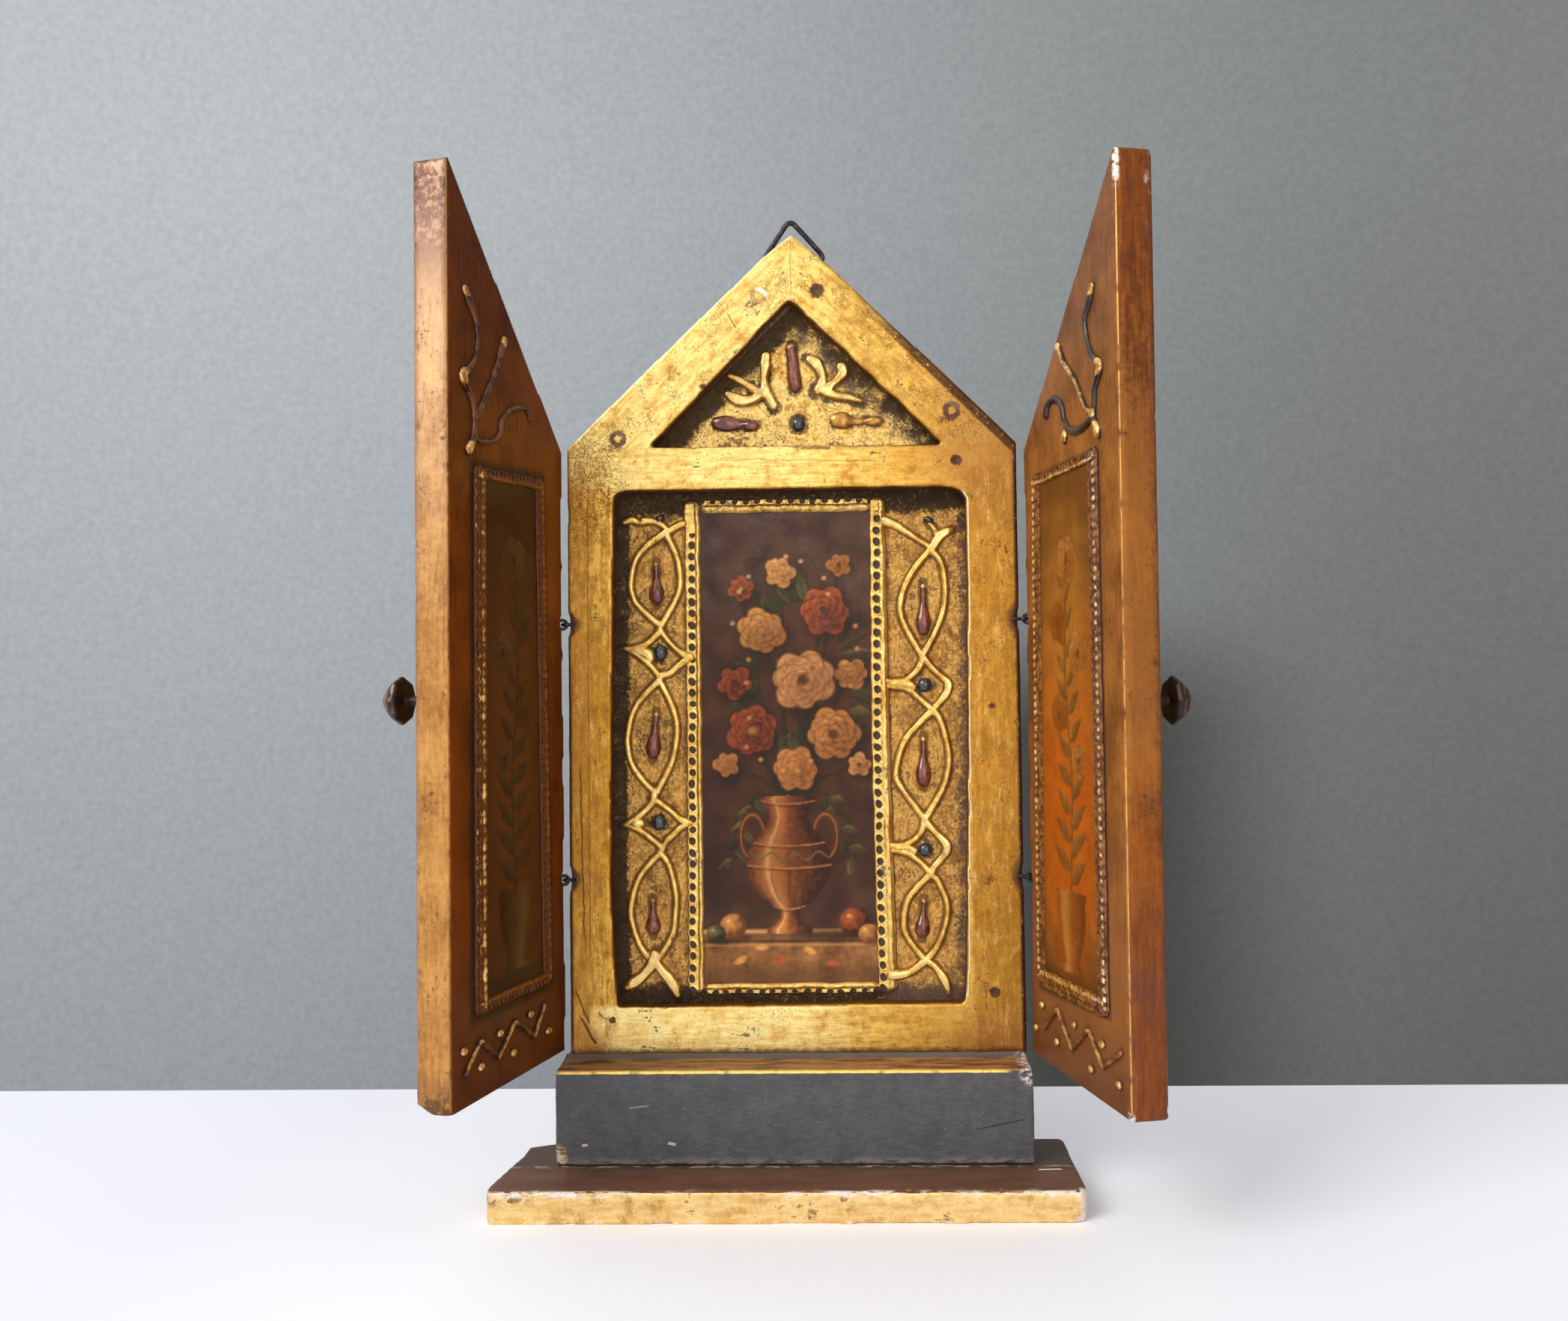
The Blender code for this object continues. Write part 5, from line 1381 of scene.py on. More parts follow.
def paint_fruit(c):
    """Fruit and fallen petals on the shelf."""
    for centre, size, dark, light in (((15.6, 34.6), 4.1, RED_DARK, RED_LIGHT),
                                      ((19.4, 31.4), 2.8, OCHRE_DARK, OCHRE_LIGHT),
                                      ((-17.0, 33.6), 3.6, OCHRE_DARK, OCHRE_LIGHT),
                                      ((-21.6, 31.6), 2.6, OLIVE_DARK, OLIVE_LIGHT)):
        c.lay(c.disc((centre[0] + 1.6, centre[1] - size * 0.8), (size * 1.3, 1.0), soft=0.6),
              (0.020, 0.010, 0.006), 0.7)
        c.shaded(c.disc(centre, (size, size * 0.94), soft=0.07), dark, light,
                 0.85 - np.hypot(c.x - centre[0] + size * 0.35,
                                 c.z - centre[1] - size * 0.35) / (size * 1.25))
        c.lay(c.disc((centre[0] - size * 0.38, centre[1] + size * 0.40), (size * 0.16, size * 0.12),
                     soft=0.6), CREAM, 0.6)
    for i, (px, pz) in enumerate(((-9.6, 28.0), (-4.6, 24.6), (3.4, 27.0), (9.6, 23.6), (-15.0, 24.6))):
        c.shaded(c.disc((px, pz), (1.9, 0.85), 0.5 * math.sin(i * 2.0), 0.3),
                 RED_DARK if i % 2 else OCHRE_DARK, RED_LIGHT if i % 2 else OCHRE_LIGHT, 0.7)


def paint_bouquet(x, z):
    """A clay urn of flowers on a stone shelf, in ochre, red earth and olive on a dark ground."""
    c = Canvas(x, z, (0.050, 0.026, 0.017))
    c.lay(1 - fade(z, 84.0, 140.0), (0.070, 0.040, 0.034), 0.95)
    c.lay(c.disc((2.0, 92.0), (26.0, 40.0), soft=0.8), (0.105, 0.046, 0.020), 0.6)
    c.lay(np.clip(c.coarse * 1.6, 0, 1), (0.105, 0.055, 0.034), 0.45)
    c.lay(np.clip(-c.coarse * 1.6, 0, 1), (0.022, 0.012, 0.009), 0.5)
    paint_shelf(c)
    paint_flowers(c)
    paint_urn(c)
    paint_fruit(c)
    tone = 1 + 0.14 * c.grain + 0.16 * c.coarse
    # Darker and warmer behind the flowers, lighter on the shelf
    middle = fade(np.abs(z - 78.0), 26.0, 48.0)[:, None]
    low = fade(z, 26.0, 48.0)[:, None]
    tint = np.array((1.02, 0.84, 0.66)) * (1 - middle * np.array((0.22, 0.36, 0.48)))
    tint = tint * (1 + low * np.array((0.22, 0.16, 0.04)))
    return np.clip(c.colour * tone[:, None] * tint, 0, 1)


def make_picture():
    step = 0.3
    low_z, high_z = 17.6, 145.9

    def shape(u, v):
        z = low_z + (high_z - low_z) * v
        right = np.interp(z, [18.0, 82.0, 145.0], [22.4, 21.4, 21.6])
        x = -25.3 + (right + 25.3) * u
        lumps = ripples(x * 0.12, z * 0.12, 2.0)
        return x, z + LEDGE, BOARD - 0.42 + 0.05 * lumps

    sheet = slab("painted_urn", round(46.6 / step), round((high_z - low_z) / step), shape, BOARD - 0.1)
    points = points_of(sheet)
    keep_colour(sheet, paint_bouquet(points[:, 0], points[:, 2] - LEDGE))
    dress(sheet, picture_paint(), "dark_print", "stand", "centre_picture")


def keep_colour(obj, rows):
    shades = np.column_stack((rows, np.ones(len(rows))))
    obj.data.color_attributes.new("paint", "FLOAT_COLOR", "POINT").data.foreach_set("color", shades.ravel())


def picture_paint():
    p = Paint("old_varnished_print")
    place = p.place()
    colour = p.kept("paint", 0)
    net = p.cracks(p.warped(place, 3.0, 1.2), 5.0, 0.09) * p.patches(place, 9.0, 0.5, 0.62, 2.0)
    colour = p.blend(net * 0.35, colour, (0.02, 0.012, 0.008))
    bloom = p.patches(place, 6.0, 0.48, 0.72, 5.0, 0.7) * p.ramp(p.axes(place)[2] - LEDGE, 92.0, 140.0)
    colour = p.blend(bloom * 0.14, colour, (0.22, 0.20, 0.21))
    fleck = p.patches(place, 0.42, 0.76, 0.80, 2.0)
    colour = p.blend(fleck * 0.5, colour, (0.42, 0.32, 0.22))
    return p.done(0.22, base_color=colour, roughness=0.40 + p.noise(place, 5.0, 4.0) * 0.2,
                  normal=p.bumped(p.noise(place, 0.8, 3.0) * 0.4 - net * 0.6, 0.05))


# ---------------------------------------------------------------- stand

def make_base():
    """The base board: a gilded front edge, a dark glossy top, and gesso showing where it is chipped."""
    lo, hi = low("base_board"), high("base_board")
    corners = [(lo.x - 0.6, lo.y + 0.2), (lo.x - 1.4, lo.y + 1.8), (-75.0, -26.0), (-73.3, -15.0),
               (-71.9, -6.8), (-71.4, 1.2), (-66.4, 3.6), (-62.0, 4.6), (-60.4, hi.y), (hi.x - 0.6, hi.y),
               (hi.x, 5.0), (69.4, lo.y + 2.0), (68.0, lo.y + 0.3)]
    outline = wavered(corners, 4.0, 0.10)
    board = prism("base", outline, 0.0, BASE_TOP)
    swapped(board, [0, 2, 1])
    rounded_off(board, 0.62, 2)
    points = points_of(board)
    front_arris = np.exp(-((points[:, 1] - lo.y) ** 2 + (points[:, 2] - BASE_TOP) ** 2) / 1.6)
    end = np.exp(-((points[:, 0] - 68.2) ** 2 + (points[:, 1] - lo.y - 0.6) ** 2) / 2.4)
    left_end = np.exp(-((points[:, 0] - lo.x + 1.0) ** 2 + (points[:, 1] - lo.y - 0.8) ** 2) / 2.4)
    bites = np.clip(uneven(points, 3.2, 6) * 1.6 - 0.1, 0, 1)
    bites = bites + np.clip(uneven(points, 1.3, 7) - 0.1, 0, 1) * 0.5
    chip = np.clip(front_arris + end + 0.7 * left_end, 0, 1) * bites
    push(board, 0.05 * uneven(points, 6.0, 8) + 0.03 * uneven(points, 1.5, 9) - 0.5 * chip)
    normals = normals_of(board)
    keep_value(board, "top", np.clip(normals[:, 2], 0, 1))
    keep_value(board, "chip", np.clip(chip * 1.4, 0, 1))
    points = points_of(board)
    points[:, 2] = np.maximum(points[:, 2], 0.0)
    set_points(board, points)
    dress(board, base_finish(lo), "base_gilding", "stand", "base_board")


def base_finish(lo):
    p = Paint("gilded_base")
    place = p.place()
    x, y, z = p.axes(place)
    top, chip = p.kept("top"), p.kept("chip")
    gold, rubbed, height = leafed(p, place, (0.14, 1.0, 0.8), 0.2,
                                  (0.94, 0.67, 0.29), (0.72, 0.44, 0.14), (0.22, 0.085, 0.022))
    back = p.ramp(y, lo.y + 4.0, lo.y + 12.0)
    gold = p.blend(back * 0.8, gold, (0.18, 0.07, 0.025))
    dark = p.blend(p.noise(p.scaled(place, (0.3, 0.8, 1.0)), 4.0, 5.0, 0.6),
                   (0.068, 0.027, 0.015), (0.240, 0.112, 0.060))
    specks = p.patches(place, 0.8, 0.66, 0.74, 4.0, 0.7)
    dark = p.blend(specks * 0.5, dark, (0.26, 0.14, 0.06))
    dark = p.blend(p.ramp(y, -19.0, -14.5) * 0.7, dark, (0.058, 0.048, 0.044))
    dark_end = p.spot(x, z, (-71.0, BASE_TOP - 1.8), (6.0, 1.6), 0.6)
    gold = p.blend(dark_end * p.patches(place, 1.5, 0.42, 0.54, 4.0, 0.7) * 0.85, gold, (0.10, 0.035, 0.02))
    above = p.ramp(top + p.stray(place, 1.2, 0.2, 3.0), 0.50, 0.62)
    colour = p.blend(above, gold, dark)
    # Gesso along the arris: mostly near the left and the right end
    near_arris = p.ramp(y, lo.y + 1.3, lo.y + 0.5) * p.ramp(z, BASE_TOP - 1.9, BASE_TOP - 0.9)
    arris = p.most(near_arris, p.ramp(abs(top - 0.5), 0.45, 0.25) * p.ramp(y, lo.y + 2.6, lo.y + 1.4))
    ends = p.spots(x, z, ((-57.0, BASE_TOP), (17.0, 4.0), 0.3), ((15.0, BASE_TOP), (8.0, 3.0), 0.3),
                   ((62.0, BASE_TOP), (9.0, 4.0), 0.4))
    ends = p.most(ends, p.ramp(x, 66.6, 67.6), p.ramp(x, lo.x - 0.2, lo.x - 1.0) * 0.6)
    broken = p.patches(p.scaled(place, (0.35, 1.0, 1.3)), 1.5, 0.44, 0.52, 4.0, 0.7)
    low_edge = p.ramp(z, 0.9, 0.3) * p.patches(place, 2.4, 0.54, 0.62, 4.0, 0.7)
    round_end = p.ramp(x + p.stray(place, 1.2, 1.2, 3.0), 67.3, 67.9) * p.ramp(y, lo.y + 3.0, lo.y + 1.6)
    bare = p.most(arris * ends * broken, chip * broken * 1.2, low_edge * 0.8, round_end * 0.8)
    colour = p.blend(bare, colour, p.blend(p.noise(place, 1.2, 3.0), (0.60, 0.46, 0.38), (0.92, 0.86, 0.78)))
    scratch = p.stroke(x, y, (60.0, -17.2), (66.0, -17.0), 0.5)
    colour = p.blend(scratch, colour, (0.85, 0.80, 0.72))
    shown = p.patches(p.scaled(place, (0.35, 1.0, 1.0)), 1.2, 0.48, 0.60, 4.0, 0.7)
    seam = p.ramp(abs(y - (-14.6)), 1.1, 0.3) * shown * above
    colour = p.blend(seam * 0.8, colour, (0.55, 0.40, 0.26))
    metal = (1.0 - above) * (1.0 - p.most(bare, rubbed)) * (1.0 - back * 0.7)
    return p.done(0.18, base_color=colour, metallic=metal * 0.8, roughness=0.40 - above * 0.12 + bare * 0.4,
                  normal=p.bumped(height, 0.10))


def make_plinth():
    """The riser with its ledge: matt slate paint, a gold arris and a cove of dark gesso."""
    lo, hi = low("plinth_block"), high("plinth_block")
    left, right, front_low, front_high, back = lo.x, hi.x, lo.y, lo.y + 0.9, hi.y
    bpy.ops.object.select_all(action="DESELECT")
    bpy.ops.mesh.primitive_cube_add(size=1)
    block = bpy.context.object
    block.name = "riser"
    points = points_of(block) * MM
    y = np.where(points[:, 1] < 0, np.where(points[:, 2] < 0, front_low, front_high), back)
    set_points(block, np.column_stack((np.where(points[:, 0] < 0, left, right), y,
                                       np.where(points[:, 2] < 0, BASE_TOP + GAP * 0.4, LEDGE))))
    profile = [(-0.05, LEDGE - 0.4), (-0.05, LEDGE + 2.3), (-0.5, LEDGE + 1.5), (-1.2, LEDGE + 0.75),
               (-2.4, LEDGE + 0.1), (-2.6, LEDGE - 0.4)]
    cove = prism("cove", profile, left + 0.4, right - 0.2)
    swapped(cove, [1, 0, 2])
    carve(block, [cove], "UNION")
    rounded_off(block, 0.55, 2)
    points = points_of(block)
    corner = np.exp(-((points[:, 0] - right + 0.4) ** 2 / 5.0 + (points[:, 1] - front_high) ** 2 / 5.0
                      + (points[:, 2] - LEDGE) ** 2 / 5.0))
    foot = np.exp(-((points[:, 0] - left - 0.4) ** 2 / 2.5 + (points[:, 1] - front_low) ** 2 / 2.5
                    + (points[:, 2] - BASE_TOP - 1.2) ** 2 / 5.0))
    crumble = (corner + 0.8 * foot) * (0.5 + uneven(points, 1.2, 12))
    push(block, 0.12 * uneven(points, 9.0, 10) + 0.06 * uneven(points, 2.2, 11)
         - 0.9 * np.clip(crumble, -0.3, 1))
    keep_value(block, "top", np.clip(normals_of(block)[:, 2], 0, 1))
    keep_value(block, "chip", np.clip((corner + 0.8 * foot) * 1.5, 0, 1))
    dress(block, plinth_finish(left, right, front_high), "slate_paint", "stand", "plinth_block")


def plinth_finish(left, right, front):
    p = Paint("slate_and_gilt_arris")
    place = p.place()
    x, y, z = p.axes(place)
    z = z - LEDGE
    top, chip = p.kept("top"), p.kept("chip")
    cloud = p.noise(place, 6.0, 5.0, 0.6)
    grain = p.noise(p.scaled(place, (0.35, 1.0, 1.0)), 0.9, 5.0, 0.72)
    slate = p.blend(p.ramp(cloud * 0.4 + grain * 0.6, 0.35, 0.65),
                    (0.048, 0.048, 0.052), (0.084, 0.082, 0.084))
    specks = p.patches(place, 0.6, 0.68, 0.73, 3.0, 0.6)
    slate = p.blend(specks * 0.55, slate, (0.42, 0.36, 0.33))
    pits = p.patches(place, 0.9, 0.38, 0.30, 4.0, 0.7)
    slate = p.blend(pits * 0.5, slate, (0.030, 0.030, 0.034))
    scratch = p.strokes(x, z, ((-43.0, -9.2), (-38.0, -8.8), 0.25, 0.35),
                        ((-55.0, -18.6), (-53.5, -18.4), 0.4), ((-33.0, -18.0), (-31.0, -18.4), 0.5, 0.8))
    slate = p.blend(scratch, slate, (0.62, 0.50, 0.36))
    crack = p.stroke(x, z, (45.0, -15.0), (58.0, -12.4), 0.22)
    slate = p.blend(crack * 0.8, slate, (0.02, 0.02, 0.022))
    foot = p.ramp(z, -21.0, -23.2) * p.patches(p.scaled(place, (0.3, 1.0, 1.0)), 1.4, 0.42, 0.56, 4.0, 0.7)
    slate = p.blend(foot * 0.55, slate, (0.30, 0.26, 0.23))
    corner = p.spot(x, z, (left + 0.8, BASE_TOP - LEDGE + 1.6), (1.9, 3.2), 0.4) * p.ramp(grain, 0.38, 0.52)
    slate = p.blend(corner, slate, p.blend(grain, (0.55, 0.26, 0.08), (0.90, 0.66, 0.40)))
    # Ledge: red-brown, with a gilt line on its arris
    ledge = p.blend(p.patches(p.scaled(place, (0.2, 1.0, 1.0)), 2.4, 0.38, 0.62, 5.0, 0.65),
                    (0.115, 0.040, 0.018), (0.40, 0.190, 0.070))
    cove = p.ramp(y, -3.2, -1.6)
    ledge = p.blend(cove * 0.9, ledge, p.blend(cloud, (0.055, 0.052, 0.05), (0.13, 0.12, 0.11)))
    gold_low = p.ramp(z, 0.9, 2.0) * p.patches(p.scaled(place, (0.4, 1.0, 1.0)), 1.6, 0.46, 0.56, 4.0, 0.7)
    ledge = p.blend(gold_low * 0.7, ledge, (0.50, 0.27, 0.06))
    above = p.ramp(top, 0.40, 0.55)
    colour = p.blend(above, slate, ledge)
    wave = (p.noise(p.scaled(place, (0.25, 0, 0)), 1.0, 3.0) - 0.5) * 0.9
    broken = p.patches(p.scaled(place, (0.30, 0.0, 0.0)), 1.0, 0.34, 0.50, 3.0, 0.6)
    line = p.ramp(abs(z + 0.42 + wave * 0.5), 0.52, 0.22) * p.ramp(y, front + 1.4, front + 0.5)
    line = line * (0.35 + broken * 0.65) * p.ramp(x, right - 5.0, right - 8.0)
    colour = p.blend(line, colour, (0.98, 0.62, 0.14))
    broken_corner = p.spot(x, z, (right - 1.0, -1.2), (2.2, 2.4), 0.4)
    crumbs_and_highlights = p.most(chip * 0.5, broken_corner) * p.patches(place, 1.9, 0.46, 0.54, 4.0, 0.7)
    colour = p.blend(crumbs_and_highlights, colour,
                     p.blend(p.noise(place, 1.0, 3.0), (0.50, 0.33, 0.27), (0.90, 0.84, 0.78)))
    height = cloud * 0.3 + p.noise(place, 0.7, 4.0, 0.6) * 0.5 - crack * 0.8 - pits * 0.2
    return p.done(base_color=colour, metallic=line * 0.75, roughness=0.62 - line * 0.32 - above * 0.15,
                  normal=p.bumped(height, 0.2))


# ---------------------------------------------------------------- wings

WINGS = {
    "left_wing": dict(side=-1, axis=(-60.5, -0.1), edge=-60.6, opening=104.3, sag=0.1, lift=0.6),
    "right_wing": dict(side=1, axis=(61.2, -0.7), edge=60.9, opening=101.8, sag=0.3, lift=-1.2),
}
WING_WIDE, WING_THICK, WING_FOOT, WING_SHOULDER, WING_TIP = 59.8, 8.2, 2.2, 161.0, 217.7
CLOSED_GAP, EYE_MIDDLE = 1.3, 81.0
WING_BANDS = {
    # Outer corners and window corners, each from the hinge side's foot and round
    "left_wing": (((9.2, 21.3), (49.3, 21.2), (47.8, 149.1), (12.4, 151.7)),
                  ((13.6, 24.2), (43.2, 24.4), (43.6, 147.0), (15.8, 148.3))),
    "right_wing": (((6.1, 20.6), (49.3, 22.7), (48.1, 152.5), (7.0, 152.2)),
                   ((10.2, 26.5), (44.2, 25.8), (42.6, 150.2), (11.4, 149.9))),
}
WING_STROKES = {
    "left_wing": (((52.3, 189.8, 1.2), (50.2, 187.6, 1.35), (47.5, 184.9, 1.0), (46.3, 180.8, 0.75),
                   (47.0, 176.0, 0.7), (49.8, 172.3, 0.9), (53.4, 170.0, 1.5), (52.8, 168.4, 1.4),
                   (50.6, 166.4, 0.95), (48.4, 163.5, 0.8), (48.1, 157.4, 0.9), (49.8, 154.2, 1.2),
                   (51.0, 152.6, 1.3)),
                  ((33.2, 182.6, 1.25), (35.0, 178.9, 1.15), (37.0, 175.0, 0.95), (42.7, 166.8, 0.85),
                   (47.4, 160.6, 0.7)),
                  ((48.2, 156.4, 0.5), (45.3, 155.8, 0.5), (38.3, 157.1, 0.55), (35.0, 159.9, 0.7),
                   (34.3, 162.9, 0.75), (28.8, 166.8, 0.55), (21.8, 168.3, 0.5), (19.0, 165.9, 0.45))),
    "right_wing": (((47.0, 190.5, 1.15), (45.4, 187.7, 1.2), (42.6, 184.5, 1.0), (43.3, 179.8, 0.85),
                    (46.1, 174.9, 0.8), (50.3, 171.8, 1.3), (50.4, 170.2, 1.3), (49.2, 168.6, 1.0),
                    (47.5, 166.4, 0.9), (47.2, 163.2, 0.85), (46.6, 160.4, 0.95), (48.4, 157.1, 1.3),
                    (49.0, 155.8, 1.1)),
                   ((25.6, 181.9, 1.2), (29.6, 176.8, 0.9), (36.0, 171.1, 0.8), (41.9, 163.4, 0.75),
                    (46.4, 161.4, 0.7)),
                   ((46.6, 160.6, 0.85), (44.1, 160.0, 0.95), (39.5, 159.0, 1.0), (33.2, 159.6, 1.1),
                    (29.5, 162.2, 0.9), (27.0, 167.4, 0.9), (22.0, 169.7, 0.9), (18.5, 169.1, 1.0),
                    (17.2, 167.0, 1.3))),
}
WING_BLOBS = {"left_wing": ((52.6, 190.2, 1.5), (53.9, 169.9, 1.7), (51.0, 152.6, 1.7), (33.2, 182.6, 1.4)),
              "right_wing": ((47.2, 190.8, 1.5), (50.8, 171.2, 1.7), (48.5, 156.8, 1.7), (25.4, 182.0, 1.4),
                             (29.2, 158.8, 1.4))}
WING_ZIGZAGS = {
    "left_wing": ((54.4, 9.0), (46.8, 15.3), (38.0, 9.1), (29.5, 15.8), (19.2, 9.6), (13.2, 16.4)),
    "right_wing": ((56.1, 16.3), (46.0, 10.5), (37.8, 17.1), (27.5, 10.0), (18.4, 17.7), (9.0, 10.6)),
}
WING_DOTS = {"left_wing": ((54.7, 14.7), (46.8, 9.2), (37.4, 14.7), (30.6, 8.4), (21.3, 15.6), (11.1, 9.1)),
             "right_wing": ((8.1, 16.3), (3.6, 9.6), (29.3, 16.2), (18.1, 9.4), (45.8, 15.7), (39.3, 8.4),
                            (54.8, 8.9))}


def wing_matrix(name):
    """From a wing laid out closed, with its hinge edge at X = 0 and its inner face at Y = 0, to its place."""
    w = WINGS[name]
    side = w["side"]
    corner = Vector((w["edge"] - w["axis"][0], -CLOSED_GAP - w["axis"][1], w["lift"] - EYE_MIDDLE))
    return (Matrix.Translation(Vector((*w["axis"], LEDGE + EYE_MIDDLE)) * MM)
            @ Matrix.Rotation(side * math.radians(w["opening"]), 4, "Z")
            @ Matrix.Rotation(-side * math.radians(w["sag"]), 4, "Y")
            @ Matrix.Translation(corner * MM))


def on_wing(piece, name, material, slot, *nodes):
    """Keep the layout's coordinates for the finish, then swing the piece open to its place."""
    points = points_of(piece)
    keep_vector(piece, "place", points * np.array((-WINGS[name]["side"], 1.0, 1.0)))
    piece.data.transform(wing_matrix(name))
    piece.data.update()
    return dress(piece, material, slot, name, *nodes)


def across(name, points):
    side = WINGS[name]["side"]
    return [(-side * s, *rest) for s, *rest in points]


def ornament_lines(name):
    lines = [thick(stroke)[0] for stroke in WING_STROKES[name]] + [list(WING_ZIGZAGS[name])]
    return lines + [[(s, z), (s, z + 0.1)] for s, z in WING_DOTS[name]]


def make_wing(name):
    make_wing_board(name)
    make_wing_scroll(name)
    make_wing_zigzag(name)
    make_wing_border(name)
    make_wing_picture(name)
    make_knob(name)


def laid_out(name, piece):
    """Distance from the hinge edge and height of each point, before the piece is swung open."""
    points = points_of(piece)
    return -WINGS[name]["side"] * points[:, 0], points[:, 2]


def make_wing_board(name):
    side = WINGS[name]["side"]
    foot = WING_FOOT - (1.0 if side < 0 else 0.5)
    outline = across(name, wavered([(0.0, foot), (WING_WIDE, foot), (WING_WIDE, WING_TIP + 1.3),
                                    (0.0, WING_SHOULDER + 0.3)], 8.0, 0.07))
    board = prism(f"{name}_lacquered", outline, -WING_THICK - (0.7 if side < 0 else 1.0), 0.0)
    carve(board, [scoop((1.2, 1.7, 2.2), (0.0, 0.0, height), 0.2, height, side, 14, 8)
                  for height in EYE_HEIGHTS])
    rounded_off(board, 0.8, 2)
    points = points_of(board)
    s, y, z = -side * points[:, 0], points[:, 1], points[:, 2]
    if side < 0:
        heel = fade(y + WING_THICK + 0.7, 0.0, 4.5) * fade(z - foot, 0.0, 3.0)
        points[:, 2] += 2.0 * heel * fade(WING_WIDE - s, 0.0, 12.0)
        set_points(board, points)
    to_arris = np.minimum(np.abs(y), np.abs(y + WING_THICK))
    arris = (np.abs(s - WING_WIDE) < 1.2).astype(float) * np.exp(-to_arris ** 2 / 1.4)
    nicks = np.clip(uneven(points, 2.2, 20 + side) - 0.30, 0, 1)
    push(board, 0.03 * uneven(points, 9.0, 21) + 0.025 * uneven(points, 2.0, 22) - 0.8 * arris * nicks)
    near = distance_to(ornament_lines(name), s, z)
    corners, window = WING_BANDS[name]
    ring = distance_to([list(corners) + [corners[0]], list(window) + [window[0]]], s, z)
    # Painted shade with dirt on the inner face: beside the raised scroll, zigzag and dots, and along the
    # edges of the punched border
    grime_and_shade = np.maximum(fade(near, 0.8, 2.6) * 0.55, fade(ring, 0.4, 2.2 if side > 0 else 4.6)
                       * (0.7 if side > 0 else 0.85)) * (y > -2.0)
    keep_value(board, "grime_and_shade", grime_and_shade)
    keep_value(board, "nick", np.clip(arris * nicks * 3.0, 0, 1))
    on_wing(board, name, lacquer(name), "brown_lacquer", f"{name}_board")


def make_wing_scroll(name):
    side = WINGS[name]["side"]
    raised = [thick(across(name, stroke)) for stroke in WING_STROKES[name]]
    if side > 0:
        raised.append(thick(across(name, ((29.0, 158.0, 1.0), (29.2, 158.8, 1.3), (29.4, 159.6, 1.1)))))
    scroll = relief(f"{name}_raised_scroll", raised, 1.0, 0.05, 1.0, 0.22, facing=1, to_height=0.0)
    s, z = laid_out(name, scroll)
    to_blob = np.min([np.hypot(s - bs, z - bz) / size for bs, bz, size in WING_BLOBS[name]], axis=0)
    diagonal = fade(distance_to([thick(WING_STROKES[name][1])[0]], s, z), 0.8, 1.5)
    keep_value(scroll, "gilt", np.maximum(fade(to_blob, 0.9, 2.2), diagonal * (0.85 if side > 0 else 0.0)))
    on_wing(scroll, name, wing_gold(name), "gilded_wood", f"{name}_scroll")


def make_wing_zigzag(name):
    """The zigzag across the foot of a wing, and the dots between its turns."""
    side = WINGS[name]["side"]
    turns = across(name, WING_ZIGZAGS[name])
    raised = []
    for start, end in zip(turns[:-1], turns[1:]):
        middle = tuple((Vector(start) + Vector(end)) / 2)
        raised.append((smooth([start, middle, end], 3), False, [1.0] * 7))
    rises, swell = (-0.9, -0.4, 0.0, 0.4, 0.9), [0.9, 1.9, 2.2, 1.9, 0.9]
    for x, z in across(name, WING_DOTS[name]):
        raised.append(([(x, z + rise) for rise in rises], False, swell))
    radius = 0.66 if side < 0 else 0.56
    zigzag = relief(f"{name}_raised_zigzag", raised, radius, 0.05, 0.85, 0.26, facing=1, to_height=0.0)
    s, z = laid_out(name, zigzag)
    to_dot = np.min([np.hypot(s - ds, z - dz) for ds, dz in WING_DOTS[name]], axis=0)
    strokes = WING_ZIGZAGS[name] if side < 0 else WING_ZIGZAGS[name][1:5]
    falling = [list(pair) for pair in zip(strokes[::2], strokes[1::2])]
    to_stroke = distance_to(falling, s, z)
    keep_value(zigzag, "gilt", np.maximum(fade(to_dot, 1.2, 1.8), fade(to_stroke, 0.7, 1.4) * 0.8))
    on_wing(zigzag, name, wing_gold(name, True), "gilded_wood", f"{name}_zigzag")


def make_wing_border(name):
    outer, window = WING_BANDS[name]
    step = 0.3
    members = []
    level = flat_and_bead(0.50, 1.0, 0.50, 0.98)
    # Hinge side, free side, top, foot: each from its middle line
    pairs = ((0, 3), (1, 2), (3, 2), (0, 1))
    for i, (a, b) in enumerate(pairs):
        axis = 0 if i < 2 else 1
        corners = [(Vector(outer[k]), Vector(window[k])) for k in (a, b)]
        start, end = [(out + inner) / 2 for out, inner in corners]
        width_start, width_end = [abs(out[axis] - inner[axis]) for out, inner in corners]
        reach = (end - start).normalized() * (1.9 if i < 2 else 1.6)
        start, end = start - reach, end + reach
        side = WINGS[name]["side"]
        ends = across(name, (tuple(start), tuple(end)))
        width = (width_start + width_end) / 2 + 0.4
        # The bead runs beside the picture on every member
        towards = {0: side < 0, 1: True, 2: side > 0, 3: side < 0}[i]
        profile = (lambda u: level(1 - u)) if towards else level
        holes = 0.76 if towards else 0.24
        shape, length = band_shape(ends[0], ends[1], (width,), (holes,), profile, 0.60, 0.05, 1, 0.0,
                                   30.0 + i, 2.05, beaded=0.45 if i < 2 and side > 0 else 0.2)
        members.append(slab("member", round(width / step), round(length / step), shape, -0.12, 1))
    border = joined(f"{name}_punched_border", members)
    points = points_of(border)
    keep_value(border, "rise", np.clip(points[:, 1] / 1.0, 0, 1.3))
    on_wing(border, name, wing_band_finish(name), "brown_lacquer", f"{name}_border")


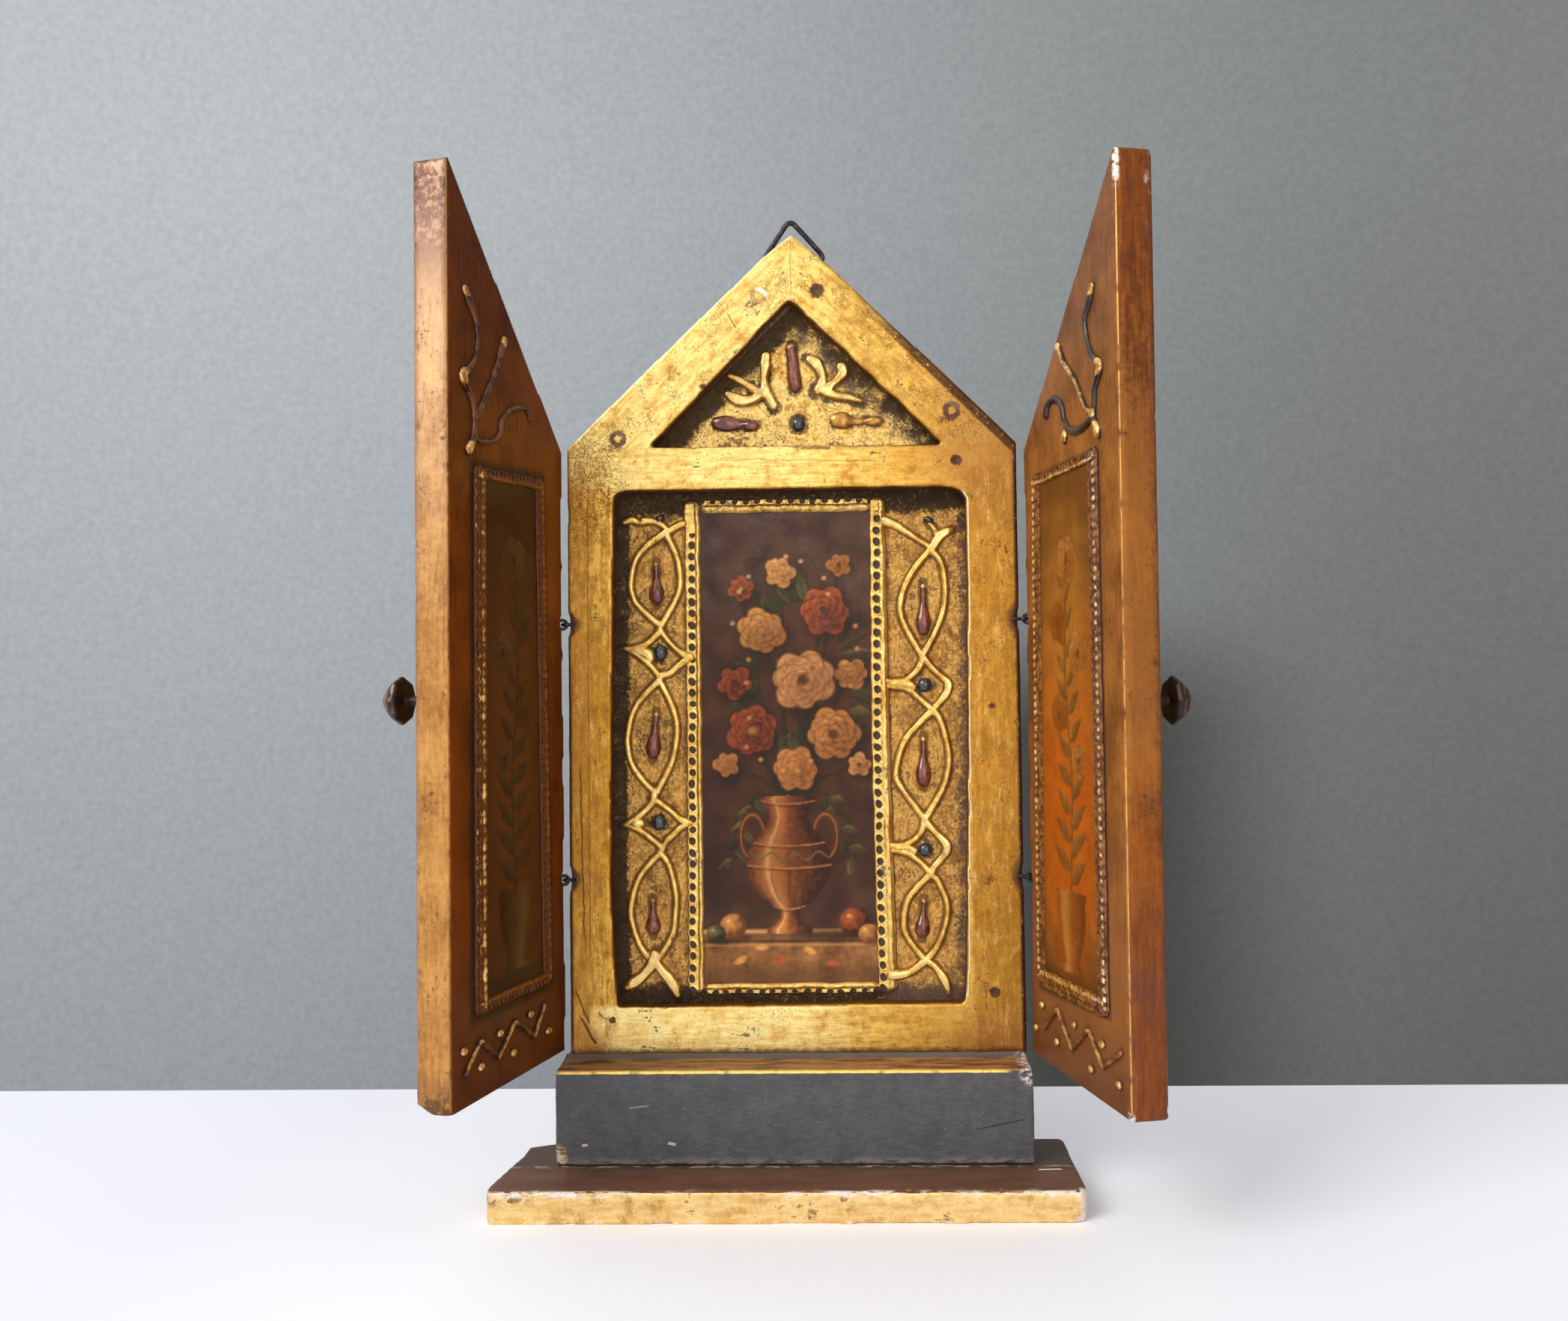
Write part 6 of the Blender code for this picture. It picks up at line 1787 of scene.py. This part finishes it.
def make_wing_picture(name):
    window = WING_BANDS[name][1]
    side = WINGS[name]["side"]
    low_left, low_right, high_right, high_left = [Vector(corner) for corner in window]
    step = 0.45

    def shape(u, v):
        foot = np.outer(1 - u, low_left) + np.outer(u, low_right)
        head = np.outer(1 - u, high_left) + np.outer(u, high_right)
        place = foot * (1 - v)[:, None] + head * v[:, None]
        return -side * (place[:, 0]), place[:, 1], 0.16 + 0.0 * u

    sheet = slab(f"{name}_painting", round(29.6 / step), round(124 / step), shape, 0.02, 1)
    s, z = laid_out(name, sheet)
    keep_colour(sheet, paint_spray(s, z, name == "right_wing"))
    on_wing(sheet, name, wing_picture_paint(name), "wing_print", f"{name}_picture")


def paint_spray(s, z, warm):
    """One tall potted plant in bloom, dim on the left wing and glowing on the right."""
    if warm:
        c = Canvas(s, z, (0.135, 0.044, 0.008))
        c.lay(fade(z, 96.0, 132.0) * (1 - fade(z, 24.0, 50.0)), (0.35, 0.080, 0.005), 0.9)
        c.lay(c.disc((27.0, 68.0), (13.0, 34.0), soft=0.6), (0.50, 0.086, 0.003), 0.75)
        c.lay(c.disc((27.0, 112.0), (13.0, 24.0), soft=0.7), (0.42, 0.165, 0.020), 0.6)
        dark, light, pale = (0.15, 0.030, 0.004), (0.33, 0.096, 0.010), (0.46, 0.19, 0.034)
        leaf_dark, leaf_light = (0.10, 0.036, 0.007), (0.34, 0.125, 0.016)
    else:
        c = Canvas(s, z, (0.050, 0.010, 0.002))
        c.lay(c.disc((30.0, 80.0), (12.0, 44.0), soft=0.8), (0.115, 0.030, 0.004), 0.8)
        c.lay(fade(146.0 - z, 0.0, 44.0), (0.026, 0.007, 0.002), 0.6)
        dark, light, pale = (0.024, 0.007, 0.002), (0.085, 0.034, 0.008), (0.110, 0.046, 0.013)
        leaf_dark, leaf_light = (0.018, 0.008, 0.003), (0.070, 0.032, 0.009)
    middle = 28.0
    c.lay(np.clip(c.coarse * 1.5, 0, 1), pale, 0.10)
    c.stem([(middle, 46.0), (middle + 2.0, 74.0), (middle - 1.5, 102.0), (middle + 0.5, 130.0)], 0.8,
           leaf_dark, leaf_light)
    for k in range(22):
        t = k / 21
        sign = -1 if k % 2 else 1
        root = (middle + 1.6 * math.sin(t * 5.0), 50.0 + 72.0 * t)
        c.leaf(root, 12.0 - 5.0 * t, 2.6 - 1.0 * t, math.pi / 2 - sign * (1.05 - 0.3 * t),
               leaf_dark, leaf_light)
    for k, (ds, hz, size) in enumerate(((0.5, 129.0, 6.4), (-6.0, 114.0, 5.4), (6.4, 106.0, 5.8),
                                        (-5.6, 91.0, 5.0), (6.0, 80.0, 4.6))):
        c.flower((middle + ds, hz), size, 5 + k % 2, dark, pale if k % 2 == 0 else light, dark, k * 0.9, 4)
    c.turned_form(((28.0, 6.0), (29.5, 6.2), (31.0, 4.4), (36.0, 7.2), (42.0, 9.0), (46.0, 8.6), (47.0, 9.4),
                   (48.0, 9.4), (48.4, 0)), middle, dark, light, pale, pale)
    c.lay(fade(z, 27.6, 28.6), leaf_dark, 0.8)
    return np.clip(c.colour * (1 + 0.14 * c.grain + 0.18 * c.coarse)[:, None], 0, 1)


def wing_picture_paint(name):
    p = Paint(f"{name}_varnished_print")
    place = p.kept("place", 1)
    colour = p.kept("paint", 0)
    cloud = p.noise(place, 7.0, 4.0, 0.6)
    colour = p.blend(p.ramp(cloud, 0.5, 0.75) * 0.3, colour, (0.02, 0.008, 0.004))
    return p.done(0.25, base_color=colour, roughness=0.30 + cloud * 0.12,
                  normal=p.bumped(p.noise(place, 1.0, 3.0) * 0.5, 0.05))


def lacquer_inside(p, warm, place, tone):
    """The toned face towards the viewer, with painted shade at its foot and head, and the dirt and painted
    shade beside its raised work.
    """
    s, _, z = p.axes(place)
    if warm:
        inner = p.blend(tone, (0.150, 0.048, 0.011), (0.35, 0.130, 0.028))
        inner = p.blend(p.ramp(z, 80.0, 30.0) * 0.6, inner, (0.250, 0.092, 0.034))
    else:
        inner = p.blend(tone, (0.070, 0.014, 0.002), (0.190, 0.044, 0.004))
        inner = p.blend(p.ramp(s, 30.0, 4.0) * p.ramp(z, 70.0, 140.0) * 0.4, inner, (0.24, 0.074, 0.008))
        inner = p.blend(p.ramp(s, 48.0, 58.0) * p.ramp(z, 150.0, 60.0) * 0.5, inner, (0.22, 0.046, 0.004))
    shade = p.ramp(z, 26.0, 4.0) * 0.5 + p.ramp(z, 150.0, 190.0) * 0.25
    if not warm:
        shade = p.most(shade, p.ramp(z, 60.0, 16.0) * 0.55)
    inner = p.blend(shade, inner, (0.07, 0.022, 0.008))
    # Dirt with painted shade beside the raised work and along the border
    dirt_and_shade = p.ramp(p.kept("grime_and_shade") + p.stray(place, 1.6, 0.6, 4.0, 0.65), 0.25, 0.95)
    inner = p.blend(dirt_and_shade * 0.85, inner, (0.020, 0.010, 0.006))
    return inner, dirt_and_shade


def lacquer_edge(p, warm, place, cloud, fine, drawn):
    """The free edge, where leaf is rubbed to red and brown, and its dark specks."""
    _, y, z = p.axes(place)
    streaks = p.noise(p.scaled(place, (1.0, 1.2, 0.16)), 1.0, 5.0, 0.65)
    edge_tone = p.ramp(streaks * 0.3 + cloud * 0.45 + fine * 0.25, 0.38, 0.62)
    if warm:
        edge = p.blend(edge_tone, (0.150, 0.036, 0.006), (0.35, 0.098, 0.010))
        edge = p.blend(p.ramp(z, 60.0, 90.0) * p.ramp(z, 190.0, 160.0) * 0.5, edge, (0.34, 0.135, 0.026))
    else:
        higher = p.ramp(z, 90.0, 190.0)
        edge = p.blend(edge_tone, p.blend(higher, (0.33, 0.135, 0.034), (0.34, 0.185, 0.095)),
                       p.blend(higher, (0.60, 0.305, 0.085), (0.56, 0.345, 0.180)))
    specks = p.ramp(p.noise(place, 1.0, 5.0, 0.75) + p.noise(place, 9.0, 2.0) * 0.4, 0.80, 0.90)
    edge = p.blend(specks * 0.75, edge, (0.07, 0.025, 0.016))
    if warm:
        head = p.most(p.ramp(z, 132.0, 170.0), p.ramp(z, 66.0, 34.0))
        patch = p.ramp(fine * 0.30 + cloud * 0.40 + drawn * 0.30, 0.42, 0.60)
        burnt = p.blend(p.ramp(z, 60.0, 120.0), (0.115, 0.034, 0.024), (0.085, 0.020, 0.006))
        edge = p.blend(head * patch * 0.85, edge, burnt)
    else:
        pale = p.blend(fine, (0.24, 0.125, 0.085), (0.53, 0.37, 0.28))
        edge = p.blend(p.ramp(z, 178.0, 204.0) * 0.7, edge, pale)
        head = p.most(p.ramp(z, 176.0, 216.0), p.ramp(z, 12.0, 3.0))
        edge = p.blend(head * p.ramp(fine * 0.5 + cloud * 0.5, 0.42, 0.54) * 0.85,
                       edge, (0.075, 0.030, 0.028))
    pink = p.ramp(y, -7.0, -7.9) * p.patches(p.scaled(place, (1.0, 1.0, 0.4)), 0.9, 0.46, 0.58, 4.0, 0.7)
    edge = p.blend(pink * 0.6, edge, (0.42, 0.20, 0.13) if not warm else (0.16, 0.05, 0.03))
    return edge, specks


def lacquer(name):
    """Toned lacquer inside, worn leaf on the edges, and plain brown outside."""
    p = Paint(f"{name}_lacquer")
    warm = name == "right_wing"
    place = p.kept("place", 1)
    s, y, z = p.axes(place)
    nick = p.kept("nick")
    drawn = p.noise(p.scaled(place, (1.4, 1.0, 0.10)), 1.0, 5.0, 0.65)
    cloud = p.noise(place, 14.0, 4.0, 0.6)
    fine = p.noise(place, 1.4, 5.0, 0.7)
    tone = p.ramp(cloud * 0.5 + drawn * 0.3 + fine * 0.2, 0.38, 0.62)
    inner, dirt_and_shade = lacquer_inside(p, warm, place, tone)
    edge, specks = lacquer_edge(p, warm, place, cloud, fine, drawn)
    on_edge = p.most(p.ramp(s, WING_WIDE - 0.9, WING_WIDE - 0.4), p.ramp(s, 0.9, 0.4), p.ramp(z, 3.0, 2.5))
    outer = p.blend(tone, (0.22, 0.085, 0.02), (0.46, 0.22, 0.05))
    inside = p.ramp(y, -1.1, -0.5)
    colour = p.blend(inside, outer, inner)
    colour = p.blend(on_edge * p.ramp(y, -0.35, -0.75), colour, edge)
    # A bright line on the inner arris of the free edge, and gesso in the nicks
    broken = p.patches(p.scaled(place, (1.0, 1.0, 0.22)), 1.0, 0.36, 0.52, 4.0, 0.7)
    arris = p.ramp(abs(s - WING_WIDE + 0.2), 0.34, 0.10) * p.ramp(abs(y + 0.25), 0.34, 0.10)
    arris = arris * (0.15 + broken * 0.85)
    colour = p.blend(arris * (0.85 if warm else 0.35), colour, (0.90, 0.50, 0.12))
    chipped = p.ramp(fine, 0.44, 0.54)
    tip = 0.0
    if warm:
        tip = p.most(p.ramp(z, 209.0, 213.0), p.ramp(z, 4.6, 3.4) * 0.8) * p.ramp(abs(y + 0.3), 1.1, 0.5)
        tip = tip * p.ramp(s, 58.0, 58.9)
    gesso = p.most(nick * chipped * p.ramp(z, 196.0, 206.0) * (0.8 if warm else 0.3), tip * chipped)
    colour = p.blend(nick * 0.6, colour, (0.12, 0.04, 0.015))
    colour = p.blend(gesso, colour, GESSO)
    leaf = on_edge * p.ramp(y, -0.35, -0.75) * (0.15 if warm else 0.35) * (1.0 - specks)
    metal = (1.0 - inside) * 0.25 + leaf
    return p.done(0.17 if warm else 0.11, base_color=colour, metallic=p.most(metal, arris * 0.7),
                  roughness=0.42 - inside * 0.10 + dirt_and_shade * 0.1,
                  normal=p.bumped(drawn * 0.4 + fine * 0.4, 0.10))


def wing_gold(name, faint=False):
    """Gold left on the raised lines where they are fullest; they are toned dark elsewhere."""
    p = Paint(f"{name}_raised_gold")
    warm = name == "right_wing"
    place = p.kept("place", 1)
    rise, gilt = p.kept("rise"), p.kept("gilt")
    patch = p.noise(place, 3.4, 4.0, 0.6)
    gold = p.blend(p.patches(place, 1.4, 0.38, 0.62, 4.0, 0.6), (0.46, 0.19, 0.030), (0.95, 0.62, 0.25))
    tones = {(True, True): ((0.13, 0.044, 0.012), (0.36, 0.150, 0.040)),
             (False, True): ((0.024, 0.007, 0.003), (0.13, 0.038, 0.007)),
             (True, False): ((0.009, 0.009, 0.012), (0.055, 0.032, 0.024)),
             (False, False): ((0.034, 0.011, 0.005), (0.17, 0.052, 0.016))}[warm, faint]
    dark = p.blend(p.ramp(patch, 0.40, 0.62), *tones)
    show = p.ramp(rise * 0.45 + gilt * 0.8 + (patch - 0.5) * 0.9, 0.80, 1.10)
    colour = p.blend(show, dark, gold)
    return p.done(0.5, base_color=colour, metallic=show * 0.65, roughness=0.22,
                  normal=p.bumped(p.noise(place, 1.6, 2.0), 0.05))


def wing_band_finish(name):
    p = Paint(f"{name}_punched_finish")
    warm = name == "right_wing"
    place = p.kept("place", 1)
    rise = p.kept("rise")
    tone = p.patches(place, 1.6, 0.40, 0.62, 5.0, 0.65)
    brown = p.blend(tone, (0.10, 0.030, 0.006), (0.30, 0.115, 0.018) if warm else (0.14, 0.044, 0.007))
    s, _, _ = p.axes(place)
    # On the left wing a gold line runs along the free band's crest: a painted highlight
    line = p.ramp(s, 44.7, 45.6) if not warm else 0.0
    crest = p.ramp(rise + p.stray(place, 2.4, 1.3, 4.0, 0.65) + line * 0.12, 0.74, 1.02)
    colour = p.blend(crest, brown, (0.88, 0.56, 0.20) if warm
                     else p.blend(line, (0.25, 0.090, 0.018), (0.98, 0.60, 0.17)))
    if warm:
        free = p.ramp(s, 41.5, 43.0)
        colour = p.blend(free * 0.65, colour, p.blend(tone, (0.085, 0.032, 0.020), (0.25, 0.105, 0.050)))
        # Cream on the fullest crests of the free and hinge bands: painted highlights, with pale gesso crumbs
        fullest = p.ramp(p.noise(place, 1.5, 4.0, 0.65) * 0.5 + rise * 0.5, 0.66, 0.76)
        crumbs_and_highlights = p.most(free, p.ramp(s, 12.0, 11.0)) * fullest
        colour = p.blend(crumbs_and_highlights, colour, (0.92, 0.74, 0.48))
    # Punch holes near-black: painted shade with dirt
    pits = p.ramp(rise, 0.30, 0.16)
    colour = p.blend(pits * 0.95, colour, (0.012, 0.005, 0.003))
    return p.done(0.16, base_color=colour, metallic=crest * (0.7 if warm else 0.25),
                  roughness=0.30 + pits * 0.2, normal=p.bumped(tone, 0.05))


def make_knob(name):
    """A turned neck and a broad faceted head, spun round its axis."""
    side = WINGS[name]["side"]
    profile = [(0.01, 12.0), (1.0, 11.7), (3.4, 9.7), (5.35, 7.6), (5.45, 6.8), (4.7, 6.15), (1.25, 5.9),
               (1.05, 5.5), (1.05, -0.3)]
    bpy.ops.object.select_all(action="DESELECT")
    bpy.ops.mesh.primitive_circle_add(vertices=len(profile), radius=0.01, fill_type="NOTHING")
    knob = bpy.context.object
    knob.name = f"{name}_faceted_knob"
    set_points(knob, np.array([(r, 0.0, h) for r, h in profile]))
    edit("DESELECT")
    bpy.ops.mesh.select_mode(type="EDGE")
    leave()
    closing = {0, len(profile) - 1}
    for edge in knob.data.edges:
        edge.select = set(edge.vertices) == closing
    bpy.ops.object.mode_set(mode="EDIT")
    bpy.ops.mesh.delete(type="EDGE")
    bpy.ops.mesh.select_all(action="SELECT")
    bpy.ops.mesh.spin(steps=8, angle=2 * math.pi, center=(0, 0, 0), axis=(0, 0, 1))
    bpy.ops.mesh.select_all(action="SELECT")
    bpy.ops.mesh.remove_doubles(threshold=0.00003)
    bpy.ops.mesh.select_all(action="DESELECT")
    bpy.ops.mesh.select_non_manifold()
    bpy.ops.mesh.edge_face_add()
    leave()
    outward(knob)
    modify(knob, "BEVEL", width=0.35 * MM, segments=2, limit_method="ANGLE", angle_limit=math.radians(18))
    points = points_of(knob)
    turned = np.column_stack((points[:, 0], -points[:, 2], points[:, 1]))
    place = np.array((-side * 54.0, -WING_THICK - GAP * 0.5 + (1.0 if side > 0 else -0.1), 94.4))
    set_points(knob, turned * np.array((1.0, 1.0, 1.05)) + place)
    outward(knob)
    on_wing(knob, name, bronze(), "dark_bronze", f"{name}_knob")


def bronze():
    p = Paint("patinated_bronze")
    place = p.kept("place", 1)
    _, y, _ = p.axes(place)
    cloud = p.noise(place, 2.4, 5.0, 0.65)
    worn = p.ramp(y, -16.4, -18.0)
    dark = p.blend(cloud, (0.016, 0.010, 0.009), (0.060, 0.034, 0.026))
    light = p.blend(cloud, (0.16, 0.095, 0.070), (0.42, 0.28, 0.20))
    # A lighter ring round the head's widest rim: a painted highlight
    rim = p.ramp(abs(y + 15.6), 0.8, 0.2) * p.ramp(cloud, 0.44, 0.56)
    colour = p.blend(p.most(worn, rim * 0.6), dark, light)
    return p.done(base_color=colour, metallic=0.75, roughness=0.34 + cloud * 0.15,
                  normal=p.bumped(cloud, 0.10))


# ---------------------------------------------------------------- wire

def iron():
    p = Paint("oxidised_wire")
    place = p.place()
    rust = p.patches(place, 1.1, 0.48, 0.62, 5.0, 0.7)
    colour = p.blend(rust, (0.035, 0.033, 0.035), (0.085, 0.058, 0.046))
    return p.done(base_color=colour, metallic=0.9 - rust * 0.5, roughness=0.34 + rust * 0.25,
                  normal=p.bumped(p.noise(place, 0.5, 4.0), 0.04))


def make_hanger(material):
    lo, hi = low("hanger_strap"), high("hanger_strap")
    centre_x = (lo.x + hi.x) / 2
    wire = 0.72
    centre_y = (lo.y + hi.y) / 2
    bar = LEDGE + 214.8
    rise, half, skew = 12.6, 9.65, math.radians(3.9)
    corners = [(0.0, rise), (-half, 0.0), (half, 0.0)]
    line = []
    for i, corner in enumerate(corners):
        here = Vector(corner)
        before = (Vector(corners[i - 1]) - here).normalized()
        after = (Vector(corners[(i + 1) % 3]) - here).normalized()
        reach = 1.9 / math.tan(before.angle(after) / 2)
        first, last = here + before * reach, here + after * reach
        line += [tuple(first.lerp(here, k / 8).lerp(here.lerp(last, k / 8), k / 8)) for k in range(9)]
    turned = [(x * math.cos(skew) - z * math.sin(skew), z * math.cos(skew) + x * math.sin(skew))
              for x, z in line]
    path = [(centre_x + x, centre_y, bar + z) for x, z in turned]
    ring = bent("hanging_ring", path, wire, True, resolution=6)
    soften(ring)
    dress(ring, material, "iron_wire", "hanger", "hanger_ring")


def eye_points(radius, shank):
    loop = [(radius * math.cos(a), radius * math.sin(a)) for a in np.radians(np.linspace(52, 330, 25))]
    return loop + [(radius * 1.3, -radius * 0.12), (radius + 1.2, 0.0), (shank, 0.0)]


def make_eyes(name, material):
    """The two pairs of linked eyes of one wing."""
    w = WINGS[name]
    side, axis = w["side"], w["axis"]
    stile = "left_stile" if side < 0 else "right_stile"
    heading = math.radians(20 if side < 0 else 160)
    opened = side * math.radians(w["opening"])
    toward = Vector((-side * 0.6, -0.8))
    for level, height in zip(("lower", "upper"), EYE_HEIGHTS):
        flat = [(axis[0] + x * math.cos(heading) - y * math.sin(heading),
                 axis[1] + x * math.sin(heading) + y * math.cos(heading), LEDGE + height)
                for x, y in eye_points(1.2, 6.6)]
        eye = bent(f"{stile}_wire_eye_{level}", flat, 0.45)
        soften(eye)
        dress(eye, material, "iron_wire", "stand", f"{stile}_eye_{level}")
        head = Vector((toward.x * math.cos(opened) - toward.y * math.sin(opened),
                       toward.x * math.sin(opened) + toward.y * math.cos(opened)))
        upright = [(axis[0] + head.x * (x + 1.2), axis[1] + head.y * (x + 1.2), LEDGE + height + y)
                   for x, y in eye_points(1.2, 6.6)]
        link = bent(f"{name}_wire_eye_{level}", upright, 0.45)
        soften(link)
        dress(link, material, "iron_wire", name, f"{name}_eye_{level}")


# ---------------------------------------------------------------- hidden wood and the room

def plain_wood():
    p = Paint("toned_back")
    place = p.place()
    grain = p.noise(p.scaled(place, (1.1, 1.0, 0.06)), 1.0, 5.0, 0.6)
    colour = p.blend(p.ramp(grain, 0.36, 0.64), (0.075, 0.032, 0.013), (0.20, 0.095, 0.038))
    worn = p.patches(place, 3.0, 0.56, 0.66, 5.0, 0.7)
    colour = p.blend(worn * 0.5, colour, (0.30, 0.17, 0.07))
    return p.done(base_color=colour, roughness=0.58, normal=p.bumped(grain, 0.14))


def repaint(node, material):
    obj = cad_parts[node]
    obj.data.materials.clear()
    obj.data.materials.append(material)


def make_daylight():
    """An even glow from the upper left for the piece; a rough wall, only for the eye, behind it."""
    world = bpy.data.worlds.new("room")
    bpy.context.scene.world = world
    n = Nodes(world)
    direction = n.node("ShaderNodeTexCoord")
    # Daylight comes from the upper left, in front of the piece
    daylight = Vector((-0.50, -0.62, 0.60)).normalized()
    facing = n.node("ShaderNodeVectorMath", {"operation": "DOT_PRODUCT"}, {0: direction, 1: daylight},
                    "Value")
    glow = n.tree.nodes["Background"]
    n.join(glow.inputs["Strength"], n.ramp(facing, -0.75, 1.0, 0.14, 1.02))
    n.join(glow.inputs["Color"], (1.0, 0.995, 1.0))
    x, _, z = n.axes(direction)
    # The wall seen by the eye is painted lighter at the upper left and darker to the right and towards its
    # foot: painted light
    across_wall = n.ramp(x, -0.5, 0.5)
    wall = n.blend(n.ramp(z, -0.3, 0.35, course="LINEAR"),
                   n.blend(across_wall, (0.30, 0.32, 0.345), (0.115, 0.115, 0.110)),
                   n.blend(across_wall, (0.52, 0.55, 0.575), (0.215, 0.225, 0.222)))
    # The shadow that the right wing throws on the wall
    shadow = n.ramp(z, 0.085, -0.03) * n.ramp(x, 0.37, 0.21) * n.ramp(x, 0.06, 0.16)
    wall = n.blend(shadow, wall, (0.060, 0.060, 0.056))
    tuft = n.ramp(n.noise(direction, 1 / 260, 4.0, 0.5), 0.3, 0.7, 0.93, 1.07, "LINEAR")
    seen = n.node("ShaderNodeBackground", None, {"Color": wall, "Strength": tuft})
    to_eye = n.node("ShaderNodeLightPath", output="Is Camera Ray")
    both = n.node("ShaderNodeMixShader", None, {0: to_eye, 1: Value(n, glow.outputs[0]), 2: seen})
    n.join(n.tree.nodes["World Output"].inputs["Surface"], both)


def make_room():
    bpy.ops.object.select_all(action="DESELECT")
    bpy.ops.mesh.primitive_plane_add(size=1)
    floor = bpy.context.object
    floor.name = "table_top"
    points = points_of(floor) * MM
    wide, far_edge, near_edge, height = 3600.0, 83.0, -1900.0, -0.02
    set_points(floor, np.column_stack((points[:, 0] * wide, np.where(points[:, 1] > 0, far_edge, near_edge),
                                       np.full(len(points), height))))
    p = Paint("white_table")
    x, _, _ = p.axes(p.place())
    # The table is painted lighter from left of the piece rightwards and darker at the far left: painted light
    # evening out how the lamp falls on it
    table_white_and_painted_light = p.blend(p.ramp(x, -60.0, -170.0), (0.92, 0.94, 0.985), (0.83, 0.85, 0.93))
    floor.data.materials.append(p.done(base_color=table_white_and_painted_light, roughness=0.75))
    make_daylight()
    for name, place, aim, size, power, tint in (
            ("window", (-960.0, -930.0, 1050.0), (0, 0, 120.0), 760.0, 14.8, (1.0, 0.985, 0.96)),
            ("fill", (260.0, -1150.0, 320.0), (0, 0, 110.0), 700.0, 2.2, (0.97, 0.98, 1.0))):
        data = bpy.data.lights.new(name, "AREA")
        data.size = size * MM
        data.energy = power
        data.color = tint
        lamp = bpy.data.objects.new(name, data)
        bpy.context.scene.collection.objects.link(lamp)
        lamp.location = Vector(place) * MM
        lamp.rotation_euler = (Vector(aim) - Vector(place)).to_track_quat("-Z", "Y").to_euler()


def make_camera():
    place, swing, rise, roll = (7.04, -360.66, 124.78), 1.504, 91.80, -0.682
    data = bpy.data.cameras.new("camera")
    data.lens = 31.095
    data.sensor_width = 36.0
    data.clip_start = 0.01
    camera = bpy.data.objects.new("camera", data)
    bpy.context.scene.collection.objects.link(camera)
    camera.matrix_world = (Matrix.Translation(Vector(place) * MM)
                           @ Matrix.Rotation(math.radians(swing), 4, "Z")
                           @ Matrix.Rotation(math.radians(rise), 4, "X")
                           @ Matrix.Rotation(math.radians(roll), 4, "Z"))
    bpy.context.scene.camera = camera


make_camera()
make_room()
bpy.context.scene.view_settings.view_transform = "Standard"
make_frame()
make_trails()
make_gable()
make_border()
make_picture()
make_base()
make_plinth()
for wing_name in WINGS:
    make_wing(wing_name)
wire_iron = iron()
make_hanger(wire_iron)
for wing_name in WINGS:
    make_eyes(wing_name, wire_iron)
repaint("back_board", plain_wood())
repaint("hanger_strap", wire_iron)
bpy.ops.object.select_all(action="DESELECT")
